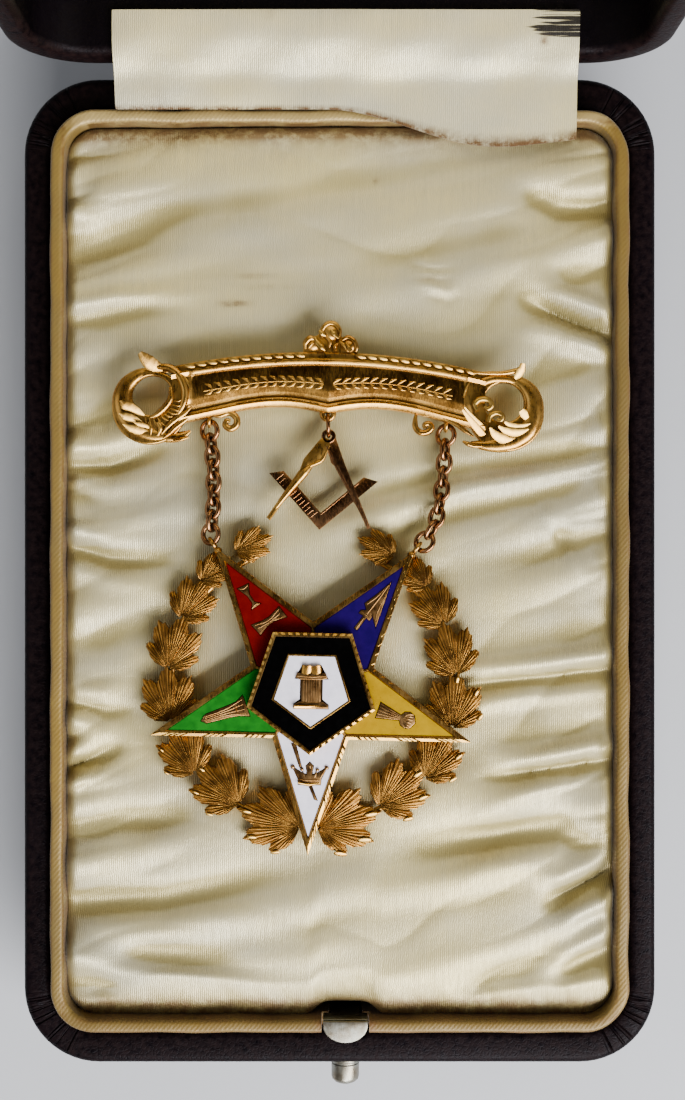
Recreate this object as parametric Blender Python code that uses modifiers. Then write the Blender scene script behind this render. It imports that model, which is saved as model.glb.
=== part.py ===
"""Five-pointed star jewel, with its bar brooch, chains, wreath and drop, lying in its open hinged box.

Metres, +Z up. The origin is the middle of the box's underside, and the jewel's top points to +Y.
"""

import math

import bmesh
import bpy
from mathutils import Vector
from mathutils.geometry import delaunay_2d_cdt

MM = 0.001

# Box
BOX_WIDTH = 67.0 * MM
BOX_LENGTH = 104.4 * MM
BASE_HEIGHT = 14.0 * MM
LID_HEIGHT = 11.0 * MM
CORNER_RADIUS = 8.0 * MM
SIDE_WALL = 2.9 * MM
END_WALL = 3.6 * MM
FLOOR_THICKNESS = 2.9 * MM
ROOF_THICKNESS = 2.2 * MM
RIM_ROUNDING = 0.9 * MM
FOOT_ROUNDING = 1.2 * MM
GAP = 0.3 * MM
CORNER_STEPS = 6
EDGE_STEPS = 2

# Lid hinge, a butt hinge let into both rims under the ribbon
HINGE_SETBACK = 0.7 * MM
LID_OPEN_DEG = 90.0
HINGE_LENGTH = 40.0 * MM
KNUCKLE_COUNT = 5
KNUCKLE_RADIUS = 1.0 * MM
KNUCKLE_BORE = 0.5 * MM
KNUCKLE_GAP = 0.3 * MM
HINGE_PIN_RADIUS = 0.4 * MM
LEAF_DEPTH = 2.6 * MM
LEAF_THICKNESS = 0.4 * MM
LEAF_SINK = 0.1 * MM

# Collar, satin over card
COLLAR_RISE = 2.0 * MM
COLLAR_WALL = 1.4 * MM
COLLAR_ROUNDING = 0.45 * MM

# Catch and button
CATCH_OFFSET = 0.6 * MM
CATCH_WIDTH = 4.7 * MM
CATCH_BLADE = 0.5 * MM
CATCH_DROP = 5.0 * MM
CATCH_HEAD_DROP = 0.6 * MM
CATCH_BLADE_WIDTH = 3.0 * MM
LIP_RISE = 2.3 * MM
LIP_THICKNESS = 0.5 * MM
LIP_REACH = 1.9 * MM
PRESS_TRAVEL = 1.2 * MM
BUTTON_RADIUS = 1.5 * MM
BUTTON_DROP = 3.5 * MM
BUTTON_REACH = 3.2 * MM
BUTTON_DOME = 0.5 * MM
BUTTON_SLEEVE = 2.16 * MM
STEM_RADIUS = 0.8 * MM
STRIKE_THICKNESS = 0.4 * MM
STRIKE_HEIGHT = 3.6 * MM

# Cushion
CUSHION_END_GAP = 1.5 * MM
CUSHION_CROWN = 1.0 * MM
CUSHION_EDGE_DROP = 3.4 * MM
CUSHION_ROLL = 5.0 * MM
CUSHION_COLUMNS = 18
CUSHION_ROWS = 30

# Lid lining and ribbon
LINING_DEPTH = 5.3 * MM
LINING_ROUNDING = 1.2 * MM
RIBBON_LEFT = -24.0 * MM
RIBBON_RIGHT = 25.4 * MM
RIBBON_THICKNESS = 1.0 * MM
RIBBON_DROOP = 1.3 * MM
RIBBON_DROOP_START = 0.55
RIBBON_STEPS = 12
RIBBON_COLLAR_LAP = 0.28 * MM
RIBBON_COLLAR_RUN = 1.2 * MM
RIBBON_DIP_BACK = 1.6 * MM
RIBBON_RISE_BACK = 0.2 * MM
RIBBON_TURN_SHORT = 0.9 * MM
RIBBON_TURN_LOW = 1.6 * MM
RIBBON_LIP_SHORT = 0.3 * MM
RIBBON_LIP_LOW = 0.2 * MM
RIBBON_INTO_LID = 1.0 * MM
RIBBON_END_SHORT = 0.9 * MM
RIBBON_END_LOW = 0.15 * MM

# Jewel
JEWEL_REST = 1.4 * MM
STAR_CENTRE = (-2.9 * MM, -11.95 * MM)
STAR_TURN_DEG = -1.33
STAR_RADIUS = 17.5 * MM
STAR_NOTCH_SHARE = 0.382
STAR_BACK = 0.5 * MM
STAR_THICKNESS = 1.4 * MM
STAR_RIM = 0.55 * MM
POINT_DIVIDER = 0.12 * MM
POCKET_DEPTH = 0.7 * MM
POCKET_START = 4.2 * MM
ENAMEL_GAP = 0.06 * MM
ENAMEL_SINK = 0.12 * MM
PENTAGON_RADIUS = 6.95 * MM
PENTAGON_THICKNESS = 1.15 * MM
PENTAGON_RIM = 0.42 * MM
PENTAGON_INNER_RADIUS = 4.05 * MM
PENTAGON_INNER_FRAME = 0.16 * MM
SEAT_GAP = 0.08 * MM
ALTAR_RAISE = 0.25 * MM
ALTAR_INSET = 0.02 * MM
EYE_RADIUS = 0.62 * MM
EYE_WIRE = 0.2 * MM
EYE_OUTSET = 0.55 * MM
TIP_KNOB = 0.38 * MM

# Wreath
WREATH_WIRE_RADIUS = 14.7 * MM
WREATH_WIRE = 0.35 * MM
WREATH_OPENING_DEG = 24.0
WREATH_WIRE_HEIGHT = 0.62 * MM
WREATH_STEPS = 16
LEAF_RIDGE = 1.0 * MM
LEAF_VALLEY = 0.62 * MM
LEAF_STEM_SHARE = 0.46
LEAF_FAN_WIDTH = 1.1
LEAF_FOOT = 0.1
LEAF_RIBS = 7
LEAF_SPREAD_DEG = 66.0

# Bar brooch
BAR_CENTRE = (-1.19 * MM, 17.79 * MM)
BAR_TURN_DEG = -1.13
BAR_BACK = 1.3 * MM
BAR_HALF_SPAN = 18.18 * MM
HOLE_PAST_BAND = 1.98 * MM
BAND_TOP = 4.9 * MM
BAND_TOP_RADIUS = 73.8 * MM
BAND_BOTTOM = -1.5 * MM
SCALLOP_HEIGHT = 0.6 * MM
SCALLOP_LENGTH = 9.6 * MM
SCALLOP_END_SLOPE = 0.24
BAND_STEPS = 22
PANEL_SHORT = 1.9 * MM
RING_RADIUS = 4.0 * MM
RING_HOLE_RADIUS = 2.05 * MM
RING_DROP = 1.2 * MM
RING_OUTSET = 0.3 * MM
RING_STEPS = 28
RING_RIBS = 7
RING_RIB_START_DEG = 200.0
RING_RIB_STEP_DEG = 20.0
RING_RIB_HEIGHT = 1.5 * MM
RING_RIB_DEPTH = 0.4 * MM
RING_RIB_INSET = 0.15 * MM
BAR_EDGE_HEIGHT = 1.0 * MM
BAR_TOP_HEIGHT = 1.75 * MM
LOBE_STEPS = 8
LOBE_RISE = 0.5 * MM
LOBE_CROWN = 0.62
CURL_OUT = 9.85 * MM
CURL_DOWN = -2.3 * MM
CURL_RADIUS = 1.05 * MM
CURL_RIDGE = 0.35 * MM
CURL_INNER = 0.55
HANG_HOLE_RADIUS = 0.45 * MM
HANG_EYE_RADIUS = 1.05 * MM
HANGER_OUT = 12.3 * MM
HANGER_DOWN = -2.35 * MM
HANGER_RADIUS = 0.62 * MM
PIN_RADIUS = 0.35 * MM
PIN_HALF_LENGTH = 14.0 * MM
PIN_ABOVE = 2.4 * MM
PIN_BLOCK = 1.4 * MM

# Chains and jump rings
RING_MEAN_RADIUS = 1.02 * MM
RING_WIRE = 0.2 * MM
LINK_HALF_LENGTH = 0.95 * MM
LINK_HALF_WIDTH = 0.72 * MM
LINK_WIRE = 0.22 * MM
LINK_COUNT = 7
LINK_ROLL_DEG = 20.0
LINK_STEPS = 12
CHAIN_HEIGHT = 2.4 * MM
END_SPACING = 1.034

# Drop
DROP_BACK = 0.7 * MM
SQUARE_THICKNESS = 0.6 * MM
COMPASS_THICKNESS = 0.75 * MM
DROP_OVERLAP = 0.1 * MM
DROP_HEAD_RADIUS = 0.75 * MM
DROP_HEAD_HOLE = 0.32 * MM
DROP_EYE_RISE = 0.45 * MM
DROP_LEAN = 0.08 * MM
DROP_RING_RADIUS = 1.16 * MM
DROP_RING_RISE = 0.2 * MM

# Folds of the cushion: ends of each crease as shares of the half width and half length, its width and depth
FOLDS = [
    {"x0": -1.0, "y0": 0.78, "x1": 1.0, "y1": 0.70, "width": 2.6, "depth": 0.35},
    {"x0": -1.0, "y0": 0.55, "x1": 0.1, "y1": 0.62, "width": 2.2, "depth": 0.40},
    {"x0": -1.0, "y0": 0.43, "x1": 1.0, "y1": 0.50, "width": 3.0, "depth": 0.35},
    {"x0": -1.0, "y0": 0.05, "x1": 1.0, "y1": 0.14, "width": 2.0, "depth": 0.35},
    {"x0": -1.0, "y0": -0.27, "x1": -0.3, "y1": -0.21, "width": 1.8, "depth": 0.40},
    {"x0": -1.0, "y0": -0.42, "x1": 1.0, "y1": -0.24, "width": 2.0, "depth": 0.40},
    {"x0": -1.0, "y0": -0.58, "x1": 1.0, "y1": -0.40, "width": 2.2, "depth": 0.45},
    {"x0": -0.9, "y0": -0.72, "x1": 1.0, "y1": -0.56, "width": 2.0, "depth": 0.45},
    {"x0": -0.8, "y0": -0.86, "x1": 0.8, "y1": -0.74, "width": 2.4, "depth": 0.40},
]

# Leaves of one side of the wreath, from the foot up: angle from the foot, radius, length, width, lift (mm)
LEAVES = [
    {"angle": 15.5, "radius": 14.5, "length": 6.7, "width": 5.6, "lift": 0.12},
    {"angle": 41.5, "radius": 14.2, "length": 6.1, "width": 5.1, "lift": 0.00},
    {"angle": 61.5, "radius": 15.0, "length": 5.6, "width": 4.6, "lift": 0.10},
    {"angle": 84.5, "radius": 15.0, "length": 5.8, "width": 5.0, "lift": 0.00},
    {"angle": 105.5, "radius": 14.9, "length": 5.7, "width": 4.7, "lift": 0.10},
    {"angle": 124.5, "radius": 15.2, "length": 5.0, "width": 4.1, "lift": 0.00},
    {"angle": 138.5, "radius": 15.8, "length": 3.9, "width": 3.0, "lift": 0.10},
    {"angle": 156.0, "radius": 16.0, "length": 4.2, "width": 3.0, "lift": 0.00},
]
LEAF_RIB_SHARES = (0.60, 0.80, 0.95, 1.0, 0.95, 0.80, 0.60)
LEAF_NOTCH_SHARE = 0.86

# Sections of the bar's rails and of its round ends: distance in from the edge and height over the back (mm)
TOP_RAIL = [(0.0, 1.05), (0.28, 1.55), (0.60, 1.25), (1.0, 1.35), (1.12, 0.75)]
RING_SECTION = [(0.0, 0.95), (0.35, 1.45), (0.75, 1.15)]
LOW_RAIL = [(0.0, 1.05), (0.40, 1.60), (0.86, 0.75)]

# Curled lobes of the bar's left end: middle across and up from its hole, radii along and across, turn, height
END_LOBES = [
    {"x": -2.75, "y": -1.75, "long": 1.05, "wide": 0.85, "turn": 120.0, "height": 1.75},
    {"x": -1.3, "y": -2.75, "long": 0.85, "wide": 0.70, "turn": 150.0, "height": 1.80},
    {"x": 0.2, "y": -2.75, "long": 0.75, "wide": 0.60, "turn": 10.0, "height": 1.70},
    {"x": -2.4, "y": -4.2, "long": 1.50, "wide": 0.60, "turn": 165.0, "height": 1.50},
    {"x": 1.0, "y": 3.75, "long": 0.95, "wide": 0.45, "turn": 140.0, "height": 1.40},
]
# The flame tip above that hole and the leaf tip below it, across and up from the hole (mm)
END_TIP = [(-1.3, 4.35), (-1.5, 3.0), (0.2, 2.0), (3.4, 1.0), (3.6, 2.9), (1.0, 3.1), (-0.5, 3.55)]
END_LEAF = [(-0.3, -5.15), (2.6, -4.75), (3.2, -4.1), (1.5, -3.4)]
# Finial, across and up from the top of the bar's arch (mm)
FINIAL_LOBES = [
    {"x": -1.9, "y": 0.75, "long": 0.95, "wide": 0.80, "turn": 20.0, "height": 1.45},
    {"x": 0.0, "y": 2.0, "long": 1.10, "wide": 1.05, "turn": 90.0, "height": 1.60},
    {"x": 1.9, "y": 0.75, "long": 0.95, "wide": 0.80, "turn": 160.0, "height": 1.45},
]
FINIAL_STALK = [(-2.5, -0.3), (2.5, -0.3), (1.6, 1.1), (0.5, 2.0), (-0.5, 2.0), (-1.6, 1.1)]

# Routes of the two chains from the bar's ring to the star's ring (mm), kept as chosen points
CHAIN_ROUTES = {
    "left": [(-13.53, 14.61), (-13.15, 11.0), (-13.10, 7.5), (-13.30, 5.2), (-13.42, 3.86)],
    "right": [(11.06, 14.13), (10.85, 10.6), (10.55, 7.6), (9.95, 4.9), (8.85, 3.04)],
}

# Raised figures of the star's points: along the point from the centre, and across it (mm)
FIGURES = {
    "red": [
        [(12.7, 0.55), (12.5, -0.70), (11.5, -0.12), (10.6, -0.12), (10.1, -0.55), (10.1, 0.55),
         (10.6, 0.12), (11.5, 0.12)],
        [(8.75, -1.95), (8.45, -0.6), (8.5, 0.3), (8.8, 1.5), (7.4, 1.3), (7.75, 0.3), (7.8, -0.6),
         (7.4, -2.0)],
    ],
    "blue": [
        [(13.6, 0.0), (11.6, 0.45), (10.2, 0.85), (9.75, 0.3), (9.4, 0.75), (9.05, 0.72), (9.1, 0.18),
         (7.5, 0.18), (7.5, -0.18), (9.1, -0.18), (9.05, -0.6), (9.4, -0.62), (9.85, -0.3), (8.9, -1.55),
         (10.3, -1.1), (12.0, -0.55)],
    ],
    "yellow": [
        [(7.3, -0.85), (9.7, -0.28), (10.0, -0.72), (10.5, -0.88), (11.05, -0.68), (11.38, 0.0),
         (11.05, 0.68), (10.5, 0.88), (10.0, 0.72), (9.7, 0.28), (7.3, 0.85)],
    ],
    "white": [
        [(10.15, -1.15), (10.15, 1.15), (9.55, 1.2), (8.3, 1.8), (8.95, 0.75), (9.1, 0.3), (8.75, 0.28),
         (8.2, 0.4), (7.8, 0.0), (8.2, -0.4), (8.75, -0.28), (9.1, -0.3), (8.95, -0.75), (8.3, -1.8),
         (9.55, -1.2)],
        [(11.75, 0.85), (11.65, 0.55), (10.4, 0.0), (10.35, 0.28)],
        [(5.9, -1.95), (6.0, -1.5), (8.4, -0.82), (8.35, -1.05)],
    ],
    "green": [
        [(12.0, 0.1), (11.3, -0.42), (9.0, -0.6), (8.0, -0.72), (7.1, -1.2), (7.0, 1.1), (8.0, 0.75),
         (9.0, 0.62), (11.5, 0.52)],
    ],
}

# The altar with its open book, across and up from the pentagon's middle (mm)
ALTAR = [
    (-1.78, -2.12), (1.78, -2.12), (1.78, -1.72), (1.12, -1.2), (1.12, 0.92), (1.68, 0.95), (0.95, 2.3),
    (0.0, 2.18), (-0.95, 2.3), (-1.68, 0.95), (-1.12, 0.92), (-1.12, -1.2), (-1.78, -1.72),
]

# Drop outlines, across and up from the compass head (mm)
SQUARE_CORNER = (-0.96, -9.24)
SQUARE_LEFT_DEG = 131.5
SQUARE_RIGHT_DEG = 39.5
SQUARE_ARM = 7.9
SQUARE_WIDTH = 1.3
SQUARE_SLANT = 0.8
LEFT_LEG = [
    (0.35, 0.0), (-0.75, -2.15), (-1.35, -2.2), (-2.05, -2.55), (-2.7, -3.6), (-6.3, -8.1), (-2.85, -2.6),
    (-2.6, -1.9), (-1.1, -0.1), (-0.55, 0.45),
]
RIGHT_LEG = [
    (-0.35, 0.0), (0.25, -2.3), (0.75, -2.75), (0.95, -2.6), (4.22, -9.12), (1.75, -2.55), (0.75, 0.3),
]

COLOURS = {
    "leather": ((0.030, 0.016, 0.018), 0.42, 0.0),
    "collar_satin": ((0.62, 0.53, 0.33), 0.55, 0.0),
    "cushion_satin": ((0.74, 0.70, 0.56), 0.45, 0.0),
    "steel": ((0.60, 0.59, 0.55), 0.25, 1.0),
    "brass": ((0.55, 0.40, 0.18), 0.35, 1.0),
    "gold": ((0.72, 0.43, 0.16), 0.25, 1.0),
    "rose_gold": ((0.42, 0.21, 0.10), 0.35, 1.0),
    "enamel_red": ((0.45, 0.010, 0.010), 0.15, 0.0),
    "enamel_blue": ((0.020, 0.010, 0.30), 0.15, 0.0),
    "enamel_yellow": ((0.62, 0.44, 0.03), 0.18, 0.0),
    "enamel_white": ((0.80, 0.81, 0.86), 0.15, 0.0),
    "enamel_green": ((0.03, 0.30, 0.04), 0.18, 0.0),
    "enamel_black": ((0.006, 0.006, 0.008), 0.12, 0.0),
}

# Worked out from the sizes above
RIM = BASE_HEIGHT
HALF_WIDTH = BOX_WIDTH / 2
HALF_LENGTH = BOX_LENGTH / 2
CAVITY_X = HALF_WIDTH - SIDE_WALL
CAVITY_Y = HALF_LENGTH - END_WALL
CAVITY_CORNER = CORNER_RADIUS - SIDE_WALL
COLLAR_X = CAVITY_X - GAP
COLLAR_Y = CAVITY_Y - GAP
COLLAR_CORNER = CAVITY_CORNER - GAP
COLLAR_INNER_X = COLLAR_X - COLLAR_WALL
COLLAR_INNER_Y = COLLAR_Y - COLLAR_WALL
COLLAR_INNER_CORNER = COLLAR_CORNER - COLLAR_WALL
COLLAR_TOP = RIM + COLLAR_RISE
FLOOR_TOP = FLOOR_THICKNESS
CUSHION_X = COLLAR_INNER_X - GAP
CUSHION_Y = COLLAR_INNER_Y - CUSHION_END_GAP
CUSHION_TOP = RIM + CUSHION_CROWN
CUSHION_CORNER = COLLAR_INNER_CORNER
PIVOT = Vector((0.0, HALF_LENGTH + HINGE_SETBACK, RIM))
LID_MOUTH = RIM + GAP
LID_TOP = LID_MOUTH + LID_HEIGHT
LINING_FACE = LID_MOUTH + LINING_DEPTH
CATCH_FRONT = -COLLAR_INNER_Y - CATCH_BLADE
BUTTON_HEIGHT = RIM - BUTTON_DROP
JEWEL_Z = RIM + JEWEL_REST
STAR_Z = JEWEL_Z + STAR_BACK
STAR_TOP = STAR_Z + STAR_THICKNESS
BAR_Z = JEWEL_Z + BAR_BACK
BAND_HALF_LENGTH = BAR_HALF_SPAN - HOLE_PAST_BAND
CHAIN_Z = RIM + CHAIN_HEIGHT
DROP_Z = JEWEL_Z + DROP_BACK

for old in list(bpy.data.objects):
    bpy.data.objects.remove(old)

PARTS = bpy.data.collections.new("masonic_jewel")
CUTTERS = bpy.data.collections.new("cutters")
bpy.context.scene.collection.children.link(PARTS)
bpy.context.scene.collection.children.link(CUTTERS)


def make_materials():
    """One Principled material for each finish."""
    made = {}
    for name, (colour, roughness, metallic) in COLOURS.items():
        material = bpy.data.materials.new(name)
        material.use_nodes = True
        shader = material.node_tree.nodes["Principled BSDF"]
        shader.inputs["Base Color"].default_value = (*colour, 1.0)
        shader.inputs["Roughness"].default_value = roughness
        shader.inputs["Metallic"].default_value = metallic
        made[name] = material
    return made


MATERIALS = make_materials()


def add_object(name, data, material, collection=PARTS):
    """Link new object data under its piece's name, with its material."""
    obj = bpy.data.objects.new(name, data)
    collection.objects.link(obj)
    data.materials.clear()
    data.materials.append(MATERIALS[material])
    if collection is CUTTERS:
        obj.hide_render = True
        obj.display_type = "WIRE"
    return obj


def add_bmesh(name, bm, material, collection=PARTS, smooth_deg=35.0):
    """Turn a finished bmesh into an object, shaded smooth below the given angle."""
    bmesh.ops.recalc_face_normals(bm, faces=bm.faces)
    mesh = bpy.data.meshes.new(name)
    bm.to_mesh(mesh)
    bm.free()
    mesh.shade_smooth()
    mesh.set_sharp_from_angle(angle=math.radians(smooth_deg))
    return add_object(name, mesh, material, collection)


def boolean(obj, other, operation="DIFFERENCE"):
    """Cut a solid by another one, or join it on."""
    modifier = obj.modifiers.new(operation.lower(), "BOOLEAN")
    modifier.operation = operation
    modifier.object = other
    modifier.solver = "EXACT"


def curve_to_mesh(curve_obj):
    """Replace a curve object by its welded mesh, so that it can be cut or joined."""
    name = curve_obj.name
    collection = curve_obj.users_collection[0]
    material = curve_obj.data.materials[0].name
    bpy.context.view_layer.update()
    depsgraph = bpy.context.evaluated_depsgraph_get()
    mesh = bpy.data.meshes.new_from_object(curve_obj.evaluated_get(depsgraph))
    matrix = curve_obj.matrix_world.copy()
    parent = curve_obj.parent
    curve = curve_obj.data
    bpy.data.objects.remove(curve_obj)
    bpy.data.curves.remove(curve)
    bm = bmesh.new()
    bm.from_mesh(mesh)
    bmesh.ops.remove_doubles(bm, verts=bm.verts, dist=1e-6)
    bm.to_mesh(mesh)
    bm.free()
    obj = add_object(name, mesh, material, collection)
    obj.parent = parent
    obj.matrix_world = matrix
    return obj


def flat_solid(name, loops, low, high, material, collection=PARTS, edge=0.0):
    """Extrude closed outlines between two heights; a loop inside another is a hole or an island."""
    curve = bpy.data.curves.new(name, "CURVE")
    curve.dimensions = "2D"
    curve.fill_mode = "BOTH"
    curve.extrude = (high - low) / 2 - edge
    curve.bevel_depth = edge
    curve.bevel_resolution = 0
    for loop in loops:
        spline = curve.splines.new("POLY")
        spline.points.add(len(loop) - 1)
        for point, (x, y) in zip(spline.points, loop):
            point.co = (x, y, 0.0, 1.0)
        spline.use_cyclic_u = True
    obj = add_object(name, curve, material, collection)
    obj.location.z = (low + high) / 2
    return curve_to_mesh(obj)


def wire(name, points, radius, material, collection=PARTS, cyclic=False, sides_step=1):
    """Bend a round wire through the given points."""
    curve = bpy.data.curves.new(name, "CURVE")
    curve.dimensions = "3D"
    curve.bevel_depth = radius
    curve.bevel_resolution = sides_step
    curve.use_fill_caps = not cyclic
    spline = curve.splines.new("POLY")
    spline.points.add(len(points) - 1)
    for point, place in zip(spline.points, points):
        point.co = (*place, 1.0)
    spline.use_cyclic_u = cyclic
    return curve_to_mesh(add_object(name, curve, material, collection))


def cylinder(name, radius, start, end, material, collection=PARTS, sides=16):
    """Turn a plain round bar between two points."""
    start = Vector(start)
    end = Vector(end)
    axis = end - start
    bm = bmesh.new()
    bmesh.ops.create_cone(bm, cap_ends=True, segments=sides, radius1=radius, radius2=radius,
                          depth=axis.length)
    obj = add_bmesh(name, bm, material, collection)
    obj.location = (start + end) / 2
    obj.rotation_mode = "QUATERNION"
    obj.rotation_quaternion = Vector((0, 0, 1)).rotation_difference(axis.normalized())
    return obj


def box(name, low, high, material, collection=PARTS, edge=0.0):
    """Cut a plain block between two corners, with its edges eased."""
    low = Vector(low)
    high = Vector(high)
    bm = bmesh.new()
    bmesh.ops.create_cube(bm, size=1.0)
    bmesh.ops.scale(bm, vec=high - low, verts=bm.verts)
    if edge:
        bmesh.ops.bevel(bm, geom=bm.edges[:], offset=edge, segments=1, affect="EDGES")
    obj = add_bmesh(name, bm, material, collection)
    obj.location = (low + high) / 2
    return obj


def rounded_block(name, half_x, half_y, low, high, corner, material, collection=PARTS, top=0.0, bottom=0.0):
    """Make an upright block with round corners, and its top and bottom edges rounded."""
    bm = bmesh.new()
    bmesh.ops.create_cube(bm, size=2.0)
    bmesh.ops.scale(bm, vec=(half_x, half_y, (high - low) / 2), verts=bm.verts)
    upright = [e for e in bm.edges if abs(e.verts[0].co.z - e.verts[1].co.z) > 0.5 * (high - low)]
    bmesh.ops.bevel(bm, geom=upright, offset=corner, segments=CORNER_STEPS, profile=0.5, affect="EDGES")
    for rounding, side in ((top, 1), (bottom, -1)):
        if rounding:
            level = side * (high - low) / 2
            rim = [e for e in bm.edges if all(abs(v.co.z - level) < 1e-7 for v in e.verts)
                   and len({round(f.normal.z) for f in e.link_faces}) == 2]
            bmesh.ops.bevel(bm, geom=rim, offset=rounding, segments=EDGE_STEPS, profile=0.5, affect="EDGES")
    obj = add_bmesh(name, bm, material, collection)
    obj.location.z = (low + high) / 2
    return obj


def shift_polygon(points, distance):
    """Move each edge of a closed outline inwards by the distance, or outwards where it is negative."""
    area = sum(a[0] * b[1] - b[0] * a[1] for a, b in zip(points, points[1:] + points[:1]))
    turn = 1.0 if area > 0 else -1.0
    distances = distance if isinstance(distance, (list, tuple)) else [distance] * len(points)
    lines = []
    for (ax, ay), (bx, by), step in zip(points, points[1:] + points[:1], distances):
        length = math.hypot(bx - ax, by - ay)
        nx = -(by - ay) / length * turn
        ny = (bx - ax) / length * turn
        lines.append((ax + nx * step, ay + ny * step, bx - ax, by - ay))
    moved = []
    for (px, py, pdx, pdy), (qx, qy, qdx, qdy) in zip(lines[-1:] + lines[:-1], lines):
        cross = pdx * qdy - pdy * qdx
        if abs(cross) < 1e-12:
            moved.append((qx, qy))
            continue
        along = ((qx - px) * qdy - (qy - py) * qdx) / cross
        moved.append((px + pdx * along, py + pdy * along))
    return moved


def circle(centre, radius, steps, start_deg=0.0):
    """Points round a circle, anticlockwise."""
    return [
        (centre[0] + radius * math.cos(math.radians(start_deg) + 2 * math.pi * i / steps),
         centre[1] + radius * math.sin(math.radians(start_deg) + 2 * math.pi * i / steps))
        for i in range(steps)
    ]


def in_polygon(x, y, polygon):
    """Say whether a point is inside a closed outline."""
    inside = False
    for (ax, ay), (bx, by) in zip(polygon, polygon[1:] + polygon[:1]):
        if (ay > y) != (by > y) and x < (bx - ax) * (y - ay) / (by - ay) + ax:
            inside = not inside
    return inside


def relief(name, faces, holes, lines, points, height, back, material, collection=PARTS):
    """Cast a flat-backed relief over the joined outlines, its front following height(x, y).

    The outlines, holes and lines become edges of the front, so that ridges and steps stay crisp.
    """
    scale = 1.0 / MM
    verts = []
    edges = []

    def add_chain(chain, closed):
        first = len(verts)
        verts.extend(Vector((x * scale, y * scale)) for x, y in chain)
        count = len(chain)
        edges.extend((first + i, first + i + 1) for i in range(count - 1))
        if closed:
            edges.append((first + count - 1, first))

    for loop in faces + holes:
        add_chain(loop, True)
    for line in lines:
        add_chain(line, False)
    verts.extend(Vector((x * scale, y * scale)) for x, y in points)
    flat, _, triangles, _, _, _ = delaunay_2d_cdt(verts, edges, [], 0, 0.01)
    flat = [(v.x * MM, v.y * MM) for v in flat]
    kept = []
    for triangle in triangles:
        cx = sum(flat[i][0] for i in triangle) / 3
        cy = sum(flat[i][1] for i in triangle) / 3
        if any(in_polygon(cx, cy, f) for f in faces) and not any(in_polygon(cx, cy, h) for h in holes):
            kept.append(triangle)
    bm = bmesh.new()
    top = {}
    under = {}
    for index in sorted({i for triangle in kept for i in triangle}):
        x, y = flat[index]
        top[index] = bm.verts.new((x, y, height(x, y)))
        under[index] = bm.verts.new((x, y, back))
    outside = {}
    for triangle in kept:
        bm.faces.new([top[i] for i in triangle])
        bm.faces.new([under[i] for i in reversed(triangle)])
        for a, b in zip(triangle, list(triangle[1:]) + [triangle[0]]):
            if (b, a) in outside:
                del outside[(b, a)]
            else:
                outside[(a, b)] = True
    for a, b in outside:
        bm.faces.new([top[b], top[a], under[a], under[b]])
    flat_faces = {f for f in bm.faces if all(abs(v.co.z - back) < 1e-9 for v in f.verts)}
    flat_verts = list({v for f in flat_faces for v in f.verts})
    flat_edges = list({e for f in flat_faces for e in f.edges if flat_faces.issuperset(e.link_faces)})
    bmesh.ops.dissolve_limit(bm, angle_limit=0.01, verts=flat_verts, edges=flat_edges)
    return add_bmesh(name, bm, material, collection)


def spaced(route, distances):
    """Points and directions on a polyline at the given distances from its start."""
    pieces = [math.dist(a, b) for a, b in zip(route, route[1:])]
    result = []
    for distance in distances:
        left = distance
        index = 0
        while index < len(pieces) - 1 and left > pieces[index]:
            left -= pieces[index]
            index += 1
        (ax, ay), (bx, by) = route[index], route[index + 1]
        share = left / pieces[index]
        result.append((ax + (bx - ax) * share, ay + (by - ay) * share,
                       math.atan2(by - ay, bx - ax)))
    return result


def empty_at(name, place):
    """An empty that carries a group of pieces."""
    empty = bpy.data.objects.new(name, None)
    PARTS.objects.link(empty)
    empty.location = place
    return empty


def hang_on_lid(obj, empty):
    """Carry a piece, made where it lies when closed, on the open lid."""
    obj.parent = empty
    obj.matrix_parent_inverse.identity()
    obj.location = obj.location - PIVOT


def hinge_groove(name):
    """The round groove that clears the hinge's knuckles in a rim."""
    reach = HINGE_LENGTH / 2 + GAP
    return cylinder(name, KNUCKLE_RADIUS + GAP, (-reach, PIVOT.y, PIVOT.z), (reach, PIVOT.y, PIVOT.z),
                    "brass", CUTTERS)


def leaf_pocket(name, low, high):
    """The shallow seat that a hinge leaf is let into."""
    return box(name, (-HINGE_LENGTH / 2 - GAP, HALF_LENGTH - LEAF_DEPTH - GAP, low),
               (HINGE_LENGTH / 2 + GAP, HALF_LENGTH + GAP, high), "brass", CUTTERS)


def make_base():
    """Leather-covered tray with a hole for the button and seats for the hinge."""
    base = rounded_block("box_base", HALF_WIDTH, HALF_LENGTH, 0.0, RIM, CORNER_RADIUS, "leather",
                         top=RIM_ROUNDING, bottom=FOOT_ROUNDING)
    boolean(base, rounded_block("base_cavity", CAVITY_X, CAVITY_Y, FLOOR_TOP, RIM + BASE_HEIGHT,
                                CAVITY_CORNER, "leather", CUTTERS))
    boolean(base, cylinder("button_hole", BUTTON_RADIUS + GAP,
                           (CATCH_OFFSET, -HALF_LENGTH - BUTTON_REACH, BUTTON_HEIGHT),
                           (CATCH_OFFSET, -COLLAR_INNER_Y, BUTTON_HEIGHT), "leather", CUTTERS))
    boolean(base, hinge_groove("base_groove"))
    seat = LEAF_THICKNESS + LEAF_SINK + GAP
    boolean(base, leaf_pocket("base_leaf_seat", RIM - seat, RIM + GAP))


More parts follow.
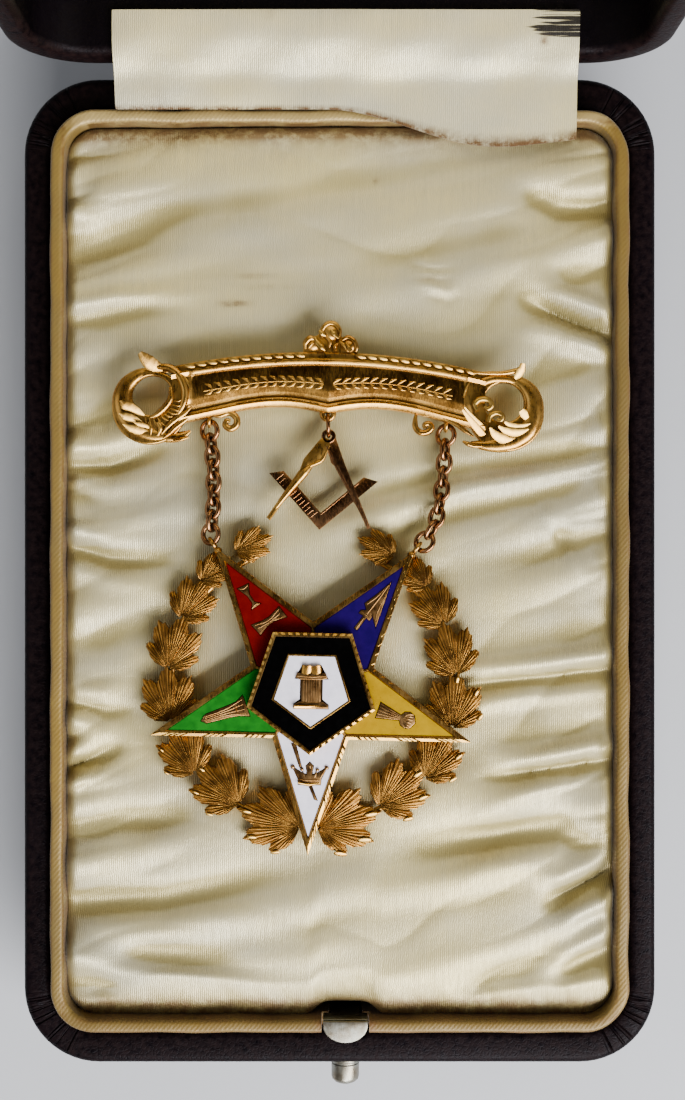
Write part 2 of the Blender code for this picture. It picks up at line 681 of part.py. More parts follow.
def make_collar():
    """Satin-wrapped collar that stands above the rim, notched for the catch."""
    collar = rounded_block("collar", COLLAR_X, COLLAR_Y, FLOOR_TOP + GAP, COLLAR_TOP, COLLAR_CORNER,
                           "collar_satin", top=COLLAR_ROUNDING)
    boolean(collar, rounded_block("collar_inside", COLLAR_INNER_X, COLLAR_INNER_Y, 0.0, 2 * COLLAR_TOP,
                                  COLLAR_INNER_CORNER, "collar_satin", CUTTERS))
    slots = {
        "catch_notch": (CATCH_WIDTH / 2 + GAP, RIM - CATCH_HEAD_DROP - GAP),
        "blade_notch": (CATCH_BLADE_WIDTH / 2 + GAP, RIM - CATCH_DROP - GAP),
    }
    for name, (half, low) in slots.items():
        boolean(collar, box(name, (CATCH_OFFSET - half, -COLLAR_Y - GAP, low),
                            (CATCH_OFFSET + half, -COLLAR_INNER_Y + GAP, COLLAR_TOP + GAP), "collar_satin",
                            CUTTERS))


def fold_depth(x, y):
    """How far the ruched satin dips at a point, from the table of folds."""
    depth = 0.0
    for fold in FOLDS:
        ax, ay = fold["x0"] * CUSHION_X, fold["y0"] * CUSHION_Y
        bx, by = fold["x1"] * CUSHION_X, fold["y1"] * CUSHION_Y
        along = ((x - ax) * (bx - ax) + (y - ay) * (by - ay)) / ((bx - ax) ** 2 + (by - ay) ** 2)
        held = min(max(along, 0.0), 1.0)
        away = math.hypot(x - ax - held * (bx - ax), y - ay - held * (by - ay))
        fade = 1.0 if 0.0 <= along <= 1.0 else math.exp(-((along - held) * 8.0) ** 2)
        depth += fold["depth"] * MM * fade * math.exp(-(away / (fold["width"] * MM)) ** 2)
    return depth


def make_cushion():
    """Padded satin block, crowned, rolled down at its edges and creased by its folds."""
    bm = bmesh.new()
    bmesh.ops.create_grid(bm, x_segments=CUSHION_COLUMNS, y_segments=CUSHION_ROWS, size=1.0)
    for vert in bm.verts:
        # the grid's corners are drawn in to the cushion's round corners
        x = vert.co.x * CUSHION_X
        y = vert.co.y * CUSHION_Y
        over_x = abs(x) - (CUSHION_X - CUSHION_CORNER)
        over_y = abs(y) - (CUSHION_Y - CUSHION_CORNER)
        if over_x > 0 and over_y > 0:
            reach = math.hypot(over_x, over_y)
            drawn = max(over_x, over_y) / reach
            x = math.copysign(abs(x) - over_x + over_x * drawn, x)
            y = math.copysign(abs(y) - over_y + over_y * drawn, y)
        inset = min(CUSHION_X - abs(x), CUSHION_Y - abs(y))
        roll = min(inset / CUSHION_ROLL, 1.0)
        drop = CUSHION_EDGE_DROP * (1.0 - math.sin(roll * math.pi / 2)) ** 1.5
        vert.co = (x, y, CUSHION_TOP - drop - fold_depth(x, y) * roll)
    rim = [e for e in bm.edges if e.is_boundary]
    side = bmesh.ops.extrude_edge_only(bm, edges=rim)["geom"]
    low = [v for v in side if isinstance(v, bmesh.types.BMVert)]
    for vert in low:
        vert.co.z = FLOOR_TOP + GAP
    bmesh.ops.contextual_create(bm, geom=[e for e in bm.edges if e.is_boundary])
    add_bmesh("cushion", bm, "cushion_satin", smooth_deg=60.0)


def make_catch():
    """Spring catch with a D-shaped lip, and the button whose stem pushes it."""
    blade_back = -COLLAR_INNER_Y
    half = CATCH_WIDTH / 2
    lip_low = RIM + LIP_RISE - LIP_THICKNESS
    head_low = RIM - CATCH_HEAD_DROP
    blade_half = CATCH_BLADE_WIDTH / 2
    plate = box("catch_plate", (CATCH_OFFSET - half, CATCH_FRONT, head_low),
                (CATCH_OFFSET + half, blade_back, lip_low + LIP_THICKNESS / 2), "steel")
    blade = box("catch_blade", (CATCH_OFFSET - blade_half, CATCH_FRONT, RIM - CATCH_DROP),
                (CATCH_OFFSET + blade_half, blade_back, head_low + CATCH_BLADE), "steel", CUTTERS)
    boolean(plate, blade, "UNION")
    bow = [(CATCH_OFFSET + half * math.cos(math.pi + math.pi * i / 10),
            CATCH_FRONT + LIP_REACH * math.sin(math.pi + math.pi * i / 10)) for i in range(11)]
    outline = [(CATCH_OFFSET + half, blade_back), (CATCH_OFFSET - half, blade_back)] + bow
    boolean(plate, flat_solid("catch_lip", [outline], lip_low, RIM + LIP_RISE, "steel", CUTTERS), "UNION")

    front = -HALF_LENGTH - BUTTON_REACH
    shoulder = -HALF_LENGTH + BUTTON_SLEEVE
    stem_end = CATCH_FRONT - GAP / 3
    profile = [
        (0.0, front), (BUTTON_RADIUS * 0.6, front + BUTTON_DOME * 0.2), (BUTTON_RADIUS, front + BUTTON_DOME),
        (BUTTON_RADIUS, shoulder), (STEM_RADIUS, shoulder), (STEM_RADIUS, stem_end), (0.0, stem_end),
    ]
    bm = bmesh.new()
    verts = [bm.verts.new((radius, 0.0, -place)) for radius, place in profile]
    for a, b in zip(verts, verts[1:]):
        bm.edges.new((a, b))
    bmesh.ops.spin(bm, geom=bm.verts[:] + bm.edges[:], cent=(0, 0, 0), axis=(0, 0, 1), angle=2 * math.pi,
                   steps=16, use_merge=True)
    bmesh.ops.remove_doubles(bm, verts=bm.verts, dist=1e-6)
    button = add_bmesh("push_button", bm, "steel")
    button.location = (CATCH_OFFSET, 0.0, BUTTON_HEIGHT)
    button.rotation_euler.x = math.radians(90.0)


def make_hinge(lid_empty):
    """Butt hinge: one leaf in each rim, five knuckles and a pin."""
    pitch = HINGE_LENGTH / KNUCKLE_COUNT
    leaves = {}
    seat_low = RIM - LEAF_SINK - LEAF_THICKNESS
    spans = {
        "hinge_base_leaf": (seat_low, seat_low + LEAF_THICKNESS, 0),
        "hinge_lid_leaf": (LID_MOUTH + LEAF_SINK, LID_MOUTH + LEAF_SINK + LEAF_THICKNESS, 1),
    }
    for name, (low, high, turn) in spans.items():
        leaf = box(name, (-HINGE_LENGTH / 2, HALF_LENGTH - LEAF_DEPTH, low),
                   (HINGE_LENGTH / 2, HALF_LENGTH - KNUCKLE_GAP - GAP, high), "brass")
        for index in range(turn, KNUCKLE_COUNT, 2):
            start = -HINGE_LENGTH / 2 + index * pitch + KNUCKLE_GAP / 2
            end = start + pitch - KNUCKLE_GAP
            barrel = cylinder(f"{name}_knuckle_{index}", KNUCKLE_RADIUS, (start, PIVOT.y, PIVOT.z),
                              (end, PIVOT.y, PIVOT.z), "brass", CUTTERS, sides=12)
            web = box(f"{name}_web_{index}", (start, HALF_LENGTH - LEAF_DEPTH / 2, low), (end, PIVOT.y, high),
                      "brass", CUTTERS)
            boolean(leaf, web, "UNION")
            boolean(leaf, barrel, "UNION")
        bore = cylinder(f"{name}_bore", KNUCKLE_BORE, (-HINGE_LENGTH, PIVOT.y, PIVOT.z),
                        (HINGE_LENGTH, PIVOT.y, PIVOT.z), "brass", CUTTERS, sides=12)
        boolean(leaf, bore)
        leaves[name] = leaf
    for obj in list(CUTTERS.objects) + [leaves["hinge_lid_leaf"]]:
        if obj.name.startswith("hinge_lid_leaf"):
            hang_on_lid(obj, lid_empty)
    cylinder("hinge_pin", HINGE_PIN_RADIUS, (-HINGE_LENGTH / 2, PIVOT.y, PIVOT.z),
             (HINGE_LENGTH / 2, PIVOT.y, PIVOT.z), "brass", sides=12)


def make_lid(empty):
    """Leather-covered lid with its satin lining, made closed and turned open."""
    shell = rounded_block("lid_shell", HALF_WIDTH, HALF_LENGTH, LID_MOUTH, LID_TOP, CORNER_RADIUS, "leather",
                          top=FOOT_ROUNDING, bottom=RIM_ROUNDING)
    roof = LID_TOP - ROOF_THICKNESS
    recess = CATCH_WIDTH / 2 + 2 * GAP
    recess_depth = END_WALL / 3
    strike_top = LID_MOUTH + STRIKE_HEIGHT
    cutters = [
        rounded_block("lid_cavity", CAVITY_X, CAVITY_Y, LID_MOUTH - LID_HEIGHT, roof, CAVITY_CORNER,
                      "leather", CUTTERS),
        box("catch_recess", (CATCH_OFFSET - recess, -CAVITY_Y - recess_depth, LID_MOUTH - LID_HEIGHT),
            (CATCH_OFFSET + recess, -CAVITY_Y + recess_depth, strike_top + GAP), "leather", CUTTERS),
        hinge_groove("lid_groove"),
        leaf_pocket("lid_leaf_seat", LID_MOUTH - GAP, LID_MOUTH + LEAF_THICKNESS + LEAF_SINK + GAP),
    ]
    for cutter in cutters:
        boolean(shell, cutter)
    lining = rounded_block("lid_lining", CAVITY_X - GAP, CAVITY_Y - GAP, LINING_FACE, roof - GAP,
                           CAVITY_CORNER - GAP, "cushion_satin", bottom=LINING_ROUNDING)
    strike_front = -CAVITY_Y - recess_depth + GAP / 3
    strike = box("lid_strike", (CATCH_OFFSET - CATCH_WIDTH / 2, strike_front, LID_MOUTH + GAP),
                 (CATCH_OFFSET + CATCH_WIDTH / 2, strike_front + STRIKE_THICKNESS, strike_top), "steel")
    for obj in [shell, lining, strike] + cutters:
        hang_on_lid(obj, empty)


def make_ribbon():
    """Satin strip from the collar over both rims to the lid's lining, drooping at its right end."""
    mouth = PIVOT.y + GAP
    shelf = PIVOT.z + HINGE_SETBACK + END_WALL + GAP + RIBBON_THICKNESS / 2
    over_collar = COLLAR_TOP + GAP + RIBBON_THICKNESS / 2
    lining = mouth + LINING_DEPTH
    bm = bmesh.new()
    rows = []
    for i in range(RIBBON_STEPS + 1):
        across = i / RIBBON_STEPS
        x = RIBBON_LEFT + (RIBBON_RIGHT - RIBBON_LEFT) * across
        droop = RIBBON_DROOP * max(0.0, across - RIBBON_DROOP_START) / (1.0 - RIBBON_DROOP_START)
        section = [
            (COLLAR_Y - droop - RIBBON_COLLAR_LAP, over_collar),
            (COLLAR_Y + RIBBON_COLLAR_RUN, over_collar),
            (HALF_LENGTH - RIBBON_DIP_BACK, RIM + GAP + RIBBON_THICKNESS),
            (HALF_LENGTH - RIBBON_RISE_BACK, RIM + GAP + KNUCKLE_RADIUS + RIBBON_THICKNESS),
            (mouth - RIBBON_TURN_SHORT, shelf - RIBBON_TURN_LOW),
            (mouth - RIBBON_LIP_SHORT, shelf - RIBBON_LIP_LOW),
            (mouth + RIBBON_INTO_LID, shelf),
            (lining - RIBBON_END_SHORT, shelf - RIBBON_END_LOW),
        ]
        rows.append([bm.verts.new((x, y, z)) for y, z in section])
    for first, second in zip(rows, rows[1:]):
        for a, b, c, d in zip(first, second, second[1:], first[1:]):
            bm.faces.new((a, b, c, d))
    ribbon = add_bmesh("hinge_ribbon", bm, "cushion_satin", smooth_deg=60.0)
    solid = ribbon.modifiers.new("thickness", "SOLIDIFY")
    solid.thickness = RIBBON_THICKNESS
    solid.offset = 0.0


def band_top(x):
    """Height of the bar's top edge at a place along it."""
    return BAND_TOP - BAND_TOP_RADIUS + math.sqrt(BAND_TOP_RADIUS ** 2 - x * x)


def band_low(x):
    """Height of the bar's scalloped lower edge at a place along it."""
    share = min(abs(x) / SCALLOP_LENGTH, 1.0)
    beyond = max(abs(x) - SCALLOP_LENGTH, 0.0)
    return BAND_BOTTOM + SCALLOP_HEIGHT * math.sin(share * math.pi) - SCALLOP_END_SLOPE * beyond


def rail_height(table, distance):
    """Read the rail's section at a distance in from its edge."""
    for (a, low), (b, high) in zip(table, table[1:]):
        if distance <= b * MM:
            share = max(distance - a * MM, 0.0) / ((b - a) * MM)
            return (low + (high - low) * share) * MM
    return table[-1][1] * MM


def mirrored(points):
    """The same outline on the other end of the bar."""
    return [(-x, y) for x, y in reversed(points)]


def lobe_outline(lobe, share=1.0):
    """An oval at one lobe of the cast ornament."""
    turn = math.radians(lobe["turn"])
    points = []
    for x, y in circle((0, 0), 1.0, LOBE_STEPS):
        u = x * lobe["long"] * share * MM
        v = y * lobe["wide"] * share * MM
        points.append((lobe["x"] * MM + u * math.cos(turn) - v * math.sin(turn),
                       lobe["y"] * MM + u * math.sin(turn) + v * math.cos(turn)))
    return points


def lobe_height(lobe, x, y):
    """Height of one lobe's crown at a point, or nothing outside it."""
    turn = math.radians(lobe["turn"])
    dx = x - lobe["x"] * MM
    dy = y - lobe["y"] * MM
    u = (dx * math.cos(turn) + dy * math.sin(turn)) / (lobe["long"] * MM)
    v = (-dx * math.sin(turn) + dy * math.cos(turn)) / (lobe["wide"] * MM)
    away = math.hypot(u, v)
    if away > 1.02:
        return 0.0
    return lobe["height"] * MM - LOBE_RISE * away ** 2


def rib_line(side, index):
    """A ridge or valley of one cast end, from beside the hole out to the ring's crown."""
    angle = math.radians(RING_RIB_START_DEG + RING_RIB_STEP_DEG * index / 2)
    ux, uy = -side * math.cos(angle), math.sin(angle)
    start = RING_HOLE_RADIUS + RING_RIB_INSET
    reach = RING_RADIUS - RING_SECTION[-1][0] * MM
    ox, oy = side * RING_OUTSET, -RING_DROP
    along = ux * ox + uy * oy
    end = along + math.sqrt(along ** 2 + reach ** 2 - ox ** 2 - oy ** 2)
    centre = side * BAR_HALF_SPAN
    return [(centre + ux * start, uy * start), (centre + ux * max(end, start), uy * max(end, start))]


def ring_height(side, x, y):
    """Height of one cast end: a round crown at its outside and pleats round the hole."""
    from_edge = RING_RADIUS - math.hypot(x - side * (BAR_HALF_SPAN + RING_OUTSET), y + RING_DROP)
    if from_edge < -0.05 * MM:
        return 0.0
    if from_edge <= RING_SECTION[-1][0] * MM + 1e-7:
        return rail_height(RING_SECTION, max(from_edge, 0.0))
    angle = math.degrees(math.atan2(y, -side * (x - side * BAR_HALF_SPAN))) % 360.0
    phase = (angle - RING_RIB_START_DEG) / RING_RIB_STEP_DEG
    off_rib = abs(phase - round(phase)) * 2 if 0 <= phase <= RING_RIBS else 0.0
    return RING_RIB_HEIGHT - RING_RIB_DEPTH * (1.0 - off_rib)


def make_bar(frame):
    """Cast bar: arched band with its recessed panel and rails, pierced scroll ends, finial and eyes."""
    places = [BAND_HALF_LENGTH * (2 * i / BAND_STEPS - 1) for i in range(BAND_STEPS + 1)]
    band = [(x, band_low(x)) for x in places] + [(x, band_top(x)) for x in reversed(places)]
    ends = []
    for side in (-1, 1):
        for lobe in END_LOBES:
            turn = lobe["turn"] if side < 0 else 180.0 - lobe["turn"]
            ends.append({**lobe, "x": side * (BAR_HALF_SPAN / MM + lobe["x"]), "turn": turn})
    finial = [{**lobe, "y": BAND_TOP / MM + lobe["y"]} for lobe in FINIAL_LOBES]
    lobes = ends + finial
    hang_eye = (0.0, BAND_BOTTOM)
    ring_centres = [(side * (BAR_HALF_SPAN + RING_OUTSET), -RING_DROP) for side in (-1, 1)]
    discs = [circle(centre, RING_RADIUS, RING_STEPS) for centre in ring_centres]
    tip, leaf_tip = [[(x * MM - BAR_HALF_SPAN, y * MM) for x, y in table] for table in (END_TIP, END_LEAF)]
    curls = [circle((side * CURL_OUT, CURL_DOWN), CURL_RADIUS, 14) for side in (-1, 1)]
    stalk = [(x * MM, BAND_TOP + y * MM) for x, y in FINIAL_STALK]
    faces = [band, tip, mirrored(tip), leaf_tip, mirrored(leaf_tip), circle(hang_eye, HANG_EYE_RADIUS, 12)]
    faces += [stalk] + discs + curls + [lobe_outline(lobe) for lobe in lobes]
    holes = [circle((side * BAR_HALF_SPAN, 0.0), RING_HOLE_RADIUS, 20) for side in (-1, 1)]
    holes.append(circle(hang_eye, HANG_HOLE_RADIUS, 8))

    lines = []
    panel_end = BAND_HALF_LENGTH - PANEL_SHORT
    for distance, _ in TOP_RAIL[1:]:
        lines.append([(x, band_top(x) - distance * MM) for x in places if abs(x) <= panel_end])
    for distance, _ in LOW_RAIL[1:]:
        lines.append([(x, band_low(x) + distance * MM) for x in places if abs(x) <= panel_end])
    for lobe in lobes:
        crown = lobe_outline(lobe, LOBE_CROWN)
        lines.append(crown + crown[:1])
    for side, centre in zip((-1, 1), ring_centres):
        for inset, _ in RING_SECTION[1:]:
            ring_line = circle(centre, RING_RADIUS - inset * MM, RING_STEPS - 4)
            lines.append(ring_line + ring_line[:1])
        for index in range(2 * RING_RIBS + 1):
            lines.append(rib_line(side, index))
        curl_line = circle((side * CURL_OUT, CURL_DOWN), CURL_INNER * CURL_RADIUS, 8)
        lines.append(curl_line + curl_line[:1])
    points = [(lobe["x"] * MM, lobe["y"] * MM) for lobe in lobes]

    def height(x, y):
        in_band = abs(x) <= BAND_HALF_LENGTH + 1e-7 and band_low(x) - 1e-7 <= y <= band_top(x) + 1e-7
        best = BAR_EDGE_HEIGHT
        if in_band and abs(x) <= panel_end + 1e-7:
            from_top = band_top(x) - y
            from_low = y - band_low(x)
            best = max(rail_height(TOP_RAIL, from_top) if from_top < from_low else 0.0,
                       rail_height(LOW_RAIL, from_low) if from_low <= from_top else 0.0)
        for side in (-1, 1):
            best = max(best, ring_height(side, x, y))
            curl = math.hypot(x - side * CURL_OUT, y - CURL_DOWN) / CURL_RADIUS
            if CURL_INNER - 0.15 < curl < CURL_INNER + 0.25:
                best = max(best, BAR_EDGE_HEIGHT + CURL_RIDGE)
        for lobe in lobes:
            best = max(best, lobe_height(lobe, x, y))
        return min(best, BAR_TOP_HEIGHT)

    bar = relief("brooch_bar", faces, holes, lines, points, height, 0.0, "gold")
    bar.parent = frame
    for side in (-1, 1):
        # a soldered eye behind the lower edge carries each chain's ring
        hoop = [(side * HANGER_OUT, HANGER_DOWN + y, z)
                for y, z in circle((0.0, CHAIN_Z - BAR_Z), HANGER_RADIUS, 12)]
        eye = wire(f"hanger_{side}", hoop, EYE_WIRE, "gold", CUTTERS, cyclic=True)
        eye.parent = frame
        boolean(bar, eye, "UNION")


def make_brooch_pin(frame):
    """Plain pin behind the bar, with its hinge block and its hook block."""
    low = GAP / 2 - BAR_BACK
    axis = low + 2 * PIN_RADIUS
    stem = cylinder("brooch_pin", PIN_RADIUS, (-PIN_HALF_LENGTH, PIN_ABOVE, axis),
                    (PIN_HALF_LENGTH, PIN_ABOVE, axis), "gold", sides=8)
    stem.parent = frame
    half = PIN_BLOCK / 2
    for side in (-1, 1):
        place = side * PIN_HALF_LENGTH
        block = box(f"pin_block_{side}", (place - half, PIN_ABOVE - half, low),
                    (place + half, PIN_ABOVE + half, -SEAT_GAP), "gold", CUTTERS)
        block.parent = frame
        boolean(stem, block, "UNION")


def oval(half_length, half_width, steps):
    """A link's centre line: two straight sides joined by round ends, as a smooth oval."""
    points = []
    for i in range(steps):
        angle = 2 * math.pi * i / steps
        cos, sin = math.cos(angle), math.sin(angle)
        points.append((math.copysign(abs(cos) ** 0.9, cos) * half_length,
                       math.copysign(abs(sin) ** 0.9, sin) * half_width, 0.0))
    return points


def make_chains():
    """Two chains of seven oval links, with a round ring at the bar and one at the star."""
    for side, route in CHAIN_ROUTES.items():
        route = [(x * MM, y * MM) for x, y in route]
        total = sum(math.dist(a, b) for a, b in zip(route, route[1:]))
        pitch = total / (LINK_COUNT - 1 + 2 * END_SPACING)
        distances = [0.0] + [pitch * (END_SPACING + i) for i in range(LINK_COUNT)] + [total]
        for index, (x, y, heading) in enumerate(spaced(route, distances)):
            is_ring = index in (0, LINK_COUNT + 1)
            half_length = RING_MEAN_RADIUS if is_ring else LINK_HALF_LENGTH
            half_width = RING_MEAN_RADIUS if is_ring else LINK_HALF_WIDTH
            thickness = RING_WIRE if is_ring else LINK_WIRE
            name = f"chain_{side}_link_{index}"
            if is_ring:
                name = f"chain_{side}_{'top' if index == 0 else 'bottom'}_ring"
            link = wire(name, oval(half_length, half_width, LINK_STEPS), thickness, "rose_gold", cyclic=True)
            on_edge = index % 2 == 1
            roll = 90.0 if on_edge else 0.0
            if not is_ring:
                roll += LINK_ROLL_DEG
            link.rotation_mode = "XYZ"
            link.rotation_euler = (math.radians(roll), 0.0, heading)
            link.location = (x, y, CHAIN_Z)


def make_drop():
    """Compasses over a square, soldered, on an edge-on ring under the bar's middle."""
    bar_turn = math.radians(BAR_TURN_DEG)
    hole = Vector((BAR_CENTRE[0] - BAND_BOTTOM * math.sin(bar_turn),
                   BAR_CENTRE[1] + BAND_BOTTOM * math.cos(bar_turn)))
    eye = hole + Vector((DROP_LEAN, -2 * DROP_RING_RADIUS))
    head = eye - Vector((0.0, DROP_EYE_RISE))
    hoop = [(0.0, y, z) for y, z in circle((0.0, 0.0), DROP_RING_RADIUS, 12)]
    ring = wire("drop_ring", hoop, RING_WIRE, "rose_gold", cyclic=True)
    middle = (hole + eye) / 2
    ring.location = (middle.x, middle.y, BAR_Z + DROP_RING_RISE)
    ring.rotation_euler.z = math.atan2(eye.y - hole.y, eye.x - hole.x) + math.pi / 2

    arms = []
    for angle in (SQUARE_LEFT_DEG, SQUARE_RIGHT_DEG):
        arms.append(Vector((math.cos(math.radians(angle)), math.sin(math.radians(angle)))))
    corner = Vector(SQUARE_CORNER)
    left, right = arms
    inner = corner + (left + right) * SQUARE_WIDTH
    outline = [
        corner, corner + right * SQUARE_ARM,
        corner + right * (SQUARE_ARM - SQUARE_SLANT) + left * SQUARE_WIDTH, inner,
        corner + left * (SQUARE_ARM - SQUARE_SLANT) + right * SQUARE_WIDTH, corner + left * SQUARE_ARM,
    ]
    square = flat_solid("square_and_compasses", [[(p.x * MM, p.y * MM) for p in outline]], 0.0,
                        SQUARE_THICKNESS, "rose_gold")
    level = SQUARE_THICKNESS - DROP_OVERLAP
    scaled = [[(x * MM, y * MM) for x, y in leg] for leg in (LEFT_LEG, RIGHT_LEG)]
    shapes = [circle((0.0, DROP_EYE_RISE), DROP_HEAD_RADIUS, 14)] + scaled
    compasses = relief("compasses", shapes, [circle((0.0, DROP_EYE_RISE), DROP_HEAD_HOLE, 8)], [], [],
                       lambda x, y: level + COMPASS_THICKNESS, level, "rose_gold", CUTTERS)
    for piece in (square, compasses):
        piece.location.x = head.x
        piece.location.y = head.y
        piece.location.z += DROP_Z
    boolean(square, compasses, "UNION")


def star_direction(index):
    """Direction of a star point, in the star's own frame, from the foot anticlockwise."""
    angle = math.radians(-90.0 + 72.0 * index)
    return Vector((math.cos(angle), math.sin(angle)))


POINT_ORDER = {"white": 0, "yellow": 1, "blue": 2, "red": 3, "green": 4}


def star_outline():
    """The ten corners of the star."""
    points = []
    for i in range(10):
        radius = STAR_RADIUS * (1.0 if i % 2 == 0 else STAR_NOTCH_SHARE)
        angle = math.radians(-90.0 + 36.0 * i)
        points.append((radius * math.cos(angle), radius * math.sin(angle)))
    return points


def pocket_outline(index, clearance):
    """The enamelled field of one point, as deep as under the pentagon."""
    corners = star_outline()
    tip = corners[2 * index]
    notch_a = corners[(2 * index + 1) % 10]
    notch_b = corners[2 * index - 1]
    start_a = (notch_a[0] * POCKET_START / (STAR_RADIUS * STAR_NOTCH_SHARE),
               notch_a[1] * POCKET_START / (STAR_RADIUS * STAR_NOTCH_SHARE))
    start_b = (notch_b[0] * POCKET_START / (STAR_RADIUS * STAR_NOTCH_SHARE),
               notch_b[1] * POCKET_START / (STAR_RADIUS * STAR_NOTCH_SHARE))
    outline = [tip, notch_a, start_a, start_b, notch_b]
    rim = STAR_RIM + clearance
    divider = POINT_DIVIDER + clearance
    return shift_polygon(outline, [rim, divider, divider, divider, rim])


def figure_outlines(colour, grown):
    """The raised figures of one point, placed along it; grown makes room round them."""
    along = star_direction(POINT_ORDER[colour])
    across = Vector((-along.y, along.x))
    result = []
    for outline in FIGURES[colour]:
        placed = [tuple((along * u + across * v) * MM) for u, v in outline]
        result.append(shift_polygon(placed, -grown) if grown else placed)
    return result


def leaf_place(row, side):
    """Where a leaf's stem stands, which way its middle rib runs, its length and how much it is narrowed."""
    length = row["length"] * MM
    radius = row["radius"] * MM
    angle = math.radians(-90.0 + side * row["angle"])
    heading = angle + side * math.pi / 2
    stem = Vector((radius * math.cos(angle) - LEAF_STEM_SHARE * length * math.cos(heading),
                   radius * math.sin(angle) - LEAF_STEM_SHARE * length * math.sin(heading)))
    return stem, heading, length, row["width"] / row["length"] / LEAF_FAN_WIDTH


def leaf_lines(row, side):
    """Outline of one pleated fan leaf in the star's frame, and the lines of its ridges and valleys."""
    stem, heading, length, widen = leaf_place(row, side)
    step = 2 * LEAF_SPREAD_DEG / (LEAF_RIBS - 1)

    def place(share, angle):
        u = share * length * math.cos(angle)
        v = share * length * math.sin(angle) * widen
        return (stem.x + u * math.cos(heading) - v * math.sin(heading),
                stem.y + u * math.sin(heading) + v * math.cos(heading))

    outline = [place(LEAF_FOOT, -math.radians(150.0))]
    lines = []
    for rib in range(LEAF_RIBS):
        angle = math.radians(-LEAF_SPREAD_DEG + rib * step)
        tip = LEAF_RIB_SHARES[rib]
        outline.append(place(tip, angle))
        lines.append([place(0.15, angle), place(0.6 * tip, angle), outline[-1]])
        if rib < LEAF_RIBS - 1:
            between = angle + math.radians(step / 2)
            notch = min(tip, LEAF_RIB_SHARES[rib + 1]) * LEAF_NOTCH_SHARE
            outline.append(place(notch, between))
            lines.append([place(0.25, between), outline[-1]])
    outline.append(place(LEAF_FOOT, math.radians(150.0)))
    return outline, lines


def leaf_height(row, side, x, y):
    """Height of one leaf over the wreath's back at a point, or nothing outside the leaf."""
    stem, heading, length, widen = leaf_place(row, side)
    u = ((x - stem.x) * math.cos(heading) + (y - stem.y) * math.sin(heading)) / length
    v = (-(x - stem.x) * math.sin(heading) + (y - stem.y) * math.cos(heading)) / length / widen
    away = math.hypot(u, v)
    step = 2 * LEAF_SPREAD_DEG / (LEAF_RIBS - 1)
    phase = (math.degrees(math.atan2(v, u)) + LEAF_SPREAD_DEG) / step
    if away > LEAF_FOOT * 1.1 and not -0.1 <= phase <= LEAF_RIBS - 0.9:
        return 0.0
    rib = min(max(int(phase), 0), LEAF_RIBS - 2)
    part = min(max(phase - rib, 0.0), 1.0)
    notch = min(LEAF_RIB_SHARES[rib], LEAF_RIB_SHARES[rib + 1]) * LEAF_NOTCH_SHARE
    tip = LEAF_RIB_SHARES[rib if part < 0.5 else rib + 1]
    off_rib = 1.0 - abs(part - 0.5) * 2
    if away > (tip + (notch - tip) * off_rib) * 1.04 and away > LEAF_FOOT * 1.1:
        return 0.0
    swell = LEAF_RIDGE * (1.0 - 0.3 * away)
    return row["lift"] * MM + swell - (swell - LEAF_VALLEY) * off_rib * min(away * 3.0, 1.0)


def make_wreath():
    """The sixteen leaves on their backing wire, as one flat-backed casting."""
    sweep = 180.0 - WREATH_OPENING_DEG
    turns = [math.radians(-90.0 + sweep * (i / WREATH_STEPS - 1)) for i in range(2 * WREATH_STEPS + 1)]
    inner = WREATH_WIRE_RADIUS - WREATH_WIRE
    outer = WREATH_WIRE_RADIUS + WREATH_WIRE
    backing = [(inner * math.cos(a), inner * math.sin(a)) for a in turns]
    backing += [(outer * math.cos(a), outer * math.sin(a)) for a in reversed(turns)]
    faces = [backing]
    lines = []
    for side in (-1, 1):
        for row in LEAVES:
            outline, ribs = leaf_lines(row, side)
            faces.append(outline)
            lines += ribs

    def height(x, y):
        heights = [leaf_height(row, side, x, y) for side in (-1, 1) for row in LEAVES]
        return max(heights + [WREATH_WIRE_HEIGHT])

    return relief("wreath", faces, [], lines, [], height, 0.0, "gold", CUTTERS)


def make_star(frame):
    """Star with its wreath: one soldered gold solid, and the five enamels let into it."""
    star = flat_solid("star_wreath", [star_outline()], STAR_Z, STAR_TOP, "gold")
    star.parent = frame
    floor = STAR_TOP - POCKET_DEPTH
    for colour, index in POINT_ORDER.items():
        loops = [pocket_outline(index, 0.0)] + figure_outlines(colour, 0.0)
        pocket = flat_solid(f"pocket_{colour}", loops, floor, STAR_TOP + POCKET_DEPTH, "gold", CUTTERS)
        pocket.parent = frame
        boolean(star, pocket)
        loops = [pocket_outline(index, ENAMEL_GAP)] + figure_outlines(colour, ENAMEL_GAP)
        enamel = flat_solid(f"enamel_{colour}", loops, floor + ENAMEL_GAP, STAR_TOP - ENAMEL_SINK,
                            f"enamel_{colour}")
        enamel.parent = frame

    wreath = make_wreath()
    wreath.parent = frame
    wreath.location.z = JEWEL_Z
    boolean(star, wreath, "UNION")

    for index in (POINT_ORDER["red"], POINT_ORDER["blue"]):
        out = star_direction(index)
        centre = out * (STAR_RADIUS + EYE_OUTSET)
        hoop = [(centre.x + out.x * r, centre.y + out.y * r, CHAIN_Z + z)
                for r, z in circle((0.0, 0.0), EYE_RADIUS, 12)]
        eye = wire(f"star_eye_{index}", hoop, EYE_WIRE, "gold", CUTTERS, cyclic=True)
        foot = out * (STAR_RADIUS - TIP_KNOB)
        knob = cylinder(f"star_knob_{index}", TIP_KNOB, (*foot, STAR_Z + GAP / 3),
                        (*foot, STAR_TOP - GAP / 3), "gold", CUTTERS, sides=10)
        for piece in (knob, eye):
            piece.parent = frame
            boolean(star, piece, "UNION")


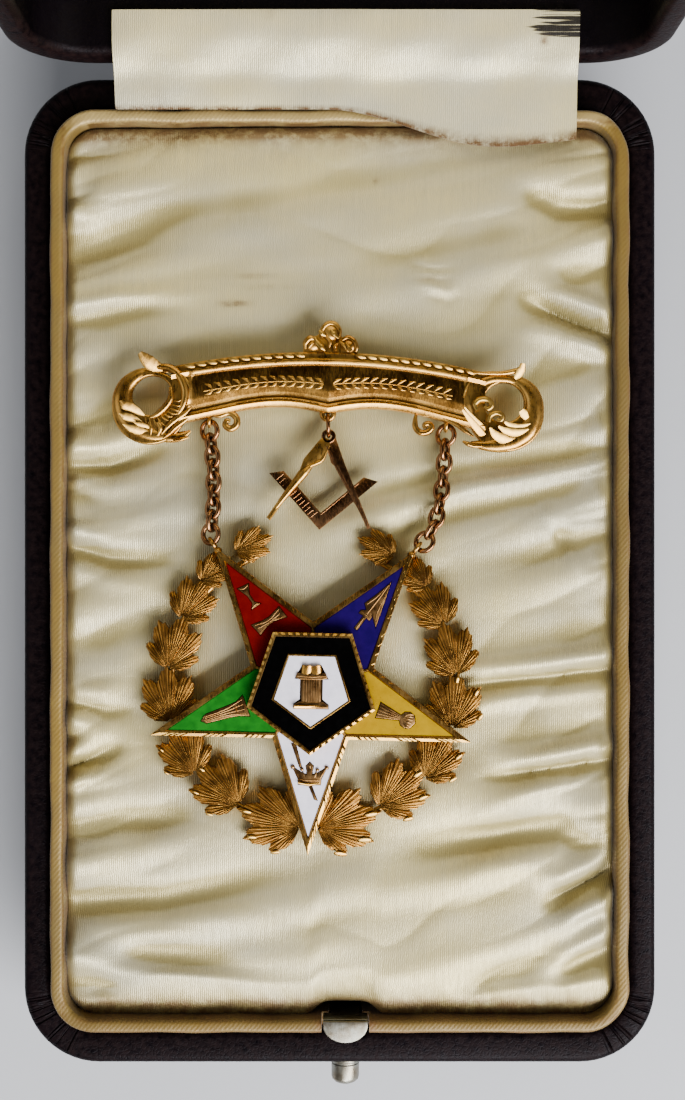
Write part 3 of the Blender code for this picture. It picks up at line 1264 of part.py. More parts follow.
def pentagon(radius):
    """Corners of a pentagon that points to the foot."""
    return circle((0.0, 0.0), radius, 5, -90.0)


def make_pentagon(frame):
    """Raised centre: gold frame with the altar, and its black and white fields."""
    low = STAR_TOP + SEAT_GAP
    high = low + PENTAGON_THICKNESS
    field = high - POCKET_DEPTH
    altar = [(x * MM, y * MM) for x, y in ALTAR]
    to_apothem = math.cos(math.radians(36.0))
    black_outer = pentagon(PENTAGON_RADIUS - PENTAGON_RIM / to_apothem)
    black_inner = pentagon(PENTAGON_INNER_RADIUS + PENTAGON_INNER_FRAME / to_apothem)
    white_outer = pentagon(PENTAGON_INNER_RADIUS)
    centre = flat_solid("centre_pentagon", [pentagon(PENTAGON_RADIUS)], low, high, "gold")
    above = high + POCKET_DEPTH
    black_cut = flat_solid("black_pocket", [black_outer, black_inner], field, above, "gold", CUTTERS)
    white_cut = flat_solid("white_pocket", [white_outer, altar], field, above, "gold", CUTTERS)
    boolean(centre, black_cut)
    boolean(centre, white_cut)
    relief_top = flat_solid("altar_top", [shift_polygon(altar, ALTAR_INSET)], high - POCKET_DEPTH / 2,
                            high + ALTAR_RAISE, "gold", CUTTERS)
    boolean(centre, relief_top, "UNION")
    black_loops = [shift_polygon(black_outer, ENAMEL_GAP), shift_polygon(black_inner, -ENAMEL_GAP)]
    white_loops = [shift_polygon(white_outer, ENAMEL_GAP), shift_polygon(altar, -ENAMEL_GAP)]
    black = flat_solid("enamel_black", black_loops, field + ENAMEL_GAP, high - ENAMEL_SINK, "enamel_black")
    white = flat_solid("enamel_centre_white", white_loops, field + ENAMEL_GAP, high - ENAMEL_SINK / 2,
                       "enamel_white")
    for piece in (centre, black_cut, white_cut, relief_top, black, white):
        piece.parent = frame


def main():
    """Build the box, then the jewel."""
    make_base()
    make_collar()
    make_cushion()
    make_catch()
    lid_empty = empty_at("lid_axis", PIVOT)
    lid_empty.rotation_euler.x = -math.radians(LID_OPEN_DEG)
    make_lid(lid_empty)
    make_hinge(lid_empty)
    make_ribbon()
    bar_frame = empty_at("bar_frame", (*BAR_CENTRE, BAR_Z))
    bar_frame.rotation_euler.z = math.radians(BAR_TURN_DEG)
    make_bar(bar_frame)
    make_brooch_pin(bar_frame)
    make_chains()
    make_drop()
    star_frame = empty_at("star_frame", (*STAR_CENTRE, 0.0))
    star_frame.rotation_euler.z = math.radians(STAR_TURN_DEG)
    make_star(star_frame)
    make_pentagon(star_frame)


main()
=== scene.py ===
"""Looks of the star jewel in its open presentation box, laid out as a Blender add-on and run as a script.

Metres, +Z up, in the same frame as the CAD model. The jewel's top points to +Y.
"""

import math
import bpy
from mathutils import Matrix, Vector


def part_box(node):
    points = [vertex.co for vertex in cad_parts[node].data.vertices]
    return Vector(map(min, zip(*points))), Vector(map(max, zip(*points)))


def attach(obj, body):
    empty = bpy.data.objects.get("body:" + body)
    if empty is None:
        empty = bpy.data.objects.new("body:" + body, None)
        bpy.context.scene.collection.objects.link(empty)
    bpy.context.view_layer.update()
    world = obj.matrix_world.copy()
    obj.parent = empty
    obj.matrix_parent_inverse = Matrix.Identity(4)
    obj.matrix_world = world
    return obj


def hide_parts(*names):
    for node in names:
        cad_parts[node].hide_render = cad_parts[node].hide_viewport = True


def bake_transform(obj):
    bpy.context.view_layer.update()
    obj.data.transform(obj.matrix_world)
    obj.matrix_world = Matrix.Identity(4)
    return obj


bl_info = {
    "name": "Star Jewel",
    "version": (1, 0, 0),
    "blender": (4, 5, 0),
    "location": "View3D > Sidebar > Star Jewel",
    "description": "Builds the dressed star jewel and its satin-lined box, piece by piece",
    "category": "Object",
}

import bmesh
import bpy
import numpy as np
from mathutils import Matrix, Vector

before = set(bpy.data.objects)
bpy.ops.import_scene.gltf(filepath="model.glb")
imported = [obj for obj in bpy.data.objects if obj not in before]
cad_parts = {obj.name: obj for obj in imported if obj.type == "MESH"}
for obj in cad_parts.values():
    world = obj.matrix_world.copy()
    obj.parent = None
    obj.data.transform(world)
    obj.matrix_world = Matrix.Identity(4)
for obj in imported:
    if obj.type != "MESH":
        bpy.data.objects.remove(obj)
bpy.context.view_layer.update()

MM = 0.001
EVEN = (1.0, 1.0, 1.0)
UNTURNED = (0.0, 0.0, 0.0)

# Levels and sizes taken over from the CAD nodes (mm)
BASE_LOW, BASE_HIGH = [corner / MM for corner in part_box("box_base")]
COLLAR_LOW, COLLAR_HIGH = [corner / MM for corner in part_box("collar")]
CUSHION_LOW, CUSHION_HIGH = [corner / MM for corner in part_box("cushion")]
HALF_WIDTH = BASE_HIGH.x
HALF_LENGTH = -BASE_LOW.y
RIM = BASE_HIGH.z
CORNER = 8.0
SIDE_WALL = 2.9
END_WALL = 3.6
FLOOR = 2.9
GAP = 0.3
LID_DEPTH = 11.0
ROOF = 2.2
PIVOT = Vector((0.0, HALF_LENGTH + 0.7, RIM)) * MM
MOUTH = RIM + GAP
COLLAR_WALL = 1.4
NOTCH_BACK = -46.0

# Hinge: half its length, the knuckles' hollow, and the depth of the leaves' seat (mm)
HINGE_HALF = 20.3
KNUCKLE_RADIUS = 1.3
SEAT_DEPTH = 2.9

# Catch and button: their middle across, half the catch's width, its plate's faces, the button's height (mm)
CATCH_X = 0.6
CATCH_HALF = 2.35
CATCH_FRONT = -47.4
CATCH_BACK = -46.9
BUTTON_LEVEL = 10.5

# The cushion's folds: kind, width and depth, and the points that the fold runs through (mm)
FOLDS = [
    ("soft", 1.9, 0.62, [(-29.4, 31.6), (-21.0, 34.2), (-12.1, 37.9)]),
    ("crease", 0.95, 0.5, [(-29.4, 37.6), (-24.7, 39.0)]),
    ("ridge", 0.8, 0.22, [(-29.4, 26.7), (-23.6, 27.9), (-8.4, 29.0)]),
    ("crease", 0.95, 0.75, [(17.8, 28.4), (23.1, 26.3), (28.3, 24.2)]),
    ("soft", 1.2, 0.35, [(16.8, 39.5), (23.1, 37.4), (28.3, 36.9)]),
    ("crease", 0.95, 0.5, [(-29.4, 10.6), (-24.2, 10.8), (-16.3, 13.0)]),
    ("crease", 0.9, 0.4, [(-29.4, 9.0), (-24.7, 6.9)]),
    ("crease", 0.9, 0.45, [(-29.4, 2.7), (-24.2, 1.2), (-14.2, 0.6)]),
    ("ridge", 1.1, 0.32, [(-6.8, 3.0), (2.1, 5.3), (12.6, 8.3), (28.3, 11.1)]),
    ("soft", 1.0, 0.35, [(22.2, 3.0), (24.9, 4.3)]),
    ("crease", 0.9, 0.45, [(-29.4, -13.2), (-24.7, -14.3), (-20.0, -14.1)]),
    ("crease", 0.85, 0.42, [(6.8, -12.7), (14.2, -11.7), (28.3, -10.1)]),
    ("crease", 0.85, 0.65, [(-29.4, -20.4), (-26.3, -19.3), (-21.5, -17.2)]),
    ("crease", 0.9, 0.5, [(12.6, -21.4), (17.8, -20.9), (28.3, -19.3)]),
    ("soft", 1.7, 0.5, [(4.2, -29.3), (12.6, -27.7), (23.1, -26.7), (28.3, -28.8)]),
    ("crease", 0.95, 0.62, [(20.5, -34.5), (28.3, -30.9)]),
    ("ridge", 1.0, 0.38, [(18.9, -41.9), (28.3, -36.6)]),
    ("soft", 1.6, 0.45, [(-29.4, -34.0), (-18.9, -33.7), (-8.4, -31.4), (4.2, -29.8)]),
    ("soft", 1.0, 0.32, [(-24.2, -26.1), (-13.7, -25.1)]),
    ("crease", 0.3, 0.14, [(6.4, 31.3), (10.0, 30.7), (14.0, 31.1)]),
    ("crease", 0.3, 0.12, [(7.0, 30.2), (10.4, 29.8), (13.0, 30.2)]),
    ("ridge", 0.4, 0.12, [(8.4, 29.4), (11.2, 28.5), (13.4, 29.4)]),
    ("ridge", 1.4, 0.46, [(-29.4, -39.3), (-21.5, -40.8), (-8.4, -44.0), (2.1, -45.0), (12.6, -44.3),
        (23.1, -41.9)]),
]

# Smudges on the cushion: place, half width and height, strength (mm)
CUSHION_SPOTS = [(-11.1, 28.1, 1.5, 0.35, 0.9), (-9.4, 31.0, 2.6, 0.3, 0.45), (-6.5, 29.8, 3.0, 0.25, 0.35),
                 (9.8, 30.6, 2.2, 0.3, 0.3), (11.0, 28.6, 1.6, 0.25, 0.25), (3.8, 41.0, 0.3, 0.3, 0.6),
                 (-2.0, -6.0, 3.0, 0.5, 0.25), (18.5, -30.5, 2.5, 0.5, 0.25)]

# Ribbon: its sides, its thickness, and its way back and up from the collar over both rims (mm)
RIBBON_LEFT = -23.5
RIBBON_RIGHT = 24.8
RIBBON_THICKNESS = 0.3
RIBBON_WAY = [(47.9, 16.45), (49.4, 16.85), (51.2, 17.25), (53.0, 18.25), (55.0, 18.95), (57.6, 18.95)]

# Stains on the ribbon: place, size, strength (mm)
RIBBON_STAINS = [(-7.2, 57.0, 0.6, 0.35), (21.0, 54.5, 0.45, 1.0), (-19.0, 49.0, 1.2, 0.25),
                 (24.6, 45.6, 0.5, 0.4)]

# Bar: its frame, its arch and its scallops, as in the CAD model (mm and degrees)
BAR_CENTRE = (-1.19, 17.79)
BAR_TURN = -1.13
BAR_BACK = 16.7
HOLE_OUT = 18.18
BAND_HALF = 16.2
BAND_TOP = 4.9
ARCH_RADIUS = 73.8
PANEL_HALF = 14.0

# Sections across the band: which edge the row is measured from, how far in, and its height over the back
BAND_ROWS = [
    ("low", 0.0, 0.05), ("low", 0.0, 0.7), ("low", 0.03, 0.92), ("low", 0.1, 1.02), ("low", 0.52, 1.24),
    ("low", 0.62, 1.22), ("low", 0.7, 1.02), ("low", 0.76, 0.86), ("low", 0.98, 0.78), ("low", 1.06, 0.48),
    ("low", 1.6, 0.68), ("low", 2.15, 0.88), ("low", 2.45, 0.98), ("top", 2.0, 1.02), ("top", 1.5, 1.03),
    ("top", 1.46, 1.08), ("top", 1.4, 1.16), ("top", 1.02, 1.36), ("top", 0.94, 1.36), ("top", 0.88, 1.22),
    ("top", 0.84, 0.98), ("top", 0.7, 0.94), ("top", 0.22, 1.02), ("top", 0.08, 0.92), ("top", 0.0, 0.6),
    ("top", 0.0, 0.05),
]

# Cast strokes of the bar's ends: finish or form, height over the back, radii along the stroke, points (mm)
LEFT_STROKES = [
    ("tube", 0.62, (0.25, 0.4, 0.62, 0.86, 1.02, 1.08, 1.08, 0.98, 0.78, 0.52, 0.2), [(-16.6, 2.6),
        (-18.2, 2.52), (-19.6, 2.15), (-20.75, 1.2), (-21.25, 0.0), (-21.2, -1.3), (-20.6, -2.6),
        (-19.4, -3.55), (-17.9, -4.05), (-16.5, -4.1), (-15.2, -4.0)]),
    ("petal", 1.5, (0.3, 0.62, 0.84, 0.76, 0.4), [(-19.35, 4.25), (-19.0, 3.85), (-18.5, 3.4), (-17.9, 3.05),
        (-17.1, 2.85)]),
    ("tube", 0.62, (0.3, 0.56, 0.56, 0.4, 0.12), [(-17.9, -4.15), (-16.6, -4.25), (-15.6, -4.2),
        (-14.8, -3.95), (-14.15, -3.55)]),
    ("gold", 1.0, (0.1, 0.22, 0.08), [(-15.9, -4.65), (-15.0, -4.45), (-14.3, -4.25)]),
    ("gold", 1.05, (0.3, 0.42, 0.44, 0.42, 0.38, 0.22), [(-17.7, 3.0), (-16.5, 2.9), (-15.6, 2.35),
        (-15.0, 1.38), (-14.75, 0.35), (-14.95, -0.9), (-15.5, -1.9)]),
    ("petal", 1.46, (0.12, 0.56, 0.64, 0.48, 0.1), [(-21.3, -0.7), (-20.9, -1.1), (-20.3, -1.35),
        (-19.7, -1.65), (-18.9, -2.1)]),
    ("petal", 1.46, (0.1, 0.46, 0.56, 0.46, 0.12), [(-21.4, -2.0), (-20.9, -2.25), (-20.3, -2.45),
        (-19.8, -2.6), (-19.1, -2.8)]),
    ("petal", 1.4, (0.08, 0.42, 0.52, 0.46, 0.16), [(-21.0, -3.1), (-20.3, -3.45), (-19.7, -3.6),
        (-19.1, -3.75), (-18.3, -3.95)]),
    ("petal", 1.48, (0.06, 0.26, 0.3, 0.24, 0.06), [(-19.9, -2.85), (-19.5, -3.0), (-19.1, -3.1),
        (-18.7, -3.2), (-18.2, -3.45)]),
    ("gold", 1.2, (0.16, 0.34, 0.36, 0.3, 0.12), [(-16.25, 0.9), (-16.2, -0.2), (-16.75, -1.15),
        (-17.6, -1.95), (-18.3, -2.3)]),
    ("gold", 1.05, (0.08, 0.3, 0.34, 0.26, 0.06), [(-14.0, -1.05), (-14.8, -1.8), (-15.7, -2.45),
        (-16.5, -3.2), (-17.1, -4.0)]),
    ("gold", 1.05, (0.06, 0.26, 0.3, 0.2, 0.06), [(-13.8, -1.75), (-14.8, -2.55), (-15.7, -3.25),
        (-16.3, -3.9), (-16.9, -4.4)]),
    ("gold", 1.2, (0.22, 0.26, 0.1), [(-17.5, -2.75), (-17.2, -3.4), (-17.5, -4.2)]),
    ("gold", 1.15, (0.2, 0.24, 0.06), [(-18.4, -2.75), (-18.2, -3.4), (-18.2, -4.1)]),
    ("polished", 1.2, (0.06, 0.17, 0.06), [(-15.05, 2.2), (-14.45, 1.35), (-14.15, 0.6)]),
    ("gold", 0.75, (0.12, 0.3, 0.36, 0.36, 0.3, 0.24), [(-12.2, -1.85), (-11.2, -1.95), (-10.2, -1.62),
        (-9.45, -2.1), (-9.42, -2.85), (-10.0, -3.25), (-10.55, -2.95), (-10.45, -2.45), (-10.05, -2.5)]),
]
RIGHT_STROKES = [
    ("tube", 0.62, (0.3, 0.6, 0.86, 1.02, 1.08, 1.08, 0.98, 0.82, 0.55, 0.2), [(18.2, 2.6), (19.7, 2.2),
        (20.85, 1.2), (21.3, -0.1), (21.2, -1.6), (20.6, -3.0), (19.3, -3.95), (17.7, -4.35), (16.1, -4.4),
        (14.8, -4.25)]),
    ("tube", 0.8, (0.2, 0.46, 0.54, 0.5, 0.42, 0.26), [(19.6, 2.0), (18.4, 2.42), (16.9, 2.42), (15.6, 1.85),
        (14.9, 0.8), (14.8, -0.3), (15.25, -1.3)]),
    ("gold", 1.15, (0.1, 0.22, 0.26, 0.3), [(14.9, 2.95), (16.5, 2.95), (18.1, 3.0), (19.5, 3.3)]),
    ("polished", 1.45, (0.26, 0.3, 0.32, 0.3, 0.2), [(15.35, -0.9), (15.12, -0.3), (15.65, 0.2),
        (16.45, 0.18), (16.85, -0.35), (16.5, -0.75), (16.1, -0.5)]),
    ("polished", 1.5, (0.24, 0.28, 0.3, 0.28, 0.16), [(16.55, -2.1), (16.75, -1.45), (17.35, -1.15),
        (17.95, -1.4), (17.85, -1.9), (17.45, -1.9)]),
    ("petal", 1.5, (0.28, 0.5, 0.48, 0.22), [(19.95, 3.95), (19.8, 3.35), (19.55, 2.85), (19.2, 2.45)]),
    ("petal", 1.46, (0.12, 0.44, 0.6, 0.52, 0.18), [(16.65, -2.75), (17.2, -3.35), (17.95, -3.75),
        (18.9, -3.95), (20.1, -3.8)]),
    ("petal", 1.52, (0.12, 0.4, 0.52, 0.44, 0.12), [(17.55, -2.55), (18.3, -2.95), (19.2, -3.15),
        (20.1, -3.05), (20.7, -2.75)]),
    ("petal", 1.48, (0.12, 0.34, 0.44, 0.34, 0.1), [(18.2, -2.1), (18.9, -2.45), (19.6, -2.55),
        (20.9, -2.2)]),
    ("petal", 1.3, (0.12, 0.3, 0.4, 0.4, 0.16), [(13.8, -1.0), (14.6, -1.9), (15.4, -2.75), (16.3, -3.6),
        (17.6, -4.45)]),
    ("petal", 1.3, (0.06, 0.26, 0.34, 0.3, 0.08), [(14.0, -0.7), (14.8, -1.6), (15.6, -2.3), (16.3, -2.95),
        (17.0, -3.6)]),
    ("gold", 1.05, (0.1, 0.26, 0.22, 0.08), [(13.95, -4.1), (14.5, -4.35), (15.2, -4.55), (16.0, -4.6)]),
    ("petal", 1.45, (0.36, 0.5, 0.3), [(19.9, -0.85), (20.2, -1.2), (20.55, -1.65)]),
    ("gold", 0.95, (0.05, 0.2, 0.26, 0.24, 0.08), [(9.9, -1.55), (11.6, -1.65), (13.1, -2.25), (14.2, -3.0),
        (15.1, -3.6)]),
    ("polished", 1.2, (0.06, 0.14, 0.06), [(14.5, 1.95), (14.15, 1.2), (13.95, 0.4)]),
    ("gold", 0.75, (0.12, 0.3, 0.34, 0.34, 0.3, 0.22), [(9.15, -1.3), (9.05, -1.95), (9.1, -2.75),
        (9.6, -3.25), (10.3, -3.2), (10.75, -2.75), (10.5, -2.35), (10.05, -2.45), (10.1, -2.85)]),
]
FINIAL_STROKES = [
    ("gold", 0.95, (0.16, 0.26, 0.28, 0.26, 0.16), [(-0.75, 6.3), (-0.75, 7.1), (-0.2, 7.75), (0.55, 7.75),
        (1.05, 7.1), (1.0, 6.3)]),
    ("polished", 1.3, (0.14, 0.32, 0.12), [(-1.05, 7.0), (-0.75, 6.65), (-0.35, 6.45)]),
    ("polished", 1.4, (0.1, 0.34, 0.14), [(0.15, 7.1), (0.45, 6.65), (1.0, 6.2)]),
    ("polished", 1.25, (0.1, 0.34, 0.34, 0.14), [(-1.5, 6.3), (-1.2, 5.7), (-0.75, 5.25), (-0.35, 4.95)]),
    ("gold", 1.05, (0.14, 0.3, 0.34, 0.22), [(-2.45, 5.1), (-2.45, 5.7), (-2.0, 6.2), (-1.5, 6.15)]),
    ("gold", 1.1, (0.16, 0.24, 0.14), [(-2.1, 5.2), (-1.85, 5.6), (-1.6, 5.7)]),
    ("gold", 1.0, (0.14, 0.24, 0.26, 0.22, 0.12), [(1.3, 6.05), (1.9, 6.4), (2.55, 6.05), (2.85, 5.4),
        (2.75, 4.9)]),
    ("polished", 1.25, (0.1, 0.26, 0.1), [(1.1, 5.9), (1.5, 5.55), (1.75, 5.1)]),
    ("polished", 1.25, (0.08, 0.26, 0.2), [(1.75, 5.75), (2.05, 5.3), (2.25, 4.95)]),
    ("gold", 1.05, (0.16, 0.22, 0.12), [(-0.3, 6.4), (0.1, 5.9), (0.0, 5.3)]),
    ("gold", 1.05, (0.12, 0.24, 0.12), [(0.9, 5.8), (0.6, 5.4), (0.7, 4.95)]),
]
FINIAL_PLATE = [(-2.7, 4.6), (2.95, 4.6), (2.9, 5.6), (2.3, 6.3), (1.3, 6.5), (1.05, 7.3), (0.5, 7.8),
                (-0.2, 7.8), (-0.8, 7.2), (-1.2, 6.6), (-2.1, 6.3), (-2.65, 5.6)]

# Chains: the routes of their links and rings, as in the CAD model (mm)
CHAIN_LEVEL = 16.4
CHAIN_ROUTES = {
    "left": [(-13.53, 14.61), (-13.15, 11.0), (-13.1, 7.5), (-13.3, 5.2), (-13.42, 3.86)],
    "right": [(11.06, 14.13), (10.85, 10.6), (10.55, 7.6), (9.95, 4.9), (8.85, 3.04)],
}
LINK_COUNT = 7
END_SPACING = 1.034

# Drop: the place of the compasses' head, the two eyes that the ring joins, and outlines from the head (mm)
DROP_HEAD = (-1.14, 13.52)
DROP_BACK = 16.1
DROP_EYE = (-1.14, 13.97)
BAR_EYE = (-1.22, 16.29)
LEFT_LEG = [(0.35, 0.0), (-0.75, -2.15), (-1.35, -2.2), (-2.05, -2.55), (-2.7, -3.6), (-6.05, -8.25),
            (-6.45, -7.95), (-2.95, -2.9), (-2.6, -1.9), (-1.1, -0.1), (-0.55, 0.45)]
RIGHT_LEG = [(-0.35, 0.0), (0.25, -2.3), (0.75, -2.75), (0.95, -2.6), (4.02, -9.2), (4.36, -9.02),
             (1.75, -2.55), (0.75, 0.3)]
SQUARE_CORNER = (-0.96, -9.24)
SQUARE_ARMS = (131.5, 39.5)

# Star and wreath, in the star's own frame (mm)
STAR_CENTRE = (-2.9, -11.95)
STAR_TURN = -1.33
STAR_RADIUS = 17.5
NOTCH_SHARE = 0.382
STAR_BACK = 15.9
STAR_FLOOR = 16.6
STAR_TOP = 17.3
STAR_RIM = 0.55
PENTAGON_RADIUS = 6.95
PENTAGON_INNER = 4.05
PENTAGON_BACK = 17.38
PENTAGON_FLOOR = 17.83
PENTAGON_TOP = 18.53
WREATH_BACK = 15.4
POINTS = {"white": 0, "yellow": 1, "blue": 2, "red": 3, "green": 4}
# Leaves of one side: angle from the foot, radius of the middle, length, width and lift (degrees and mm)
LEAVES = [
    (15.5, 14.5, 6.7, 5.6, 0.12),
    (41.5, 14.2, 6.1, 5.1, 0.0),
    (61.5, 15.0, 5.6, 4.6, 0.1),
    (84.5, 15.0, 5.8, 5.0, 0.0),
    (105.5, 14.9, 5.7, 4.7, 0.1),
    (124.5, 15.2, 5.0, 4.1, 0.0),
    (138.5, 15.8, 3.9, 3.0, 0.1),
    (156.0, 16.0, 4.2, 3.0, 0.0),
]
# Lobes of a leaf: angle and reach as a share of its length
LOBES = [(-68.0, 0.78), (-35.0, 0.95), (0.0, 1.0), (35.0, 0.95), (68.0, 0.78)]
LOBE_HALF = 16.5

# Raised figures of the star's points, along the point from the centre and across it (mm), as in the CAD model
FIGURES = {
    "red": [
        [(12.7, 0.55), (12.5, -0.7), (11.5, -0.12), (10.6, -0.12), (10.1, -0.55), (10.1, 0.55),
         (10.6, 0.12), (11.5, 0.12)],
        [(8.75, -1.95), (8.45, -0.6), (8.5, 0.3), (8.8, 1.5), (7.4, 1.3), (7.75, 0.3), (7.8, -0.6),
         (7.4, -2.0)],
    ],
    "blue": [
        [(13.6, 0.0), (11.6, 0.45), (10.2, 0.85), (9.75, 0.3), (9.4, 0.75), (9.05, 0.72), (9.1, 0.18),
         (7.5, 0.18), (7.5, -0.18), (9.1, -0.18), (9.05, -0.6), (9.4, -0.62), (9.85, -0.3), (8.9, -1.55),
         (10.3, -1.1), (12.0, -0.55)],
    ],
    "yellow": [
        [(7.3, -0.85), (9.7, -0.28), (10.0, -0.72), (10.5, -0.88), (11.05, -0.68), (11.38, 0.0),
         (11.05, 0.68), (10.5, 0.88), (10.0, 0.72), (9.7, 0.28), (7.3, 0.85)],
    ],
    "white": [
        [(10.15, -1.15), (10.15, 1.15), (9.55, 1.2), (8.3, 1.8), (8.95, 0.75), (9.1, 0.3), (8.75, 0.28),
         (8.2, 0.4), (7.8, 0.0), (8.2, -0.4), (8.75, -0.28), (9.1, -0.3), (8.95, -0.75), (8.3, -1.8),
         (9.55, -1.2)],
        [(11.75, 0.85), (11.65, 0.55), (10.4, 0.0), (10.35, 0.28)],
        [(5.9, -1.95), (6.0, -1.5), (8.4, -0.82), (8.35, -1.05)],
    ],
    "green": [
        [(12.0, 0.1), (11.3, -0.42), (9.0, -0.6), (8.0, -0.72), (7.1, -1.2), (7.0, 1.1), (8.0, 0.75),
         (9.0, 0.62), (11.5, 0.52)],
    ],
}
# Engraved lines and small raised grains on those figures: radii along the stroke, points (mm)
FIGURE_STROKES = {
    "red": [((0.05, 0.1, 0.05), [(12.55, 0.4), (12.35, 0.0), (12.4, -0.5)]),
            ((0.05, 0.09, 0.05), [(10.2, 0.42), (10.3, 0.0), (10.2, -0.42)]),
            ((0.05, 0.1, 0.05), [(8.1, -1.6), (8.0, -0.2), (8.1, 1.2)]),
            ((0.04, 0.08, 0.04), [(7.65, -1.7), (7.95, -0.2), (7.65, 1.1)]),
            ((0.04, 0.08, 0.04), [(8.5, -1.7), (8.2, -0.2), (8.55, 1.2)])],
    "blue": [((0.04, 0.12, 0.03), [(9.2, 0.0), (11.2, 0.0), (13.2, 0.0)]),
             ((0.04, 0.1, 0.04), [(9.3, 0.55), (9.35, 0.0), (9.3, -0.5)]),
             ((0.06, 0.06), [(7.6, 0.0), (8.9, 0.0)]),
             ((0.03, 0.09, 0.03), [(9.3, -1.2), (10.4, -0.7), (12.2, -0.35)]),
             ((0.03, 0.08, 0.03), [(10.3, 0.6), (11.3, 0.3), (12.6, 0.1)])],
    "yellow": [((0.05, 0.1, 0.05), [(7.35, y), (8.6, 0.62 * y), (9.75, 0.28 * y)])
               for y in (-0.72, -0.38, 0.0, 0.38, 0.72)]
              + [((0.04, 0.12, 0.05), [(10.0 + 0.2 * abs(y), 0.5 * y), (10.6, 0.8 * y),
                                       (11.15 - 0.25 * abs(y), 0.85 * y)])
                 for y in (-0.85, -0.55, -0.2, 0.2, 0.55, 0.85)],
    "white": [((0.08, 0.1, 0.08), [(10.05, -1.05), (10.1, 0.0), (10.05, 1.05)]),
              ((0.07, 0.09, 0.07), [(9.65, -1.1), (9.7, 0.0), (9.65, 1.1)]),
              ((0.16, 0.17, 0.05), [(8.45, 0.0), (8.2, 0.0), (7.9, 0.0)])]
             + [(radii, [(out, side * away) for out, away in points])
                for side in (-1, 1) for radii, points in (
                 ((0.1, 0.12, 0.03), [(9.4, 1.1), (9.0, 1.35), (8.4, 1.72)]),
                 ((0.08, 0.1, 0.03), [(9.4, 0.5), (9.1, 0.62), (8.7, 0.72)]),
                 ((0.2, 0.24, 0.2), [(8.22, 1.82), (8.35, 1.76), (8.48, 1.7)]),
                 ((0.16, 0.2, 0.16), [(8.45, 0.85), (8.58, 0.8), (8.7, 0.76)]))],
    "green": [((0.04, 0.1, 0.04), [(7.3, y), (9.2, 0.42 * y), (11.7, 0.3 * y + 0.08)])
              for y in (-0.8, -0.3, 0.25, 0.75)]
             + [((0.05, 0.1, 0.05), [(11.5, -0.32), (11.6, 0.1), (11.6, 0.42)]),
                ((0.05, 0.1, 0.05), [(8.1, -0.6), (8.2, 0.0), (8.1, 0.65)])],
}


class CaseSettings(bpy.types.PropertyGroup):
    """Leather case and its metal fittings."""
    leather: bpy.props.FloatVectorProperty(
        name="Leather", description="Colour of the case's grained leather", subtype="COLOR", size=3,
        default=(0.001, 0.0005, 0.0011), min=0.0, max=1.0)
    grain: bpy.props.FloatProperty(
        name="Grain", description="Size of the leather's pebbles", unit="LENGTH", default=0.00045,
        min=0.0001, max=0.003)
    rim_rounding: bpy.props.FloatProperty(
        name="Rim rounding", description="Radius of the rims' edges", unit="LENGTH", default=0.0009,
        min=0.0002, max=0.0014)
    foot_rounding: bpy.props.FloatProperty(
        name="Foot rounding", description="Radius of the outer edges of floor and roof", unit="LENGTH",
        default=0.0012, min=0.0002, max=0.002)


class SatinSettings(bpy.types.PropertyGroup):
    """Cushion, collar, ribbon and the lid's pad."""
    cream: bpy.props.FloatVectorProperty(
        name="Cream", description="Colour of the cushion's satin", subtype="COLOR", size=3,
        default=(0.62, 0.555, 0.335), min=0.0, max=1.0)
    old_gold: bpy.props.FloatVectorProperty(
        name="Old gold", description="Colour of the collar's satin", subtype="COLOR", size=3,
        default=(0.235, 0.158, 0.038), min=0.0, max=1.0)
    foxing: bpy.props.FloatVectorProperty(
        name="Foxing", description="Colour of the rust stains along the edges", subtype="COLOR", size=3,
        default=(0.125, 0.058, 0.015), min=0.0, max=1.0)
    rib_pitch: bpy.props.FloatProperty(
        name="Rib pitch", description="Distance between two ribs of the weave", unit="LENGTH",
        default=0.00021, min=0.00005, max=0.001)
    fold_strength: bpy.props.FloatProperty(
        name="Fold strength", description="Depth of the folds, as a share of the depths in their list",
        default=2.2, min=0.0, max=4.0)


class StageSettings(bpy.types.PropertyGroup):
    """Floor, lights and surroundings."""
    floor: bpy.props.FloatVectorProperty(
        name="Floor", description="Colour of the plain floor", subtype="COLOR", size=3,
        default=(0.45, 0.465, 0.505), min=0.0, max=1.0)
    key: bpy.props.FloatProperty(
        name="Key light", description="Power of the wide soft light from the lower right", default=6.4,
        min=0.0, max=50.0, unit="POWER")
    fill: bpy.props.FloatProperty(
        name="Fill light", description="Power of the weak light from the left", default=0.27, min=0.0,
        max=20.0, unit="POWER")
    back: bpy.props.FloatProperty(
        name="Back light", description="Power of the weak light from beyond the lid", default=0.2, min=0.0,
        max=20.0, unit="POWER")
    surroundings: bpy.props.FloatProperty(
        name="Surroundings", description="Strength of the studio's even light", default=0.36, min=0.0,
        max=5.0)


def deselect():
    """Leave edit mode and select nothing."""
    if bpy.context.object and bpy.context.object.mode != "OBJECT":
        bpy.ops.object.mode_set(mode="OBJECT")
    bpy.ops.object.select_all(action="DESELECT")


def select_only(obj):
    """Make one object the selected and active one."""
    deselect()
    obj.select_set(True)
    bpy.context.view_layer.objects.active = obj


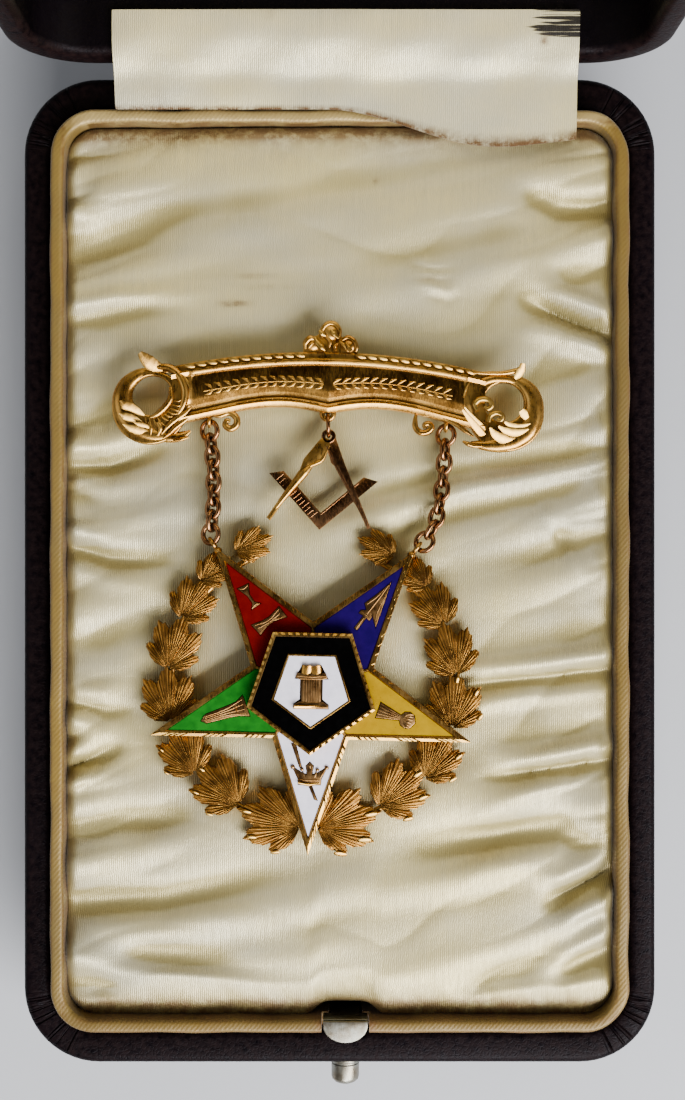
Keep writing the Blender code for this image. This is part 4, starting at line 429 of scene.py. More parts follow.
class Shaping:
    """Edit mode on one piece, with parts of it selected by their place."""

    def __init__(self, obj, kind="FACE"):
        self.obj = obj
        self.kind = kind

    def __enter__(self):
        select_only(self.obj)
        bpy.ops.object.mode_set(mode="EDIT")
        bpy.ops.mesh.select_mode(type=self.kind)
        bpy.ops.mesh.select_all(action="DESELECT")
        return self

    def __exit__(self, *problem):
        bpy.ops.object.mode_set(mode="OBJECT")

    def pick(self, kind, test):
        """Select just the vertices, edges or faces that pass a test."""
        bpy.ops.mesh.select_mode(type=kind)
        bpy.ops.mesh.select_all(action="DESELECT")
        bm = bmesh.from_edit_mesh(self.obj.data)
        for part in {"VERT": bm.verts, "EDGE": bm.edges, "FACE": bm.faces}[kind]:
            if test(part):
                part.select_set(True)
        bmesh.update_edit_mesh(self.obj.data)


def settle(obj):
    """Apply the piece's place, so that the object sits at the origin, unturned and unscaled."""
    select_only(obj)
    bpy.ops.object.transform_apply(location=True, rotation=True, scale=True)
    return obj


def rename(obj, name):
    """Give the object and its mesh the piece's name."""
    obj.name = name
    obj.data.name = name
    return obj


def block(name, low, high):
    """A cube primitive stretched between two corners (mm), as the start of a piece."""
    deselect()
    low, high = Vector(low) * MM, Vector(high) * MM
    bpy.ops.mesh.primitive_cube_add(size=1.0, location=(low + high) / 2)
    obj = rename(bpy.context.object, name)
    obj.scale = high - low
    return settle(obj)


def flat_grid(name, columns, rows):
    """A flat grid primitive from -1 to 1."""
    deselect()
    bpy.ops.mesh.primitive_grid_add(x_subdivisions=columns, y_subdivisions=rows, size=2.0)
    return rename(bpy.context.object, name)


def grid(name, columns, rows, place):
    """A grid primitive whose vertices are placed by place(u, v) in mm, with u and v from -1 to 1."""
    obj = flat_grid(name, columns, rows)
    for vert in obj.data.vertices:
        vert.co = Vector(place(vert.co.x, vert.co.y)) * MM
    return obj


def apply_modifier(obj, kind, **settings):
    """Put a modifier on a piece and apply it at once."""
    select_only(obj)
    modifier = obj.modifiers.new("work", kind)
    for key, value in settings.items():
        setattr(modifier, key, value)
    bpy.ops.object.modifier_apply(modifier=modifier.name)
    return obj


def cut_away(obj, *cutters):
    """Cut a piece by others, which are used up."""
    for cutter in cutters:
        apply_modifier(obj, "BOOLEAN", operation="DIFFERENCE", solver="EXACT", object=cutter)
        bpy.data.objects.remove(cutter)
    return obj


def join(name, pieces):
    """Join several pieces into one."""
    deselect()
    for piece in pieces:
        piece.select_set(True)
    bpy.context.view_layer.objects.active = pieces[0]
    bpy.ops.object.join()
    return rename(bpy.context.object, name)


def tidy_mesh(obj, smooth_deg=35.0):
    """Merge doubles, turn the faces outwards and shade smooth up to an angle."""
    with Shaping(obj):
        bpy.ops.mesh.select_all(action="SELECT")
        bpy.ops.mesh.remove_doubles(threshold=1e-6)
        bpy.ops.mesh.normals_make_consistent(inside=False)
    select_only(obj)
    bpy.ops.object.shade_smooth_by_angle(angle=math.radians(smooth_deg))
    return obj


def dress(obj, material, body="base", nodes=()):
    """Give a finished piece its material, body, slot and the CAD nodes that it stands for."""
    obj.data.materials.clear()
    obj.data.materials.append(material)
    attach(obj, body)
    if nodes:
        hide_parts(*nodes)
    return obj


def repaint(node, material):
    """Give a CAD node a better material."""
    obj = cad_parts[node]
    if not obj.material_slots:
        obj.data.materials.append(material)
    for place in obj.material_slots:
        place.material = material


class Recipe:
    """A Principled material in the making."""

    def __init__(self, name, colour, roughness, metallic=0.0):
        self.material = bpy.data.materials.new(name)
        self.material.use_nodes = True
        self.tree = self.material.node_tree
        self.shader = self.tree.nodes["Principled BSDF"]
        self.set(**{"Base Color": (*colour, 1.0), "Roughness": roughness, "Metallic": metallic})
        self.height = None

    def set(self, **values):
        """Set constants on the shader's own sockets."""
        for name, value in values.items():
            self.shader.inputs[name].default_value = value

    def node(self, kind, inputs=(), **settings):
        """Add a node; inputs are values or sockets by the input's name or number."""
        node = self.tree.nodes.new(kind)
        for key, value in settings.items():
            setattr(node, key, value)
        for key, value in dict(inputs).items():
            if isinstance(value, bpy.types.NodeSocket):
                self.tree.links.new(value, node.inputs[key])
            else:
                node.inputs[key].default_value = value
        return node

    def place(self, scale=EVEN, turn=UNTURNED):
        """Object coordinates, stretched or turned."""
        coordinates = self.node("ShaderNodeTexCoord").outputs["Object"]
        inputs = {"Vector": coordinates, "Scale": scale, "Rotation": turn}
        return self.node("ShaderNodeMapping", inputs).outputs[0]

    def attribute(self, name):
        """A number painted on the piece's vertices."""
        return self.node("ShaderNodeAttribute", attribute_name=name).outputs["Fac"]

    def noise(self, size, detail=3.0, rough=0.55, scale=EVEN, turn=UNTURNED):
        """Noise with features of about the given size in metres."""
        inputs = {"Vector": self.place(scale, turn), "Scale": 1.0 / size, "Detail": detail,
                  "Roughness": rough}
        return self.node("ShaderNodeTexNoise", inputs).outputs["Fac"]

    def ribs(self, pitch, distortion, detail, turn=UNTURNED):
        """Parallel ribs at the given pitch."""
        inputs = {"Vector": self.place(turn=turn), "Scale": math.pi / 10.0 / pitch, "Distortion": distortion,
                  "Detail": detail, "Detail Scale": 1.5}
        return self.node("ShaderNodeTexWave", inputs, wave_type="BANDS", bands_direction="X").outputs["Fac"]

    def cells(self, size):
        """Distance to the nearest edge between cells of about the given size."""
        inputs = {"Vector": self.place(), "Scale": 1.0 / size}
        return self.node("ShaderNodeTexVoronoi", inputs, feature="DISTANCE_TO_EDGE").outputs["Distance"]

    def span(self, value, low, high, to_low=0.0, to_high=1.0):
        """Map a range of a value to another, held at its ends."""
        return self.node("ShaderNodeMapRange", {0: value, 1: low, 2: high, 3: to_low, 4: to_high}).outputs[0]

    def sum(self, a, b, operation="ADD"):
        """Arithmetic on two values."""
        return self.node("ShaderNodeMath", {0: a, 1: b}, operation=operation).outputs[0]

    def blend(self, share, a, b):
        """Blend two colours, each three numbers or a socket."""
        first, second = [(*colour, 1.0) if isinstance(colour, tuple) else colour for colour in (a, b)]
        return self.node("ShaderNodeMix", {0: share, 6: first, 7: second}, data_type="RGBA").outputs[2]

    def hollows(self, reach):
        """How open a place is, from 0 deep in a hollow to 1."""
        return self.node("ShaderNodeAmbientOcclusion", {"Distance": reach}, samples=4).outputs["AO"]

    def colour(self, socket):
        """Link a socket to the shader's colour."""
        self.tree.links.new(socket, self.shader.inputs["Base Color"])

    def roughness(self, socket):
        """Link a socket to the shader's roughness."""
        self.tree.links.new(socket, self.shader.inputs["Roughness"])

    def bump(self, height, depth, strength=1.0):
        """Add a bump of the given depth in metres on top of what there is."""
        inputs = {"Height": height, "Distance": depth, "Strength": strength}
        if self.height is not None:
            inputs["Normal"] = self.height
        self.height = self.node("ShaderNodeBump", inputs).outputs[0]
        self.tree.links.new(self.height, self.shader.inputs["Normal"])


# Satins: the setting with their colour, its shares of red, green and blue, and what differs in the cloth
SATINS = {
    "cream_satin": ("cream", EVEN, {}),
    "ribbon_satin": ("cream", (1.18, 1.22, 1.4), {"stain_share": 0.1}),
    "collar_satin": ("old_gold", EVEN, {"stain_share": 0.6, "rib_turn": 0.7, "coarse": 1.8, "gloss": 0.55}),
}

# Metals: colour, roughness, and what differs in their dirt, hollows, patches, scratches and unevenness
METALS = {
    "nickel": ((0.27, 0.265, 0.225), 0.36, {"dirt": (0.06, 0.045, 0.035), "reach": 0.001, "patch": 0.0014,
                                            "scratch": 0.5}),
    "brass": ((0.47, 0.33, 0.14), 0.34, {"dirt": (0.05, 0.035, 0.015), "reach": 0.0008}),
    "gold": ((0.58, 0.318, 0.07), 0.25, {"uneven": 0.6}),
    "polished": ((0.5, 0.3, 0.07), 0.28, {"reach": 0.0002, "scratch": 0.1, "uneven": 0.3}),
    "rim_gold": ((0.47, 0.26, 0.065), 0.24, {"reach": 0.0004, "scratch": 0.12, "uneven": 0.25}),
    "panel": ((0.38, 0.19, 0.038), 0.2, {"reach": 0.0003, "scratch": 0.12, "uneven": 0.3}),
    "dull_gold": ((0.27, 0.15, 0.055), 0.3, {"reach": 0.0004, "patch": 0.0009, "scratch": 0.7}),
    "rose_gold": ((0.3, 0.145, 0.06), 0.2, {"dirt": (0.012, 0.006, 0.004), "reach": 0.0012}),
}

# Enamels: their colour and the shade that they cloud to
ENAMELS = {
    "enamel_red": ((0.115, 0.002, 0.001), (0.085, 0.001, 0.001)),
    "enamel_blue": ((0.01, 0.0002, 0.072), (0.006, 0.0001, 0.052)),
    "enamel_yellow": ((0.37, 0.225, 0.0), (0.3, 0.175, 0.0)),
    "enamel_white": ((0.8, 0.78, 0.9), (0.7, 0.68, 0.8)),
    "enamel_green": ((0.01, 0.15, 0.012), (0.006, 0.1, 0.008)),
    "enamel_black": ((0.0008, 0.0007, 0.0008), (0.0005, 0.0005, 0.0005)),
}

MADE = {}


def finish(name):
    """The finish of that name, mixed the first time it is asked for."""
    if name not in MADE:
        if name in SATINS:
            setting, shares, special = SATINS[name]
            tint = tinted(getattr(bpy.context.scene.star_jewel_satin, setting), shares)
            MADE[name] = mix_satin(name, tint, **special)
        elif name in METALS:
            colour, roughness, special = METALS[name]
            MADE[name] = mix_metal(name, colour, roughness, **special)
        elif name in ENAMELS:
            MADE[name] = mix_enamel(name, *ENAMELS[name])
        else:
            MADE[name] = {"leather": mix_leather, "leaf_gold": mix_leaf_gold}[name](name)
    return MADE[name]


def tinted(colour, shares):
    """A colour with each of its parts taken to a share, one for all or one for each."""
    if not isinstance(shares, tuple):
        shares = (shares,) * 3
    return tuple(part * share for part, share in zip(colour, shares))


def mix_leather(name):
    """Dark grained leather with warmer edges: worn, and along the rims a painted highlight."""
    case = bpy.context.scene.star_jewel_case
    base = tuple(case.leather)
    recipe = Recipe(name, base, 0.42)
    patches = recipe.noise(0.009, 5.0)
    fine = recipe.noise(0.0007, 4.0)
    worn = recipe.blend(recipe.span(patches, 0.4, 0.68), base, tuple(c * 1.8 + 0.0004 for c in base))
    # lighter and warmer where worn, and along the rims this is also a painted highlight
    edge = recipe.span(recipe.attribute("wear"), 0.0, 1.0)
    rub = recipe.sum(edge, recipe.span(fine, 0.3, 0.66), "MULTIPLY")
    recipe.colour(recipe.blend(rub, worn, (0.012, 0.006, 0.006)))
    recipe.roughness(recipe.span(fine, 0.3, 0.7, 0.34, 0.56))
    recipe.set(**{"Specular IOR Level": 0.055, "Specular Tint": (0.92, 0.9, 1.0, 1.0)})
    recipe.bump(recipe.span(recipe.cells(case.grain), 0.0, 0.22), 0.00004, 0.35)
    recipe.bump(recipe.noise(0.0022, 4.0), 0.00022, 0.3)
    recipe.bump(pleats(recipe), 0.00045, 0.8)
    return recipe.material


def pleats(recipe):
    """Creases where the cover is drawn round the base's corners, fanned out from each corner's centre."""
    around = recipe.node("ShaderNodeVectorMath", {0: recipe.place()}, operation="ABSOLUTE").outputs[0]
    centre = (Vector((HALF_WIDTH, HALF_LENGTH, 0.0)) - Vector((CORNER, CORNER, 0.0))) * MM
    from_centre = recipe.node("ShaderNodeVectorMath", {0: around, 1: centre}, operation="SUBTRACT").outputs[0]
    x, y, z = recipe.node("ShaderNodeSeparateXYZ", {0: from_centre}).outputs
    turn = recipe.sum(y, x, "ARCTAN2")
    fan = recipe.node("ShaderNodeCombineXYZ", {0: recipe.sum(turn, 9.0, "MULTIPLY"),
                                               1: recipe.sum(z, 140.0, "MULTIPLY"),
                                               2: recipe.sum(x, 110.0, "MULTIPLY")}).outputs[0]
    swell = recipe.node("ShaderNodeTexNoise", {"Vector": fan, "Scale": 0.8, "Detail": 2.0}).outputs["Fac"]
    dent = recipe.sum(recipe.sum(swell, 0.5, "SUBTRACT"), 0.0, "ABSOLUTE")
    crease = recipe.span(dent, 0.0, 0.07, -1.0, 0.0)
    corner = recipe.span(recipe.sum(x, y, "MINIMUM"), 0.0, 0.0025)
    below_rim = recipe.span(z, (RIM + 0.1) * MM, (RIM + 0.2) * MM, 1.0, 0.0)
    return recipe.sum(crease, recipe.sum(corner, below_rim, "MULTIPLY"), "MULTIPLY")


def mix_satin(name, tint, stain_share=0.35, rib_turn=0.0, coarse=1.0, gloss=1.0):
    """Fine-ribbed satin with faded and stained patches, and painted shade where it lies low."""
    satin = bpy.context.scene.star_jewel_satin
    pitch = satin.rib_pitch * coarse
    turn = (0.0, 0.0, rib_turn)
    recipe = Recipe(name, tint, 0.5)
    patches = recipe.noise(0.016, 5.0, scale=(0.8, 1.4, 1.0))
    grey = tinted(tint, (0.8, 0.82, 0.92))
    warm = tinted(tint, (1.1, 1.04, 0.8))
    cloth = recipe.blend(recipe.span(patches, 0.36, 0.64), grey, warm)
    ribs = recipe.ribs(pitch, 3.0 / coarse, 3.0, turn)
    streaks = recipe.noise(0.0011, 4.0, 0.7, scale=(3.0, 0.16, 1.0), turn=turn)
    cloth = recipe.blend(recipe.span(streaks, 0.3, 0.74, 0.0, 0.42), cloth, tinted(tint, 0.62))
    cloth = recipe.blend(recipe.span(ribs, 0.0, 1.0, 0.14, 0.0), cloth, tinted(tint, 0.45))
    spots = recipe.span(recipe.noise(0.0045, 5.0, 0.7), 0.7, 0.8, 0.0, stain_share)
    cloth = recipe.blend(spots, cloth, tuple(satin.foxing))
    cloth = recipe.blend(recipe.attribute("pale"), cloth, tinted(tint, (1.9, 2.1, 3.4)))
    # painted shade where it lies low between the folds, and along the cushion's edges painted shade with some
    # soil
    low = recipe.span(recipe.hollows(0.003), 0.45, 0.97, 0.6, 0.0)
    shade_and_soil_mix = recipe.sum(low, recipe.attribute("valley"), "MAXIMUM")
    cloth = recipe.blend(shade_and_soil_mix, cloth, tinted(tint, (0.46, 0.41, 0.21)))
    # where the satin has split, the dark behind it shows between the threads
    threads = recipe.noise(0.0014, 3.0, 0.6, scale=(0.12, 4.0, 1.0))
    split = recipe.sum(recipe.attribute("split"), threads, "MULTIPLY")
    cloth = recipe.blend(recipe.span(split, 0.4, 0.46), cloth, (0.01, 0.007, 0.006))
    blotches = recipe.span(recipe.noise(0.0016, 5.0, 0.7), 0.3, 0.56)
    foxed = recipe.sum(recipe.attribute("foxing"), blotches, "MULTIPLY")
    recipe.colour(recipe.blend(foxed, cloth, tuple(satin.foxing)))
    recipe.roughness(recipe.span(streaks, 0.2, 0.8, 0.36, 0.55))
    recipe.set(**{"Sheen Weight": 0.15, "Sheen Roughness": 0.4, "Specular IOR Level": 0.8 * gloss,
                  "Metallic": 0.4 * gloss})
    recipe.bump(ribs, pitch * 0.35, 0.34 / coarse ** 2)
    recipe.bump(streaks, 0.0001, 0.4)
    return recipe.material


def mix_metal(name, colour, roughness, dirt=(0.05, 0.02, 0.008), reach=0.0006, patch=0.0025, scratch=0.25,
              uneven=1.0):
    """Metal with fine scratches, cloudy patches and tarnish in its hollows."""
    recipe = Recipe(name, colour, roughness, 1.0)
    cloud = recipe.noise(patch, 4.0)
    deep = tinted(colour, (0.78, 0.68, 0.6))
    metal = recipe.blend(recipe.span(cloud, 0.36, 0.66), deep, tinted(colour, (1.08, 1.12, 1.18)))
    hollow = recipe.span(recipe.hollows(reach), 0.25, 0.8, 0.88, 0.0)
    recipe.colour(recipe.blend(hollow, metal, dirt))
    fine = recipe.noise(0.00016, 3.0, scale=(1.0, 0.22, 1.0), turn=(0.0, 0.0, 0.6))
    worn = recipe.sum(recipe.span(fine, 0.25, 0.75, -0.05, 0.09),
                      recipe.span(cloud, 0.3, 0.7, roughness - 0.04, roughness + 0.08))
    recipe.roughness(recipe.sum(worn, recipe.sum(hollow, 0.25, "MULTIPLY")))
    recipe.bump(fine, 0.000012, scratch)
    recipe.bump(recipe.noise(0.0009, 3.0), 0.00004, 0.35 * uneven)
    return recipe.material


def mix_leaf_gold(name):
    """Matte, finely ribbed gold of the wreath, with painted shade along its ribs."""
    recipe = Recipe(name, (0.46, 0.23, 0.055), 0.28, 1.0)
    cloud = recipe.span(recipe.noise(0.0012, 5.0), 0.36, 0.66)
    metal = recipe.blend(cloud, (0.4, 0.186, 0.036), (0.73, 0.38, 0.078))
    hollow = recipe.span(recipe.hollows(0.0004), 0.3, 0.8, 0.85, 0.0)
    ribs = recipe.ribs(0.0002, 2.0, 2.0)
    fine = recipe.sum(recipe.attribute("rib"), 150.0, "MULTIPLY")
    wave = recipe.sum(recipe.sum(fine, recipe.sum(ribs, 0.6, "MULTIPLY"), "ADD"), 0.0, "SINE")
    # painted shade between the fine ribs
    metal = recipe.blend(recipe.span(wave, -1.0, 1.0, 0.3, 0.0), metal, (0.16, 0.075, 0.02))
    # painted shade in the grooves between the coarse ribs
    groove = recipe.span(recipe.attribute("groove"), 0.45, 0.95, 0.0, 0.75)
    metal = recipe.blend(groove, metal, (0.11, 0.045, 0.012))
    recipe.colour(recipe.blend(hollow, metal, (0.045, 0.02, 0.008)))
    recipe.roughness(recipe.span(cloud, 0.0, 1.0, 0.32, 0.46))
    recipe.bump(wave, 0.00005, 0.7)
    recipe.bump(recipe.noise(0.00022, 4.0), 0.00003, 0.25)
    return recipe.material


def mix_enamel(name, colour, shade):
    """Glossy enamel, with depth, painted shade where it meets the metal, slight orange peel and a few pits.
    """
    recipe = Recipe(name, colour, 0.1)
    cloud = recipe.span(recipe.noise(0.0011, 4.0), 0.35, 0.68)
    pits = recipe.span(recipe.noise(0.00022, 2.0), 0.66, 0.74, 0.0, 0.5)
    body = recipe.blend(cloud, colour, shade)
    # painted shade: darker in the hollows where it meets the raised metal
    edge = recipe.span(recipe.hollows(0.0003), 0.2, 0.8, 0.55, 0.0)
    body = recipe.blend(edge, body, tinted(shade, 0.35))
    recipe.colour(recipe.blend(pits, body, tinted(shade, 0.4)))
    recipe.roughness(recipe.span(recipe.noise(0.0006, 3.0), 0.3, 0.7, 0.1, 0.24))
    recipe.set(**{"Coat Weight": 0.06, "Coat Roughness": 0.05, "Coat IOR": 1.5, "Specular IOR Level": 0.16})
    recipe.bump(recipe.noise(0.0012, 3.0), 0.00005, 0.35)
    recipe.bump(recipe.noise(0.0002, 2.0), 0.00001, 0.4)
    return recipe.material


def shift(x, y, z=0.0):
    """Matrix that moves a shape (mm)."""
    return Matrix.Translation(Vector((x, y, z)) * MM)


def turned(angle, axis="Z"):
    """Matrix that turns a shape about an axis, by an angle in radians."""
    return Matrix.Rotation(angle, 4, axis)


def sized(size):
    """Matrix that gives a shape of radius one its size (mm)."""
    return Matrix.Diagonal((*[part * MM for part in size], 1.0))


def solid_from(curve, level, flatten, smooth_deg):
    """Turn a curve into a mesh at a height in metres, flattened by a share."""
    obj = bpy.data.objects.new(curve.name, curve)
    bpy.context.scene.collection.objects.link(obj)
    obj.location.z = level
    obj.scale.z = flatten
    select_only(obj)
    bpy.ops.object.convert(target="MESH")
    return tidy_mesh(settle(bpy.context.object), smooth_deg)


def plate(name, loops, low, high, edge=0.05, steps=1):
    """Flat outlines, filled, thickened between two levels and eased at their edges (mm)."""
    curve = bpy.data.curves.new(name, "CURVE")
    curve.dimensions = "2D"
    curve.fill_mode = "BOTH"
    curve.extrude = ((high - low) / 2 - edge) * MM
    curve.bevel_depth = edge * MM
    curve.bevel_resolution = steps
    curve.offset = -edge * MM
    for loop in loops:
        spline = curve.splines.new("POLY")
        spline.points.add(len(loop) - 1)
        for point, (x, y) in zip(spline.points, loop):
            point.co = (x * MM, y * MM, 0.0, 1.0)
        spline.use_cyclic_u = True
    return solid_from(curve, (low + high) / 2 * MM, 1.0, 40.0)


def curved(points, steps=7):
    """Round off a line of points: a smooth curve that passes through all of them."""
    path = np.array([tuple(point) + (0.0,) * (3 - len(point)) for point in points])
    ends = np.vstack([2 * path[0] - path[1], path, 2 * path[-1] - path[-2]])
    result = []
    for a, b, c, d in zip(ends, ends[1:], ends[2:], ends[3:]):
        for i in range(steps):
            t = i / steps
            result.append(0.5 * (2 * b + (c - a) * t + (2 * a - 5 * b + 4 * c - d) * t * t
                                 + (3 * b - a - 3 * c + d) * t ** 3))
    return result + [path[-1]]


def strokes(name, lines, flatten=1.0, sides=2):
    """Round strokes that swell and taper: each has its level, its radii along it, and its points (mm)."""
    curve = bpy.data.curves.new(name, "CURVE")
    curve.dimensions = "3D"
    curve.bevel_depth = MM
    curve.bevel_resolution = sides
    curve.use_fill_caps = True
    for level, radii, points in lines:
        path = curved(points)
        spline = curve.splines.new("POLY")
        spline.points.add(len(path) - 1)
        for index, (point, place) in enumerate(zip(spline.points, path)):
            share = index / (len(path) - 1) * (len(radii) - 1)
            point.co = (place[0] * MM, place[1] * MM, (place[2] + level / flatten) * MM, 1.0)
            point.radius = float(np.interp(share, range(len(radii)), radii))
    return solid_from(curve, 0.0, flatten, 60.0)


def rectangle(left, right, low, high):
    """Corners of a rectangle."""
    return [(left, low), (right, low), (right, high), (left, high)]


def loop_of_wire(name, radius, wire, matrix, half_length=None, half_width=None):
    """A closed wire loop from a torus, drawn out to an oval where asked, and set by a matrix (mm)."""
    deselect()
    bpy.ops.mesh.primitive_torus_add(major_segments=36, minor_segments=12, major_radius=radius * MM,
                                     minor_radius=wire * MM)
    obj = rename(bpy.context.object, name)
    if half_length:
        for vert in obj.data.vertices:
            middle = vert.co.xy.normalized()
            offset = vert.co - Vector((middle.x, middle.y, 0.0)) * radius * MM
            drawn = Vector((math.copysign(abs(middle.x) ** 0.9, middle.x) * half_length,
                            math.copysign(abs(middle.y) ** 0.9, middle.y) * half_width, 0.0)) * MM
            vert.co = drawn + offset
    obj.data.transform(matrix)
    select_only(obj)
    bpy.ops.object.shade_smooth()
    return obj


def bead(name, segments=10, rings=6):
    """A small round bead of radius one, the start of grains and dashes."""
    deselect()
    bpy.ops.mesh.primitive_uv_sphere_add(segments=segments, ring_count=rings, radius=1.0)
    obj = rename(bpy.context.object, name)
    bpy.ops.object.shade_smooth()
    return obj


def copies(name, first, matrices):
    """Copy a finished shape by matrices, each copy with its own mesh, and join the copies."""
    made = []
    for matrix in matrices:
        copy = first.copy()
        copy.data = first.data.copy()
        bpy.context.scene.collection.objects.link(copy)
        copy.data.transform(matrix)
        made.append(copy)
    bpy.data.objects.remove(first)
    return join(name, made)


def at(x, y, z, turn=0.0, size=EVEN):
    """Matrix that sizes a shape, turns it by degrees and sets it at a place (mm)."""
    return shift(x, y, z) @ turned(math.radians(turn)) @ sized(size)


def facet(x, y, z, turn, size):
    """Matrix for a flat shape that is turned, then leans towards the foot of the jewel (mm)."""
    return shift(x, y, z) @ turned(math.radians(24.0), "X") @ turned(math.radians(turn)) @ sized(size)


def into_frame(obj, centre, turn):
    """Carry a piece from its own flat frame to its place on the jewel."""
    obj.data.transform(shift(*centre) @ turned(math.radians(turn)))
    return obj


def lean(obj, degrees):
    """Shear a piece about its middle so that its top leans towards the foot of the jewel and the light."""
    middle = sum((vert.co for vert in obj.data.vertices), Vector()) / len(obj.data.vertices)
    shear = math.tan(math.radians(degrees))
    for vert in obj.data.vertices:
        vert.co.z += (vert.co.y - middle.y) * shear - 0.4 * (vert.co.x - middle.x) * shear
    return obj


def ring_points(centre, radius_x, radius_y, steps):
    """Points round an oval."""
    return [(centre[0] + radius_x * math.cos(2 * math.pi * i / steps),
             centre[1] + radius_y * math.sin(2 * math.pi * i / steps)) for i in range(steps)]


def inset_polygon(points, distance):
    """Move each edge of an anticlockwise outline inwards by the distance."""
    lines = []
    for (ax, ay), (bx, by) in zip(points, points[1:] + points[:1]):
        dx, dy = bx - ax, by - ay
        length = math.hypot(dx, dy)
        lines.append((ax - dy / length * distance, ay + dx / length * distance, dx, dy))
    moved = []
    for (px, py, pdx, pdy), (qx, qy, qdx, qdy) in zip(lines[-1:] + lines[:-1], lines):
        along = ((qx - px) * qdy - (qy - py) * qdx) / (pdx * qdy - pdy * qdx)
        moved.append((px + pdx * along, py + pdy * along))
    return moved


def rim_strip(name, outer, inner, low, floor, top, cut_at, columns=140, deep=0.078):
    """One straight rim between outer and inner lines, its outer edge bright-cut where cut_at(mm) says."""
    (ax, ay), (bx, by) = outer
    (cx, cy), (dx, dy) = inner
    length = math.hypot(bx - ax, by - ay)
    rows = [(0.0, low), (0.0, None), (None, top), (0.74, top), (0.9, top), (1.0, top - 0.08), (1.0, floor)]
    obj = flat_grid(name, columns, len(rows) - 1)
    for index, vert in enumerate(obj.data.vertices):
        share = (vert.co.x + 1.0) / 2.0
        across, height = rows[index // (columns + 1)]
        cut = cut_at(share * length)
        if height is None:
            height = top - 0.06 - deep * cut
        if across is None:
            across = 0.1 + 0.44 * cut
        x = (ax + (bx - ax) * share) * (1.0 - across) + (cx + (dx - cx) * share) * across
        y = (ay + (by - ay) * share) * (1.0 - across) + (cy + (dy - cy) * share) * across
        vert.co = (x * MM, y * MM, height * MM)
    marks = obj.data.attributes.new("cut", "INT", "FACE")
    for index in range(columns, 2 * columns):
        marks.data[index].value = int(cut_at((index % columns + 0.5) / columns * length) > 0.35)
    with Shaping(obj):
        bpy.ops.mesh.select_all(action="SELECT")
        bpy.ops.mesh.normals_make_consistent(inside=False)
    select_only(obj)
    bpy.ops.object.shade_smooth_by_angle(angle=math.radians(14.0))
    return obj


def polish_cuts(obj):
    """Give the faces that are marked as bright-cut the polished finish."""
    obj.data.materials.append(finish("polished"))
    for face, mark in zip(obj.data.polygons, obj.data.attributes["cut"].data):
        face.material_index = mark.value


def face_up(obj):
    """Turn an open relief's faces to point up."""
    total = sum(face.normal.z * face.area for face in obj.data.polygons)
    if total < 0:
        obj.data.flip_normals()
    return obj


def close_down(obj, level):
    """Draw an open relief's edge down to a flat back at a level (mm) and close it."""
    with Shaping(obj, "EDGE") as shape:
        shape.pick("EDGE", lambda e: e.is_boundary)
        bpy.ops.mesh.extrude_region_move(TRANSFORM_OT_translate={"value": (0.0, 0.0, -0.1 * MM)})
        bpy.ops.transform.resize(value=(1.0, 1.0, 0.0), center_override=(0.0, 0.0, level * MM))
        bpy.ops.mesh.edge_face_add()
        bpy.ops.mesh.select_all(action="SELECT")
        bpy.ops.mesh.normals_make_consistent(inside=False)
    return obj


def paint(obj, name, value):
    """Paint a number on every vertex, from its place in mm."""
    layer = obj.data.attributes.new(name, "FLOAT", "POINT")
    for vert, spot in zip(obj.data.vertices, layer.data):
        spot.value = value(vert.co / MM)


def upright(edge):
    """Say whether an edge stands upright."""
    a, b = edge.verts[0].co, edge.verts[1].co
    return abs(a.z - b.z) > 20 * (abs(a.x - b.x) + abs(a.y - b.y))


def by_wall(edge):
    """Say whether an edge borders an upright face."""
    return any(abs(face.normal.z) < 0.5 for face in edge.link_faces)


def tray(name, low, high, floor):
    """Open box with round corners: bevelled cube, inset, sunk to its floor and rounded at its edges (mm)."""
    case = bpy.context.scene.star_jewel_case
    obj = block(name, (-HALF_WIDTH, -HALF_LENGTH, low), (HALF_WIDTH, HALF_LENGTH, high))
    top = high * MM - 1e-6
    ends = (HALF_LENGTH - CORNER - 1.0) * MM

    def on_outline(vert):
        return any(upright(edge) for edge in vert.link_edges)

    def in_middle(face):
        middle = face.calc_center_median()
        return abs(middle.x) < 1e-4 and abs(middle.y) < 1e-3

    with Shaping(obj) as shape:
        shape.pick("EDGE", upright)
        bpy.ops.mesh.bevel(offset=CORNER * MM, segments=14, profile=0.5, affect="EDGES")
        shape.pick("FACE", lambda f: f.normal.z > 0.9)
        bpy.ops.mesh.inset(thickness=SIDE_WALL * MM)
        # the end walls are a little thicker than the side walls
        for side in (-1, 1):
            shape.pick("VERT", lambda v: v.co.z > top and v.co.y * side > ends and not on_outline(v))
            bpy.ops.transform.translate(value=(0.0, -side * (END_WALL - SIDE_WALL) * MM, 0.0))
        shape.pick("FACE", lambda f: f.normal.z > 0.9 and in_middle(f))
        bpy.ops.mesh.extrude_region_move(TRANSFORM_OT_translate={"value": (0.0, 0.0, (floor - high) * MM)})
        shape.pick("EDGE", lambda e: all(v.co.z > top for v in e.verts) and by_wall(e))
        bpy.ops.mesh.bevel(offset=case.rim_rounding, segments=4, profile=0.5, affect="EDGES")
        shape.pick("EDGE", lambda e: all(v.co.z < low * MM + 1e-6 for v in e.verts) and by_wall(e))
        bpy.ops.mesh.bevel(offset=case.foot_rounding, segments=4, profile=0.5, affect="EDGES")
    return tidy_mesh(obj, 40.0)


def rod(sides, radius, length, location, turn):
    """A cylinder primitive, for cutting a round hole (mm, its middle in metres)."""
    deselect()
    bpy.ops.mesh.primitive_cylinder_add(vertices=sides, radius=radius * MM, depth=length * MM,
                                        location=location, rotation=turn)
    return bpy.context.object


